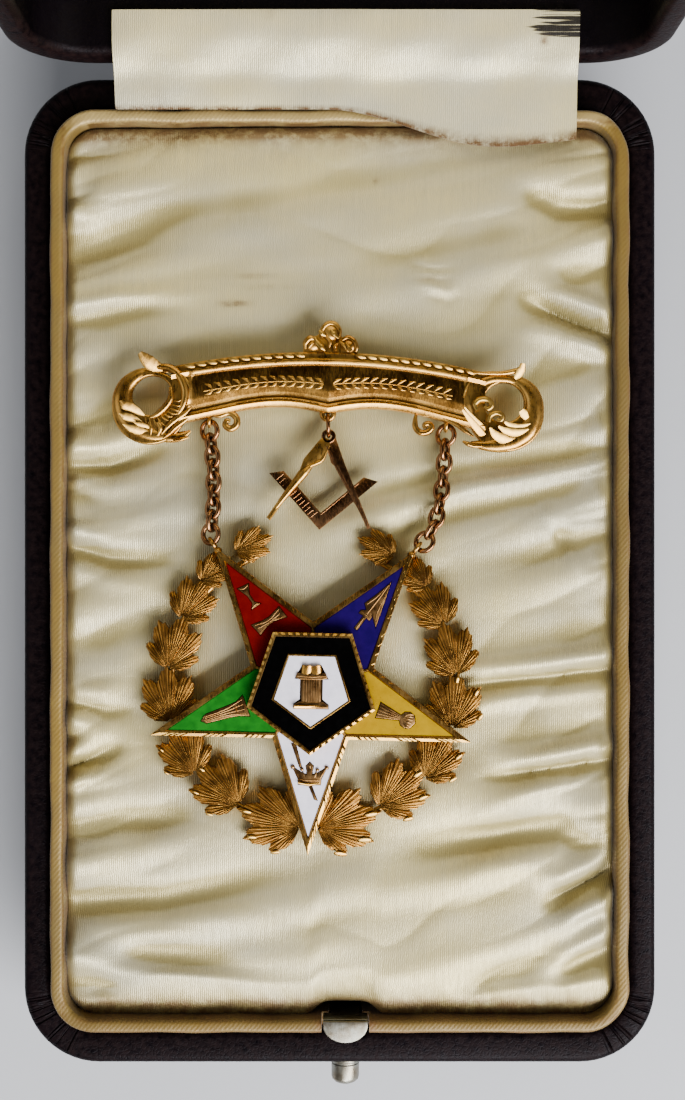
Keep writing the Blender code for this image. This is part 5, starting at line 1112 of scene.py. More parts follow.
def hinge_cutters(low, high):
    """What is cut out of a back wall for the hinge: the knuckles' hollow, and the leaves' seat."""
    groove = rod(24, KNUCKLE_RADIUS, 2 * HINGE_HALF, PIVOT, (0.0, math.pi / 2, 0.0))
    return [groove, block("seat", (-HINGE_HALF, HALF_LENGTH - SEAT_DEPTH, low),
                          (HINGE_HALF, HALF_LENGTH + 1.0, high))]


def mark_wear_and_highlight(obj, high):
    """Paint the leather's wear along the rim, the corners and the foot, with a painted highlight along the
    rim.
    """
    def wear(place):
        corner = max(abs(place.x) - HALF_WIDTH + 4.0, 0.0) + max(abs(place.y) - HALF_LENGTH + 4.0, 0.0)
        rim = max(0.0, 1.0 - abs(place.z - high) / 0.9)
        foot = max(0.0, 1.0 - abs(place.z) / 0.9)
        return min(1.0, 0.55 * rim + 0.35 * foot + 0.1 * max(corner - 4.0, 0.0))
    paint(obj, "wear", wear)


def pivot_open(obj):
    """Swing a piece made on the closed lid open by a right angle."""
    obj.data.transform(Matrix.Translation(PIVOT) @ turned(-math.pi / 2, "X") @ Matrix.Translation(-PIVOT))
    return obj


class STARJEWEL_OT_base(bpy.types.Operator):
    """Make the leather base tray, with the button's hole and the hinge's seat."""
    bl_idname = "star_jewel.base"
    bl_label = "Base tray"

    def execute(self, context):
        base = tray("base_tray", 0.0, RIM, FLOOR)
        hole = rod(32, 1.8, 8.0, (CATCH_X * MM, -51.0 * MM, BUTTON_LEVEL * MM), (math.pi / 2, 0.0, 0.0))
        cut_away(base, hole, *hinge_cutters(RIM - 0.8, RIM + 1.0))
        mark_wear_and_highlight(base, RIM)
        dress(base, finish("leather"), "base", ["box_base"])
        return {"FINISHED"}


class STARJEWEL_OT_lid(bpy.types.Operator):
    """Make the leather lid, standing open, with its recess for the catch."""
    bl_idname = "star_jewel.lid"
    bl_label = "Lid"

    def execute(self, context):
        lid = tray("lid_case", MOUTH, MOUTH + LID_DEPTH, MOUTH + ROOF)
        # made mouth up and turned over about its middle height
        with Shaping(lid):
            bpy.ops.mesh.select_all(action="SELECT")
            middle = (0.0, 0.0, (MOUTH + LID_DEPTH / 2) * MM)
            bpy.ops.transform.resize(value=(1.0, 1.0, -1.0), center_override=middle)
        tidy_mesh(lid, 40.0)
        wall = -HALF_LENGTH + END_WALL
        recess = block("recess", (CATCH_X - 2.95, wall - 1.2, MOUTH - 1.0),
                       (CATCH_X + 2.95, wall + 1.2, MOUTH + 3.9))
        cut_away(lid, *hinge_cutters(MOUTH - 1.0, MOUTH + 0.8), recess)
        # wear and a painted highlight along the lid's mouth, and less along its roof's edge
        paint(lid, "wear", lambda p: min(1.0, max(0.0, 1.0 - abs(p.z - MOUTH) / 0.9)
                                         + 0.5 * max(0.0, 1.0 - abs(p.z - MOUTH - LID_DEPTH) / 1.0)))
        pivot_open(lid)
        dress(lid, finish("leather"), "lid", ["lid_shell"])
        repaint("lid_strike", finish("nickel"))
        return {"FINISHED"}


def age_collar(collar):
    """Paint the collar: foxed at its edges and low down, painted shade in its notch, low down and in front,
    darker on the right, pale at the back.
    """
    def foxing(place):
        inset = min(COLLAR_HIGH.x - abs(place.x), COLLAR_HIGH.y - abs(place.y))
        outer = math.exp(-abs(inset) / 0.25)
        inner = math.exp(-abs(inset - COLLAR_WALL) / 0.22)
        # painted shade on the notch's faces
        notch_shade = 1.0 if abs(place.x - CATCH_X) < 3.2 and place.y < NOTCH_BACK else 0.0
        return min(1.0, outer + 0.8 * inner + (0.7 if place.z < 15.2 else 0.0) + notch_shade)

    # painted shade: full on the low inner wall, less along the front, and a little darker on the right
    def shade_and_soil_at(place):
        if place.z < 15.5:
            return 1.0
        if place.y < NOTCH_BACK:
            return 0.62
        return 0.32 if place.x > 28.0 else 0.0

    paint(collar, "foxing", foxing)
    paint(collar, "valley", shade_and_soil_at)
    paint(collar, "pale", lambda place: float(eased((place.y - 46.2) / 0.8)) * 0.9)


class STARJEWEL_OT_collar(bpy.types.Operator):
    """Make the satin-wrapped collar with its notch for the catch."""
    bl_idname = "star_jewel.collar"
    bl_label = "Collar"

    def execute(self, context):
        low, high = COLLAR_LOW, COLLAR_HIGH
        collar = block("satin_collar", low, high)
        with Shaping(collar) as shape:
            shape.pick("EDGE", upright)
            bpy.ops.mesh.bevel(offset=4.8 * MM, segments=14, profile=0.5, affect="EDGES")
            shape.pick("FACE", lambda f: abs(f.normal.z) > 0.9)
            bpy.ops.mesh.inset(thickness=COLLAR_WALL * MM)
            shape.pick("FACE", lambda f: abs(f.normal.z) > 0.9 and f.calc_center_median().xy.length < 1e-3)
            bpy.ops.mesh.bridge_edge_loops()
            shape.pick("EDGE", lambda e: all(v.co.z > (high.z - 0.01) * MM for v in e.verts) and by_wall(e))
            bpy.ops.mesh.bevel(offset=0.45 * MM, segments=4, profile=0.5, affect="EDGES")
        notch = block("notch", (CATCH_X - 2.5, -52.0, 13.1), (CATCH_X + 2.5, NOTCH_BACK, 17.0))
        slot = block("slot", (CATCH_X - 1.8, -52.0, 8.7), (CATCH_X + 1.8, NOTCH_BACK, 13.2))
        cut_away(collar, notch, slot)
        with Shaping(collar):
            # closer rows of points along the long walls carry the stains, the painted shade and the slack of
            # the satin
            cuts = [((0.0, y, 0.0), (0.0, 1.0, 0.0)) for y in np.arange(-44.0, 44.1, 2.0)]
            cuts += [((x, 0.0, 0.0), (1.0, 0.0, 0.0)) for x in np.arange(-25.0, 25.1, 2.0)]
            for place, normal in cuts:
                bpy.ops.mesh.select_all(action="SELECT")
                bpy.ops.mesh.bisect(plane_co=Vector(place) * MM, plane_no=normal)
        tidy_mesh(collar, 50.0)
        for vert in collar.data.vertices:
            x, y, z = vert.co / MM
            slack = 0.05 * (math.sin(0.55 * x + 0.8 * y + 1.3) + math.sin(0.9 * x - 0.37 * y + 0.4))
            # not in the notch, where the catch needs its room
            if z > 14.5 and max(abs(x - CATCH_X) - 2.9, y - NOTCH_BACK) > 0.0:
                vert.co += Vector((slack * abs(x) / 30.0, slack * abs(y) / 48.0, slack)) * MM
        age_collar(collar)
        dress(collar, finish("collar_satin"), "base", ["collar"])
        return {"FINISHED"}


def eased(value):
    """A step that sets in and ends softly, for values from 0 to 1."""
    held = np.clip(value, 0.0, 1.0)
    return held * held * (3.0 - 2.0 * held)


def along_line(x, y, points):
    """Distance of places from a line of several pieces, and how far along it they lie, from 0 to 1."""
    lengths = [math.dist(a, b) for a, b in zip(points, points[1:])]
    nearest = np.full(x.shape, 1e9)
    share = np.zeros(x.shape)
    done = 0.0
    for length, (ax, ay), (bx, by) in zip(lengths, points, points[1:]):
        dx, dy = (bx - ax) / length, (by - ay) / length
        held = np.clip((x - ax) * dx + (y - ay) * dy, 0.0, length)
        away = np.hypot(x - ax - held * dx, y - ay - held * dy)
        share = np.where(away < nearest, (done + held) / sum(lengths), share)
        nearest = np.minimum(nearest, away)
        done += length
    return nearest, share


def fold_heights(x, y):
    """Height that the folds add at each point (mm)."""
    height = np.zeros(x.shape)
    for kind, width, depth, points in FOLDS:
        away, share = along_line(x, y, points)
        # a fold runs on where it meets the collar and fades out where it ends on the open cloth
        fade = np.ones(x.shape)
        if abs(points[0][0]) < 28.0:
            fade *= eased(share / 0.5)
        if abs(points[-1][0]) < 28.0:
            fade *= eased((1.0 - share) / 0.8)
        reach = away / width / (1.5 - 0.5 * fade)
        if kind == "crease":
            rise = -np.exp(-reach ** 1.3) + 0.5 * np.exp(-((reach - 2.0) / 1.2) ** 2)
        elif kind == "ridge":
            rise = np.exp(-reach ** 2) - 0.35 * np.exp(-((reach - 2.0) / 1.0) ** 2)
        else:
            rise = -np.exp(-reach ** 2) + 0.35 * np.exp(-((reach - 2.2) / 1.5) ** 2)
        height += fade * depth * rise
    return height


def puckers(x, y, table):
    """Puffs between sharp creases: each field has its pitch, slant, wandering, seed and height (mm)."""
    total = np.zeros(x.shape)
    for pitch, slant, wander, seed, height in table:
        phase = math.pi * (y + slant * x) / pitch
        phase += wander * (np.sin(x / 9.0 + seed) + 0.7 * np.sin(x / 4.1 + y / 6.0 + 2.0 * seed))
        strength = 0.5 + 0.5 * np.sin(x / 8.0 + y / 5.3 + 3.1 * seed)
        total += height * strength ** 1.5 * (np.abs(np.sin(phase)) ** 0.8 - 0.6)
    return total


def ripples(x, y, table):
    """Gentle ripples: a sum of slanting waves, each with its pitch across and along, phase and height."""
    total = np.zeros(x.shape)
    for across, along, phase, height in table:
        bend = 0.6 * np.sin(x / 7.0 + phase) + 0.4 * np.sin(y / 5.0 - phase)
        total += height * np.sin(2 * math.pi * (x / across + y / along) + phase + bend)
    return total


def rounded_corner(x, y, half_x, half_y, corner):
    """Draw the corners of a rectangular grid in to round ones."""
    over_x = np.maximum(np.abs(x) - (half_x - corner), 0.0)
    over_y = np.maximum(np.abs(y) - (half_y - corner), 0.0)
    both = (over_x > 0) & (over_y > 0)
    reach = np.hypot(over_x, over_y)
    drawn = np.where(both, np.maximum(over_x, over_y) / np.where(reach > 0, reach, 1.0), 1.0)
    new_x = np.where(both, np.sign(x) * (np.abs(x) - over_x + over_x * drawn), x)
    new_y = np.where(both, np.sign(y) * (np.abs(y) - over_y + over_y * drawn), y)
    return new_x, new_y


def edge_distance(x, y, half_x, half_y, corner):
    """Distance in from the edge of a rectangle with round corners."""
    qx = np.abs(x) - (half_x - corner)
    qy = np.abs(y) - (half_y - corner)
    outside = np.hypot(np.maximum(qx, 0.0), np.maximum(qy, 0.0)) + np.minimum(np.maximum(qx, qy), 0.0)
    return np.maximum(corner - outside, 0.0)


def pad(name, columns, rows, half_x, half_y, corner, heights, low, front=None, back=1.0, shade_and_soil_at=None):
    """A pad: a dense grid with round corners, placed by heights(x, y), with its sides drawn down.

    Its front and back edges can be moved by a share. It is given painted shade where it lies low between its
    folds, and its last argument adds painted shade, with some soil, along its edges.
    """
    obj = flat_grid(name, columns, rows)
    places = np.empty(len(obj.data.vertices) * 3)
    obj.data.vertices.foreach_get("co", places)
    places = places.reshape(-1, 3)
    # rows of points are closer together near the edges
    ease = 0.86
    spread = ease * places[:, :2] + (1.0 - ease) * np.sin(places[:, :2] * math.pi / 2)
    x, y = rounded_corner(spread[:, 0] * half_x, spread[:, 1] * half_y, half_x, half_y, corner)
    stretch = np.where(y > 0, back, front(x) if front else 1.0)
    places = np.stack([x, y * stretch, heights(x, y)], 1) * MM
    obj.data.vertices.foreach_set("co", places.ravel())
    level = places[:, 2].reshape(rows + 1, columns + 1) / MM
    # painted shade in the hollows: how far each point lies below the average of its surroundings
    around = level.copy()
    for reach in (2, 4, 7):
        for axis in (0, 1):
            around = (np.roll(around, reach, axis) + around + np.roll(around, -reach, axis)) / 3.0
    valley = np.clip((around - level - 0.03) / 0.24, 0.0, 0.85)
    # beside the edges it is what it is a little further in, or nothing at the ends
    valley[:12] = 0.0
    valley[-12:] = 0.0
    valley[:, :9] = valley[:, 9:10]
    valley[:, -9:] = valley[:, -10:-9]
    # painted shade, with some soil, along the edges where it is given
    if shade_and_soil_at:
        valley = np.maximum(valley, shade_and_soil_at(x, y).reshape(valley.shape))
    obj.data.attributes.new("valley", "FLOAT", "POINT").data.foreach_set("value", valley.ravel())
    obj.data.update()
    with Shaping(obj, "EDGE") as shape:
        shape.pick("EDGE", lambda e: e.is_boundary)
        for _ in range(2):
            bpy.ops.mesh.extrude_region_move(TRANSFORM_OT_translate={"value": (0.0, 0.0, -0.5 * MM)})
        bpy.ops.transform.resize(value=(1.0, 1.0, 0.0), center_override=(0.0, 0.0, low * MM))
        bpy.ops.mesh.edge_face_add()
    return tidy_mesh(obj, 75.0)


def jewel_distance(x, y):
    """Distance of points on the cushion from the jewel that lies on it (mm)."""
    wreath = np.hypot(x - STAR_CENTRE[0], y - STAR_CENTRE[1]) - 18.4
    nearest = wreath
    # the bar, the left and right chains, and the drop
    for left, right, low, high in ((-23.6, 21.4, 12.6, 25.0), (-14.6, -12.0, 2.0, 15.0),
                                   (7.8, 12.2, 2.0, 15.0), (-9.0, 5.6, 3.2, 16.0)):
        away = np.hypot(np.maximum(np.maximum(left - x, x - right), 0.0),
                        np.maximum(np.maximum(low - y, y - high), 0.0))
        nearest = np.minimum(nearest, away)
    return np.maximum(nearest, 0.0)


class STARJEWEL_OT_cushion(bpy.types.Operator):
    """Make the ruched satin cushion with its folds."""
    bl_idname = "star_jewel.cushion"
    bl_label = "Cushion"

    def execute(self, context):
        satin = context.scene.star_jewel_satin
        half_x, half_y, corner = CUSHION_HIGH.x + 0.28, CUSHION_HIGH.y, 3.4
        top = RIM + 0.9
        collar_inside = COLLAR_HIGH.y - COLLAR_WALL

        def heights(x, y):
            inset = edge_distance(x, y, half_x, half_y, corner)
            roll = np.minimum(inset / 1.2, 1.0)
            drop = 0.45 * (1.0 - np.sin(roll * math.pi / 2)) ** 1.5
            # it is a little domed from side to side
            drop += 0.8 * (x / half_x) ** 2
            free = np.clip(jewel_distance(x, y) / 7.0, 0.0, 1.0) ** 1.3
            side = np.exp(-(half_x - np.abs(x)) / 5.0)
            slack = ripples(x, y, [(-42.0, 8.6, 0.3, 0.36), (-24.0, 4.7, 1.9, 0.13)])
            puffs = puckers(x, y, [(8.8, -0.22, 1.0, 0.4, 0.5), (4.6, -0.26, 0.8, 1.7, 0.24)])
            gathers = side * puckers(x, y, [(5.3, -0.4, 0.6, 2.9, 1.0), (3.1, -0.25, 0.5, 5.1, 0.32)])
            folds = satin.fold_strength * fold_heights(x, y)
            # the cloth is calm in the middle and gathered towards its sides and the front
            lively = 0.26 + 0.74 * np.exp(-(half_x - np.abs(x)) / 9.0) + 0.3 * np.exp(-(y + half_y) / 9.0)
            lively = np.minimum(lively, 1.0)
            lift = folds + (0.7 + 0.6 * free) * lively * (slack + puffs) + gathers + 0.35 * free + 0.55 * side
            lift *= np.minimum(0.35 + 0.65 * roll, 1.0)
            height = top - drop + lift
            # the jewel's weight keeps the cloth under it below its back, and along the front the cloth comes
            # down to the collar
            ceiling = RIM + np.minimum(1.34 + 1.3 * free, 0.36 * (y + half_y))
            return ceiling - np.logaddexp(0.0, (ceiling - height) * 9.0) / 9.0

        def front(x):
            """The cloth is drawn forward almost to the collar and hollowed behind the catch."""
            return (collar_inside - 0.03 - 1.42 * np.exp(-((x - CATCH_X) / 3.3) ** 6)) / half_y

        def shade_and_soil_at(x, y):
            """Painted shade, with some soil, along its edges, most along the front."""
            away = np.minimum(np.minimum(y + half_y, 1.5 * (half_x - x)), 2.4 * (half_x + x))
            reach = 1.15 - away / 3.1 + 0.12 * np.sin(0.9 * (x + y))
            return 0.92 * eased(reach + 0.1 * np.sin(2.3 * x + 1.7 * y))

        cushion = pad("satin_cushion", 200, 320, half_x, half_y, corner, heights, CUSHION_LOW.z,
                      front, (collar_inside - 0.2) / half_y, shade_and_soil_at)

        def foxing(place):
            inset = min(half_x - abs(place.x), half_y - abs(place.y))
            edge = 0.55 * math.exp(-max(inset, 0.0) / 0.5)
            edge += 0.3 * math.exp(-max(half_y - place.y, 0.0) / 1.6)
            # along the front: stains, and partly painted shade
            edge += 0.32 * math.exp(-(max(place.y + collar_inside, 0.0) / 1.8) ** 2)
            spots = sum(strength * math.exp(-((place.x - x) / wide) ** 2 - ((place.y - y) / tall) ** 2)
                        for x, y, wide, tall, strength in CUSHION_SPOTS)
            return min(1.0, edge + spots)

        paint(cushion, "foxing", foxing)
        dress(cushion, finish("cream_satin"), "base", ["cushion"])
        return {"FINISHED"}


class STARJEWEL_OT_lining(bpy.types.Operator):
    """Make the satin pad inside the lid."""
    bl_idname = "star_jewel.lining"
    bl_label = "Lid lining"

    def execute(self, context):
        half_x, half_y, corner = 30.2, 48.2, 4.7

        def heights(x, y):
            inset = edge_distance(x, y, half_x, half_y, corner)
            roll = np.minimum(inset / 6.0, 1.0)
            drop = 1.9 * (1.0 - np.sin(roll * math.pi / 2)) ** 1.4
            slack = ripples(x, y, [(120.0, 17.0, 0.9, 0.1), (35.0, -12.0, 2.1, 0.06),
                                   (-22.0, 6.0, 0.5, 0.03)])
            gathers = ripples(x, y, [(4.2, 60.0, 0.4, 0.06), (55.0, 4.7, 1.4, 0.06)]) * np.exp(-inset / 2.5)
            return 3.0 - drop + (slack + gathers) * roll

        def foxing(place):
            ends = 0.5 * math.exp(-(half_y - abs(place.y)) / 1.2)
            return ends + 0.4 * math.exp(-(half_x - abs(place.x)) / 1.0)

        lining = pad("lid_lining_pad", 110, 170, half_x, half_y, corner, heights, 0.0)
        paint(lining, "foxing", foxing)
        # made facing up, turned to face the lid's mouth and set under its roof
        lining.data.transform(shift(0.0, 0.0, MOUTH + LID_DEPTH - ROOF - GAP) @ turned(math.pi, "Y"))
        pivot_open(lining)
        dress(lining, finish("cream_satin"), "lid", ["lid_lining"])
        return {"FINISHED"}


class STARJEWEL_OT_ribbon(bpy.types.Operator):
    """Make the satin strip that covers the hinge, from the collar into the lid."""
    bl_idname = "star_jewel.ribbon"
    bl_label = "Hinge ribbon"

    def execute(self, context):
        width = RIBBON_RIGHT - RIBBON_LEFT
        section = curved(RIBBON_WAY)
        steps = [0.0]
        for (ay, az, _), (by, bz, _) in zip(section, section[1:]):
            steps.append(steps[-1] + math.hypot(by - ay, bz - az))

        def droop_at(share):
            return 4.1 * float(eased((share - 0.46) / 0.36)) - 0.8 * max(0.0, share - 0.86) / 0.14

        def place(u, v):
            share = (u + 1.0) / 2.0
            distance = (v + 1.0) / 2.0 * steps[-1]
            y = np.interp(distance, steps, [p[0] for p in section])
            z = np.interp(distance, steps, [p[1] for p in section])
            sag = 0.26 * math.sin(share * 8.0 + distance * 0.45)
            sag += 0.09 * math.sin(share * 31.0 - distance * 0.8)
            y -= droop_at(share) * max(0.0, 1.0 - distance / 2.6)
            z += sag * math.sin(math.pi * min(distance / steps[-1], 1.0))
            return (RIBBON_LEFT + width * share, y, z)

        columns, rows = 150, 44
        ribbon = grid("hinge_ribbon_satin", columns, rows, place)
        foxing = ribbon.data.attributes.new("foxing", "FLOAT", "POINT")
        split = ribbon.data.attributes.new("split", "FLOAT", "POINT")
        for index, vert in enumerate(ribbon.data.vertices):
            x, y, z = vert.co / MM
            hem = 1.5 - (index // (columns + 1)) * steps[-1] / rows / 0.45
            stains = sum(strength * math.exp(-((x - at_x) / size) ** 2 - ((y - at_y) / size) ** 2)
                         for at_x, at_y, size, strength in RIBBON_STAINS)
            foxing.data[index].value = min(1.0, max(0.0, hem) + stains)
            split.data[index].value = float(eased((x - 15.5) / 6.0) * eased((y - 53.2) / 2.2))
        with Shaping(ribbon):
            bpy.ops.mesh.select_all(action="SELECT")
            bpy.ops.mesh.vertices_smooth(factor=0.5, repeat=5)
        apply_modifier(ribbon, "SOLIDIFY", thickness=RIBBON_THICKNESS * MM, offset=0.0)
        tidy_mesh(ribbon, 75.0)
        ribbon.data.materials.append(finish("ribbon_satin"))
        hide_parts("hinge_ribbon")
        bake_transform(ribbon)
        return {"FINISHED"}


def band_top(x):
    """Height of the bar's top edge at a place along it (mm)."""
    return BAND_TOP - ARCH_RADIUS + math.sqrt(ARCH_RADIUS ** 2 - x * x)


def band_low(x):
    """Height of the bar's scalloped lower edge at a place along it (mm)."""
    return -1.5 + 0.6 * math.sin(min(abs(x) / 9.6, 1.0) * math.pi) - 0.24 * max(abs(x) - 9.6, 0.0)


def cast_strokes(name, table, keep):
    """The strokes of one finish from a table, raised over the bar's back."""
    kept = [row[1:] for row in table if row[0] == keep]
    return strokes(name, kept, 0.85)


def cast_bar():
    """The bar's body: band, pierced ends, finial, cast strokes, domes, shell ribs and hanging eyes."""
    count = len(BAND_ROWS) - 1

    def place(u, v):
        x = u * BAND_HALF
        edge, inset, height = BAND_ROWS[round((v + 1.0) / 2.0 * count)]
        y = band_low(x) + inset if edge == "low" else band_top(x) - inset
        beyond = min(max((abs(x) - PANEL_HALF + 0.18 * (y - 1.0)) / 0.5, 0.0), 1.0)
        if (edge == "low" and inset > 0.9) or (edge == "top" and inset > 1.3):
            height += (1.12 - height) * beyond
        return (x, y, height)

    band = close_down(face_up(grid("band", 240, count, place)), 0.0)
    tidy_mesh(band, 32.0)
    gold = [band]
    for side in (-1, 1):
        outline = ring_points((side * (HOLE_OUT + 0.25), -1.2), 3.9, 3.85, 48)
        hole = ring_points((side * HOLE_OUT, 0.0), 2.1, 2.05, 40)
        gold.append(plate(f"end_{side}", [outline, hole], 0.0, 0.95, 0.16, 2))
    gold.append(plate("finial", [FINIAL_PLATE], 0.0, 0.85, 0.15, 2))
    for table in (LEFT_STROKES, RIGHT_STROKES, FINIAL_STROKES):
        gold.append(cast_strokes("gold_strokes", table, "gold"))
    tubes = [row[1:] for row in LEFT_STROKES + RIGHT_STROKES if row[0] == "tube"]
    gold.append(strokes("tubes", tubes, 0.66, sides=4))
    domes = [at(0.12, 6.85, 0.55, 0.0, (1.0, 1.0, 0.72)), at(-1.65, 5.65, 0.5, 0.0, (0.95, 0.85, 0.66)),
             at(2.05, 5.55, 0.5, 0.0, (0.9, 0.85, 0.66))]
    gold.append(copies("domes", bead("dome", 28, 16), domes))
    # ribs of the shell beside the left hole
    ribs = []
    for index in range(10):
        angle = math.radians(-14.0 - 10.0 * index)
        near, far = 2.35, 3.35 + 0.25 * math.sin(index * 0.35 * math.pi)
        points = [(-HOLE_OUT + reach * math.cos(angle + bend), reach * math.sin(angle + bend))
                  for reach, bend in ((near, 0.0), (0.5 * (near + far), 0.05), (far, 0.16))]
        ribs.append((1.22, (0.05, 0.1, 0.04), points))
    gold.append(strokes("shell_ribs", ribs, 0.8))
    # hanging eyes: one in the middle of the lower edge, and a loop behind each curl
    gold.append(loop_of_wire("eye", 0.58, 0.28, shift(0.0, -1.5, 0.62)))
    for side in (-1, 1):
        turn = turned(math.pi / 2, "Y")
        gold.append(loop_of_wire(f"hanger_{side}", 0.62, 0.2, shift(side * 12.3, -2.35, -0.3) @ turn))
    return join("bar_casting", gold)


def cut_bar_bright():
    """What is polished on the bar: strokes, petals, and the rope along its top edge."""
    bright = [cast_strokes("bright_strokes", table, "polished")
              for table in (LEFT_STROKES, RIGHT_STROKES, FINIAL_STROKES)]
    for kind, height, radii, points in LEFT_STROKES + RIGHT_STROKES:
        if kind == "petal":
            slim = [0.86 * radius for radius in radii]
            bright.append(lean(strokes("petal", [(height, slim, points)], 0.17), 23.0))
    places = []
    for x in [start + 1.13 * index for start in (-14.3, 3.3) for index in range(11)]:
        slope = math.degrees(math.atan2(-x, ARCH_RADIUS))
        places.append(facet(x, band_top(x) - 0.44, 1.12, slope - 18.0, (0.6, 0.3, 0.11)))
    bright.append(copies("rope", bead("dash"), places))
    return join("bar_bright_cuts", bright)


def mill_bar():
    """Rows of fine grains along the bar's rails."""
    grain = (0.085, 0.085, 0.085)
    grains = []
    for x in np.arange(-14.4, 14.4, 0.19):
        slope = math.degrees(math.atan2(-x, ARCH_RADIUS))
        grains.append(at(x, band_top(x) - 1.4, 1.2, slope, grain))
    for x in np.arange(-9.4, 9.4, 0.19):
        if abs(x) > 0.9:
            grains.append(at(x, band_low(x) + 0.84, 0.96, 0.0, grain))
    return copies("bar_milgrain", bead("grain", 6, 4), grains)


def engrave_bar():
    """A laurel sprig that runs to either side of the panel's middle."""
    scroll = []
    for side in (-1, 1):
        stem = [(x, 0.5 * (band_top(x) + band_low(x)) - 0.2) for x in side * np.arange(0.5, 13.4, 0.95)]
        scroll.append((1.0, (0.05, 0.05), stem))
        for x, y in stem[:-1]:
            for up in (-1, 1):
                leaf = [(x + out * side, y + rise * up)
                        for out, rise in ((0.0, 0.06), (0.36, 0.38), (0.84, 0.54))]
                scroll.append((1.03, (0.03, 0.17, 0.03), leaf))
    return strokes("bar_leaf_scroll", scroll, 0.6, sides=1)


class STARJEWEL_OT_bar(bpy.types.Operator):
    """Cast the bar: arched band with rails, rope and grains, scroll ends, finial and eyes."""
    bl_idname = "star_jewel.bar"
    bl_label = "Brooch bar"

    def execute(self, context):
        casting = cast_bar()
        pieces = [(casting, "gold"), (cut_bar_bright(), "polished"), (mill_bar(), "gold"),
                  (engrave_bar(), "gold")]
        for piece, metal in pieces:
            piece.data.transform(shift(0.0, 0.0, BAR_BACK))
            into_frame(piece, BAR_CENTRE, BAR_TURN)
            dress(piece, finish(metal), "base", ["brooch_bar"] if piece is casting else ())
        # the sunk panel between the rails has a smoother polish
        casting.data.materials.append(finish("panel"))
        unturn = turned(math.radians(-BAR_TURN)) @ shift(-BAR_CENTRE[0], -BAR_CENTRE[1], -BAR_BACK)
        for face in casting.data.polygons:
            x, y, z = (unturn @ face.center) / MM
            level = face.normal.z > 0.9 and 0.7 < z < 1.1
            if level and abs(x) < PANEL_HALF and band_low(x) + 1.0 < y < band_top(x) - 1.45:
                face.material_index = 1
        repaint("brooch_pin", finish("gold"))
        return {"FINISHED"}


def spaced(route, distances):
    """Places and directions on a line of points at the given distances from its start."""
    lengths = [math.dist(a, b) for a, b in zip(route, route[1:])]
    result = []
    for distance in distances:
        index = 0
        while index < len(lengths) - 1 and distance > lengths[index]:
            distance -= lengths[index]
            index += 1
        (ax, ay), (bx, by) = route[index], route[index + 1]
        share = distance / lengths[index]
        result.append((ax + (bx - ax) * share, ay + (by - ay) * share, math.atan2(by - ay, bx - ax)))
    return result


class STARJEWEL_OT_chains(bpy.types.Operator):
    """Make the two chains of oval links with a ring at each end."""
    bl_idname = "star_jewel.chains"
    bl_label = "Chains"

    def execute(self, context):
        for side, route in CHAIN_ROUTES.items():
            total = sum(math.dist(a, b) for a, b in zip(route, route[1:]))
            pitch = total / (LINK_COUNT - 1 + 2 * END_SPACING)
            distances = [0.0] + [pitch * (END_SPACING + i) for i in range(LINK_COUNT)] + [total]
            links, nodes = [], []
            for index, (x, y, heading) in enumerate(spaced(route, distances)):
                is_ring = index in (0, LINK_COUNT + 1)
                roll = 32.0 if is_ring else (118.0 if index % 2 else 28.0)
                matrix = shift(x, y, CHAIN_LEVEL) @ turned(heading) @ turned(math.radians(roll), "X")
                if is_ring:
                    links.append(loop_of_wire("link", 0.98, 0.27, matrix))
                    nodes.append(f"chain_{side}_{'top' if index == 0 else 'bottom'}_ring")
                else:
                    links.append(loop_of_wire("link", 0.8, 0.27, matrix, 0.98, 0.7))
                    nodes.append(f"chain_{side}_link_{index}")
            chain = join(f"{side}_chain", links)
            dress(chain, finish("rose_gold"), "base", nodes)
        return {"FINISHED"}


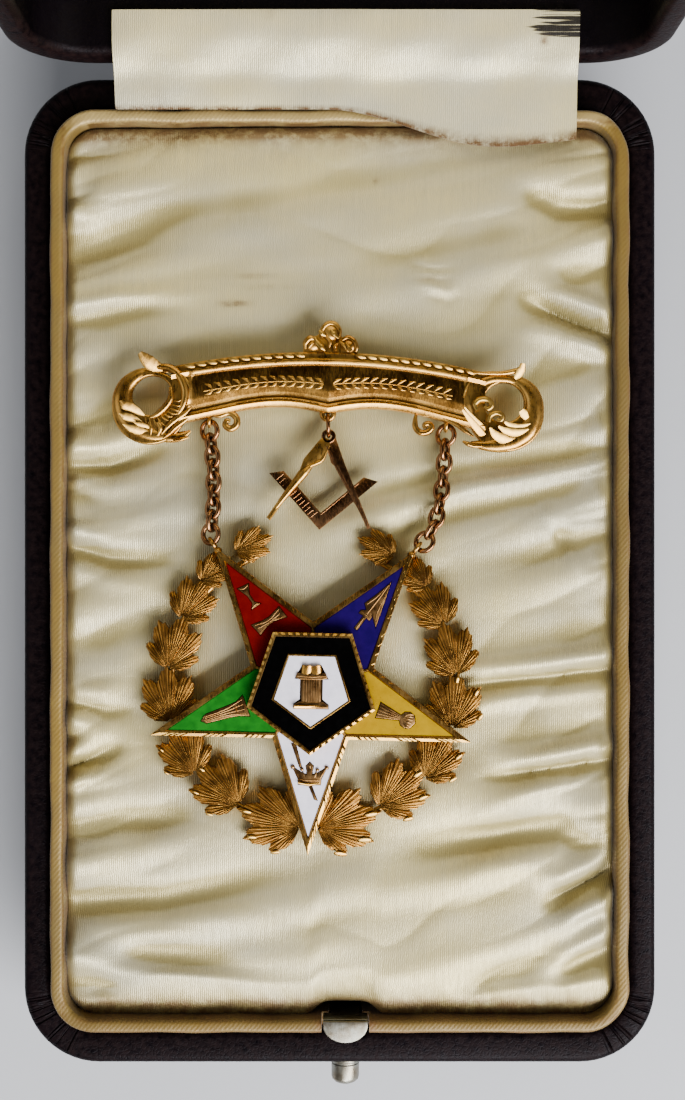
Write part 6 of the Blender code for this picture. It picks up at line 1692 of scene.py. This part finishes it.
class STARJEWEL_OT_drop(bpy.types.Operator):
    """Make the drop: compasses over a ruled square, on its edge-on ring."""
    bl_idname = "star_jewel.drop"
    bl_label = "Square and compasses"

    def execute(self, context):
        left, right = [Vector((math.cos(math.radians(a)), math.sin(math.radians(a)))) for a in SQUARE_ARMS]
        corner = Vector(SQUARE_CORNER)
        arm, width, slant = 7.9, 1.3, 0.8
        outline = [corner, corner + right * arm, corner + right * (arm - slant) + left * width,
                   corner + (left + right) * width, corner + left * (arm - slant) + right * width,
                   corner + left * arm]
        dark = [plate("square", [[tuple(p) for p in outline]], 0.0, 0.6, 0.08)]
        dark.append(plate("right_leg", [RIGHT_LEG], 0.5, 1.2, 0.12))
        head = [ring_points((0.0, 0.45), 0.75, 0.75, 28), ring_points((0.0, 0.45), 0.32, 0.32, 16)]
        dark.append(plate("head", head, 0.5, 1.25, 0.1, 2))
        ticks = []
        for along, across in ((right, left), (left, right)):
            for index in range(13):
                start = corner + along * (1.6 + 0.44 * index) + across * 0.16
                end = start + across * (0.72 if index % 3 else 0.92)
                ticks.append((0.6, (0.055, 0.065), [tuple(start), tuple((start + end) / 2), tuple(end)]))
            rail = [corner + along * t + across * 1.14 for t in (1.2, 3.5, 6.4)]
            ticks.append((0.6, (0.05, 0.05), [tuple(p) for p in rail]))
        dark.append(strokes("ticks", ticks, 0.8, sides=1))
        dark.append(strokes("right_leg_ridge", [
            (1.18, (0.16, 0.12, 0.04), [(0.75, -2.6), (2.2, -5.4), (4.0, -8.7)]),
            (1.2, (0.1, 0.2, 0.1), [(-0.2, -0.6), (0.3, -1.6), (0.6, -2.5)])], 0.7))
        square = join("square_and_right_leg", dark)
        leg = plate("left_leg", [LEFT_LEG], 0.55, 1.25, 0.12)
        ridge = strokes("left_ridge", [
            (1.12, (0.22, 0.46, 0.4, 0.3, 0.06), [(-1.75, -2.5), (-2.5, -3.3), (-3.6, -4.6), (-4.9, -6.2),
                                                    (-6.15, -8.0)]),
            (1.2, (0.08, 0.2, 0.24, 0.2), [(0.1, -0.5), (-0.6, -1.9), (-1.2, -2.3), (-1.9, -2.6)])], 0.8)
        bright = join("left_compass_leg", [leg, ridge])
        for piece, metal in ((square, "rose_gold"), (bright, "gold")):
            piece.data.transform(shift(*DROP_HEAD, DROP_BACK))
            nodes = ["square_and_compasses"] if piece is square else ()
            dress(piece, finish(metal), "base", nodes)
        low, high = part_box("drop_ring")
        middle = (low + high) / 2
        # it hangs edge-on, along the line from the bar's eye to the compasses' eye
        hang = math.atan2(DROP_EYE[1] - BAR_EYE[1], DROP_EYE[0] - BAR_EYE[0]) + math.pi / 2
        ring = loop_of_wire("jump_ring", 1.16, 0.2, Matrix.Translation(middle) @ turned(hang)
                            @ turned(math.pi / 2, "Y"))
        dress(ring, finish("rose_gold"), "base", ["drop_ring"])
        return {"FINISHED"}


def star_corners():
    """The ten corners of the star, anticlockwise from its foot."""
    corners = []
    for i in range(10):
        radius = STAR_RADIUS * (1.0 if i % 2 == 0 else NOTCH_SHARE)
        angle = math.radians(-90.0 + 36.0 * i)
        corners.append((radius * math.cos(angle), radius * math.sin(angle)))
    return corners


def point_frame(colour):
    """Directions along and across one point of the star."""
    angle = math.radians(-90.0 + 72.0 * POINTS[colour])
    along = Vector((math.cos(angle), math.sin(angle)))
    return along, Vector((-along.y, along.x))


def cut_pattern(first, long=2.4, short=0.44, gap=0.13, count=3):
    """Bright-cut edge: long flats with groups of short notches between them."""
    def cut_at(distance):
        period = long + count * (short + gap) + gap
        place = (distance + first) % period
        if long and place < long:
            return min(1.0, 6.0 * min(place, long - place) + 0.15)
        inside = (place - long) % (short + gap)
        return 1.0 if inside > gap else 0.0
    return cut_at


def raise_figures():
    """The raised figures of the five points, with their engraved lines."""
    figures, lines = [], []
    for colour, outlines in FIGURES.items():
        along, across = point_frame(colour)
        for outline in outlines:
            loop = [tuple(along * u + across * v) for u, v in outline]
            figures.append(plate(f"figure_{colour}", [loop], STAR_FLOOR - 0.05, STAR_TOP - 0.05, 0.08))
        for radii, points in FIGURE_STROKES[colour]:
            lines.append((STAR_TOP - 0.05, radii, [tuple(along * u + across * v) for u, v in points]))
    figures.append(strokes("figure_lines", lines, 0.75, sides=1))
    return join("star_figures", figures)


class STARJEWEL_OT_star(bpy.types.Operator):
    """Make the star's plate, its bright-cut rims, and the raised figures of its points."""
    bl_idname = "star_jewel.star"
    bl_label = "Star"

    def execute(self, context):
        corners = star_corners()
        inner = inset_polygon(corners, STAR_RIM)
        gold = [plate("plate", [inset_polygon(corners, 0.03)], STAR_BACK, STAR_FLOOR, 0.05)]
        rims = []
        for index in range(10):
            a, b = corners[index], corners[(index + 1) % 10]
            c, d = inner[index], inner[(index + 1) % 10]
            # the rims towards the foot have long bright flats, the others only small notches
            pattern = cut_pattern(1.1) if index in (0, 1, 8) else cut_pattern(0.0, 0.0, 0.17, 0.45, 1)
            rims.append(rim_strip(f"rim_{index}", (a, b), (c, d), STAR_BACK, STAR_FLOOR, STAR_TOP, pattern))
        for index in range(5):
            notch = Vector(inner[2 * index + 1])
            along = -notch.normalized()
            across = Vector((-along.y, along.x)) * 0.12
            near, far = notch - along * 0.25, notch + along * 2.2
            quad = [tuple(p) for p in (near - across, far - across, far + across, near + across)]
            gold.append(plate(f"divider_{index}", [quad], STAR_FLOOR - 0.1, STAR_TOP - 0.04, 0.03))
        for colour in ("red", "blue"):
            along = point_frame(colour)[0]
            centre = along * (STAR_RADIUS + 0.55)
            turn = turned(math.atan2(along.y, along.x)) @ turned(math.pi / 2, "X")
            gold.append(loop_of_wire("eye", 0.62, 0.2, shift(*centre, CHAIN_LEVEL) @ turn))
            foot = along * (STAR_RADIUS - 0.38)
            gold.append(copies("knob", bead("knob", 20, 12), [at(*foot, 16.6, 0.0, (0.42, 0.42, 0.72))]))
        star = join("star_plate", gold)
        strips = join("star_rims", rims)
        raised = raise_figures()
        along, across = point_frame("white")
        band = [tuple(along * u + across * v) for u, v in ((9.95, -1.12), (10.15, 0.0), (9.95, 1.12))]
        crown = lean(strokes("crown_band", [(STAR_TOP + 0.02, (0.1, 0.17, 0.1), band)], 0.6), 20.0)
        pieces = [(star, "rim_gold", ["star_wreath"]), (strips, "rim_gold", ()), (raised, "dull_gold", ()),
                  (crown, "polished", ())]
        for piece, metal, nodes in pieces:
            into_frame(piece, STAR_CENTRE, STAR_TURN)
            dress(piece, finish(metal), "base", nodes)
        polish_cuts(strips)
        for colour in POINTS:
            repaint(f"enamel_{colour}", finish(f"enamel_{colour}"))
        return {"FINISHED"}


def saw(value):
    """Triangular wave between 0 and 1, highest at whole numbers."""
    return abs((value % 1.0) * 2.0 - 1.0)


def leaf_relief(u, v):
    """One leaf of five toothed, finely ribbed lobes, of length one along X and height in mm."""
    angle = u * 84.0
    share = (v + 1.0) / 2.0
    centre, tip = min(LOBES, key=lambda lobe: abs(angle - lobe[0]))
    off = (angle - centre) / LOBE_HALF
    near = min(abs(off), 1.0)
    reach = tip * (1.0 - 0.2 * near) - 0.05 * math.exp(-((1.0 - near) / 0.16) ** 2)
    if abs(angle) > 64.0:
        reach = tip * (1.0 - 0.55 * min((abs(angle) - 64.0) / 20.0, 1.0) ** 0.9)
    reach += 0.06 * (saw(off * 2.0) - 0.5)
    away = 0.05 + (reach - 0.05) * share
    open_up = min(away * 2.4, 1.0)
    height = 0.7 + 0.26 * math.sin(min(share * 1.12, 1.0) * math.pi * 0.74)
    height -= 0.13 * open_up * near ** 3
    height += 0.17 * open_up * (saw(off * 3.0) - 0.5)
    height -= 0.14 * max(0.0, share - 0.84) / 0.16
    return (away * math.cos(math.radians(angle)), away * math.sin(math.radians(angle)), height)


class STARJEWEL_OT_leaves(bpy.types.Operator):
    """Make the wreath: sixteen lobed leaves on their backing wire, with bright-cut tips."""
    bl_idname = "star_jewel.leaves"
    bl_label = "Wreath"

    def execute(self, context):
        leaf = face_up(grid("leaf", 168, 12, leaf_relief))
        # rib carries the angle for the fine ribs; groove says where the painted shade between the coarse ribs
        # falls
        rib = leaf.data.attributes.new("rib", "FLOAT", "POINT")
        groove = leaf.data.attributes.new("groove", "FLOAT", "POINT")
        for index, vert in enumerate(leaf.data.vertices):
            angle = math.degrees(math.atan2(vert.co.y, vert.co.x))
            off = (angle - min((lobe for lobe, _ in LOBES), key=lambda lobe: abs(angle - lobe))) / LOBE_HALF
            rib.data[index].value = math.radians(angle)
            groove.data[index].value = 1.0 - saw(off * 3.0)
        close_down(leaf, 0.0)
        select_only(leaf)
        bpy.ops.object.shade_smooth_by_angle(angle=math.radians(22.0))
        leaf_places, cut_places = [], []
        for side in (-1, 1):
            for place, radius, length, width, lift in LEAVES:
                angle = math.radians(-90.0 + side * place)
                heading = angle + side * math.pi / 2
                narrow = width / length / 1.1
                stem = Vector((radius * math.cos(angle) - 0.46 * length * math.cos(heading),
                               radius * math.sin(angle) - 0.46 * length * math.sin(heading)))
                level = WREATH_BACK + lift
                leaf_places.append(shift(*stem, level) @ turned(heading)
                                   @ Matrix.Diagonal((length, length * narrow, 1.0, 1.0)))
                for lobe, tip in LOBES:
                    # the cutter runs along the wreath's outside, most of all at its foot on the right
                    if lobe * side > 0.0 or place > 85.0 + 20.0 * side:
                        continue
                    turn = math.radians(lobe)
                    reach = tip * 0.86
                    local = Vector((reach * math.cos(turn), reach * math.sin(turn) * narrow)) * length
                    x = stem.x + local.x * math.cos(heading) - local.y * math.sin(heading)
                    y = stem.y + local.x * math.sin(heading) + local.y * math.cos(heading)
                    facing = math.degrees(heading) + lobe * 0.35
                    size = (0.1 + 0.016 * side - 0.0004 * place) * length
                    cut_places.append(facet(x, y, level + 1.0, facing, (size, 0.42 * size, 0.07)))
        wreath = copies("wreath_leaves", leaf, leaf_places)
        cuts = copies("leaf_bright_cuts", bead("cut", 16, 8), cut_places)
        arc = [(14.7 * math.cos(a), 14.7 * math.sin(a), 0.0)
               for a in np.radians(np.arange(-90.0 - 156.0, -90.0 + 156.1, 6.0))]
        wire = strokes("backing_wire", [(WREATH_BACK + 0.31, (0.33, 0.33), arc)], 0.9)
        for piece, metal in ((wreath, "leaf_gold"), (cuts, "polished"), (wire, "gold")):
            into_frame(piece, STAR_CENTRE, STAR_TURN)
            dress(piece, finish(metal), "base")
        return {"FINISHED"}


def altar_and_book(deep):
    """The altar with its step and lines, and the open book with the step's bright edge."""
    shiny = [lean(plate("step_edge", [[(-1.78, -2.12), (1.78, -2.12), (1.7, -1.8), (-1.7, -1.8)]],
                        PENTAGON_FLOOR, PENTAGON_TOP + 0.22, 0.07, 2), 22.0)]
    altar = [
        plate("step", [[(-1.78, -2.12), (1.78, -2.12), (1.78, -1.78), (1.2, -1.45), (-1.2, -1.45),
                        (-1.78, -1.78)]], deep, PENTAGON_TOP + 0.1, 0.08, 2),
        plate("shaft", [rectangle(-1.0, 1.0, -1.6, 1.0)], deep, PENTAGON_TOP + 0.02, 0.06),
        plate("cap", [[(-1.12, 0.85), (1.12, 0.85), (1.62, 1.02), (1.5, 1.5), (-1.5, 1.5),
                       (-1.62, 1.02)]], deep, PENTAGON_TOP + 0.16, 0.06, 2),
    ]
    for side in (-1, 1):
        def page(u, v):
            across = (u + 1.0) / 2.0
            up = (v + 1.0) / 2.0
            bow = 0.16 * math.sin(across * math.pi) ** 0.8 + 0.02
            return (side * (0.03 + 1.0 * across - 0.1 * up), 1.38 + (0.86 + 0.1 * across) * up,
                    PENTAGON_TOP + 0.1 + bow - 0.05 * up)

        leaf = face_up(grid(f"page_{side}", 14, 6, page))
        shiny.append(lean(close_down(leaf, deep), 12.0))
    lines = [(PENTAGON_TOP + 0.02, (0.06, 0.06), [(x, -1.45), (x, -0.3), (x, 0.85)])
             for x in (-0.78, -0.52, -0.26, 0.0, 0.26, 0.52, 0.78)]
    lines += [(PENTAGON_TOP + 0.18, (0.07, 0.07), [(-1.65, -1.95), (0.0, -1.95), (1.65, -1.95)]),
              (PENTAGON_TOP + 0.16, (0.05, 0.08, 0.05), [(-1.45, 1.22), (0.0, 1.14), (1.45, 1.22)])]
    altar.append(strokes("altar_lines", lines, 0.7, sides=1))
    return join("altar", altar), join("book_and_step", shiny)


class STARJEWEL_OT_pentagon(bpy.types.Operator):
    """Make the raised centre: its milled frame, inner frame, and the altar with the open book."""
    bl_idname = "star_jewel.pentagon"
    bl_label = "Centre"

    def execute(self, context):
        turn = Matrix.Rotation(-math.pi / 2, 2)
        corners = ring_points((0.0, 0.0), PENTAGON_RADIUS, PENTAGON_RADIUS, 5)
        outer = [tuple(turn @ Vector(corner)) for corner in corners]
        inner = inset_polygon(outer, 0.42)
        frame_in = [(x * PENTAGON_INNER / PENTAGON_RADIUS, y * PENTAGON_INNER / PENTAGON_RADIUS)
                    for x, y in outer]
        frame_out = inset_polygon(frame_in, -0.16)
        deep = PENTAGON_FLOOR - 0.1
        gold = [plate("back", [inset_polygon(outer, 0.03)], PENTAGON_BACK, PENTAGON_FLOOR, 0.05),
                plate("inner_frame", [frame_out, frame_in], deep, PENTAGON_TOP - 0.02, 0.04)]

        def dashes(distance):
            return 1.0 if (distance + 0.1) % 0.78 < 0.52 else 0.0

        strips = []
        for index in range(5):
            a, b = outer[index], outer[(index + 1) % 5]
            c, d = inner[index], inner[(index + 1) % 5]
            strips.append(rim_strip(f"edge_{index}", (a, b), (c, d), PENTAGON_BACK, PENTAGON_FLOOR,
                                    PENTAGON_TOP, dashes, 84, 0.05))
        body = join("centre_frame", gold)
        edges = join("centre_milled_edge", strips)
        stand, shine = altar_and_book(deep)
        for piece, metal, nodes in ((body, "rim_gold", ["centre_pentagon"]), (edges, "rim_gold", ()),
                                    (stand, "dull_gold", ()), (shine, "gold", ())):
            into_frame(piece, STAR_CENTRE, STAR_TURN)
            dress(piece, finish(metal), "base", nodes)
        polish_cuts(edges)
        repaint("enamel_black", finish("enamel_black"))
        repaint("enamel_centre_white", finish("enamel_white"))
        return {"FINISHED"}


class STARJEWEL_OT_fittings(bpy.types.Operator):
    """Make the spring catch and the push button, and give the hinge its brass."""
    bl_idname = "star_jewel.fittings"
    bl_label = "Catch, button and hinge"

    def execute(self, context):
        left, right = CATCH_X - CATCH_HALF, CATCH_X + CATCH_HALF
        # the lip is round towards the front
        bow = []
        for i in range(25):
            angle = math.pi + math.pi * i / 24
            bow.append((CATCH_X + CATCH_HALF * math.cos(angle), CATCH_FRONT + 1.8 * math.sin(angle)))
        lip = plate("lip", [[(right, -46.95), (left, -46.95)] + bow], 15.8, 16.3, 0.12, 2)
        head = plate("head", [rectangle(left, right, CATCH_FRONT, CATCH_BACK)], 13.4, 15.7, 0.1, 2)
        blade = plate("blade", [rectangle(CATCH_X - 1.5, CATCH_X + 1.5, CATCH_FRONT, CATCH_BACK)],
                      9.0, 13.9, 0.08)
        catch = join("catch", [lip, head, blade])
        dress(catch, finish("nickel"), "catch", ["catch_plate"])

        # the button's outline: radius and place along its stem
        profile = [(0.0, -55.4), (0.75, -55.33), (1.15, -55.15), (1.42, -54.88), (1.5, -54.6), (1.5, -53.2),
                   (1.44, -53.1), (1.44, -52.95), (1.5, -52.85), (1.5, -50.04), (0.8, -50.04), (0.8, -47.5),
                   (0.0, -47.5)]
        mesh = bpy.data.meshes.new("button")
        mesh.from_pydata([(CATCH_X * MM + r * MM, y * MM, BUTTON_LEVEL * MM) for r, y in profile],
                         [(i, i + 1) for i in range(len(profile) - 1)], [])
        button = bpy.data.objects.new("button", mesh)
        context.scene.collection.objects.link(button)
        with Shaping(button, "VERT"):
            bpy.ops.mesh.select_all(action="SELECT")
            bpy.ops.mesh.spin(steps=40, angle=2 * math.pi, center=(CATCH_X * MM, 0.0, BUTTON_LEVEL * MM),
                              axis=(0.0, 1.0, 0.0))
        tidy_mesh(button, 30.0)
        dress(button, finish("nickel"), "catch", ["push_button"])
        for node in ("hinge_base_leaf", "hinge_lid_leaf", "hinge_pin"):
            repaint(node, finish("brass"))
        return {"FINISHED"}


def set_lights(stage):
    """Three soft lights that face the box: a key, and a weak one from the left and from beyond the lid."""
    lights = [
        ("key", (0.165, -0.285, 0.28), (0.52, 0.18), stage.key, (1.0, 0.985, 0.96)),
        ("fill", (-0.36, -0.02, 0.3), (0.3, 0.3), stage.fill, (0.93, 0.96, 1.0)),
        ("back", (0.1, 0.42, 0.34), (0.3, 0.3), stage.back, (1.0, 0.99, 0.97)),
    ]
    for name, place, size, power, colour in lights:
        data = bpy.data.lights.new(name, "AREA")
        data.shape = "RECTANGLE"
        data.size, data.size_y = size
        data.energy = power
        data.color = colour
        light = bpy.data.objects.new(name, data)
        bpy.context.scene.collection.objects.link(light)
        light.location = place
        light.rotation_mode = "QUATERNION"
        light.rotation_quaternion = (Vector((0.0, 0.0, 0.01)) - Vector(place)).to_track_quat("-Z", "Y")


def set_surroundings(strength):
    """An even studio whose ceiling is dark above the box."""
    world = bpy.data.worlds.new("studio")
    bpy.context.scene.world = world
    world.use_nodes = True
    tree = world.node_tree
    coordinates = tree.nodes.new("ShaderNodeTexCoord")
    # the dark part of the ceiling is a little beyond the box, so that what leans forward shines
    towards = tree.nodes.new("ShaderNodeVectorMath")
    towards.operation = "DOT_PRODUCT"
    towards.inputs[1].default_value = (0.0, 0.17, 0.985)
    ramp = tree.nodes.new("ShaderNodeValToRGB")
    tree.links.new(coordinates.outputs["Generated"], towards.inputs[0])
    tree.links.new(towards.outputs["Value"], ramp.inputs[0])
    stops = ramp.color_ramp.elements
    stops[0].position, stops[0].color = 0.0, (0.2, 0.2, 0.2, 1.0)
    stops[1].position, stops[1].color = 1.0, (0.02, 0.02, 0.021, 1.0)
    for position, level in ((0.3, 0.7), (0.72, 0.85), (0.88, 0.22), (0.95, 0.04)):
        stop = stops.new(position)
        stop.color = (level, level, level, 1.0)
    tree.links.new(ramp.outputs[0], tree.nodes["Background"].inputs["Color"])
    tree.nodes["Background"].inputs["Strength"].default_value = strength


def set_camera():
    """The photograph's camera, straight above the base."""
    camera_data = bpy.data.cameras.new("camera")
    camera_data.lens = 46.4
    camera_data.sensor_width = 36.0
    camera_data.clip_start = 0.01
    camera = bpy.data.objects.new("camera", camera_data)
    bpy.context.scene.collection.objects.link(camera)
    camera.location = (0.3 * MM, 2.2 * MM, 164.0 * MM)
    bpy.context.scene.camera = camera


class STARJEWEL_OT_stage(bpy.types.Operator):
    """Set the floor, the soft lights, the backdrop and the camera."""
    bl_idname = "star_jewel.stage"
    bl_label = "Stage"

    def execute(self, context):
        floor = grid("pale_floor", 40, 40, lambda u, v: (900.0 * u, 900.0 * v + 100.0, 0.0))
        stage = context.scene.star_jewel_stage
        shade = tuple(stage.floor)
        recipe = Recipe("pale_floor", shade, 0.75)
        recipe.colour(recipe.blend(recipe.noise(0.03, 4.0), tuple(0.95 * c for c in shade),
                                   tuple(1.05 * c for c in shade)))
        recipe.bump(recipe.noise(0.0012, 3.0), 0.00005, 0.3)
        floor.data.materials.append(recipe.material)
        set_lights(stage)
        set_surroundings(stage.surroundings)
        set_camera()
        return {"FINISHED"}


class STARJEWEL_PT_pieces(bpy.types.Panel):
    """The pieces of the jewel and its box, in the order that they are made."""
    bl_idname = "STARJEWEL_PT_pieces"
    bl_label = "Star Jewel"
    bl_space_type = "VIEW_3D"
    bl_region_type = "UI"
    bl_category = "Star Jewel"

    def draw(self, context):
        for group in SETTINGS:
            settings = getattr(context.scene, group)
            box = self.layout.box()
            for name in settings.__annotations__:
                box.prop(settings, name)
        for operator in OPERATORS:
            self.layout.operator(operator.bl_idname)


SETTINGS = {
    "star_jewel_case": CaseSettings,
    "star_jewel_satin": SatinSettings,
    "star_jewel_stage": StageSettings,
}
OPERATORS = [
    STARJEWEL_OT_stage,
    STARJEWEL_OT_base,
    STARJEWEL_OT_lid,
    STARJEWEL_OT_collar,
    STARJEWEL_OT_cushion,
    STARJEWEL_OT_lining,
    STARJEWEL_OT_ribbon,
    STARJEWEL_OT_fittings,
    STARJEWEL_OT_bar,
    STARJEWEL_OT_chains,
    STARJEWEL_OT_drop,
    STARJEWEL_OT_star,
    STARJEWEL_OT_leaves,
    STARJEWEL_OT_pentagon,
]


def register():
    for name, group in SETTINGS.items():
        bpy.utils.register_class(group)
        setattr(bpy.types.Scene, name, bpy.props.PointerProperty(type=group))
    for operator in OPERATORS:
        bpy.utils.register_class(operator)
    bpy.utils.register_class(STARJEWEL_PT_pieces)


def unregister():
    bpy.utils.unregister_class(STARJEWEL_PT_pieces)
    for operator in reversed(OPERATORS):
        bpy.utils.unregister_class(operator)
    for name, group in SETTINGS.items():
        delattr(bpy.types.Scene, name)
        bpy.utils.unregister_class(group)


def main():
    """Register the add-on and make every piece in order."""
    register()
    for operator in OPERATORS:
        group, name = operator.bl_idname.split(".")
        result = getattr(getattr(bpy.ops, group), name)()
        if result != {"FINISHED"}:
            raise RuntimeError(f"{operator.bl_label} wasn't made")


if __name__ == "__main__":
    main()
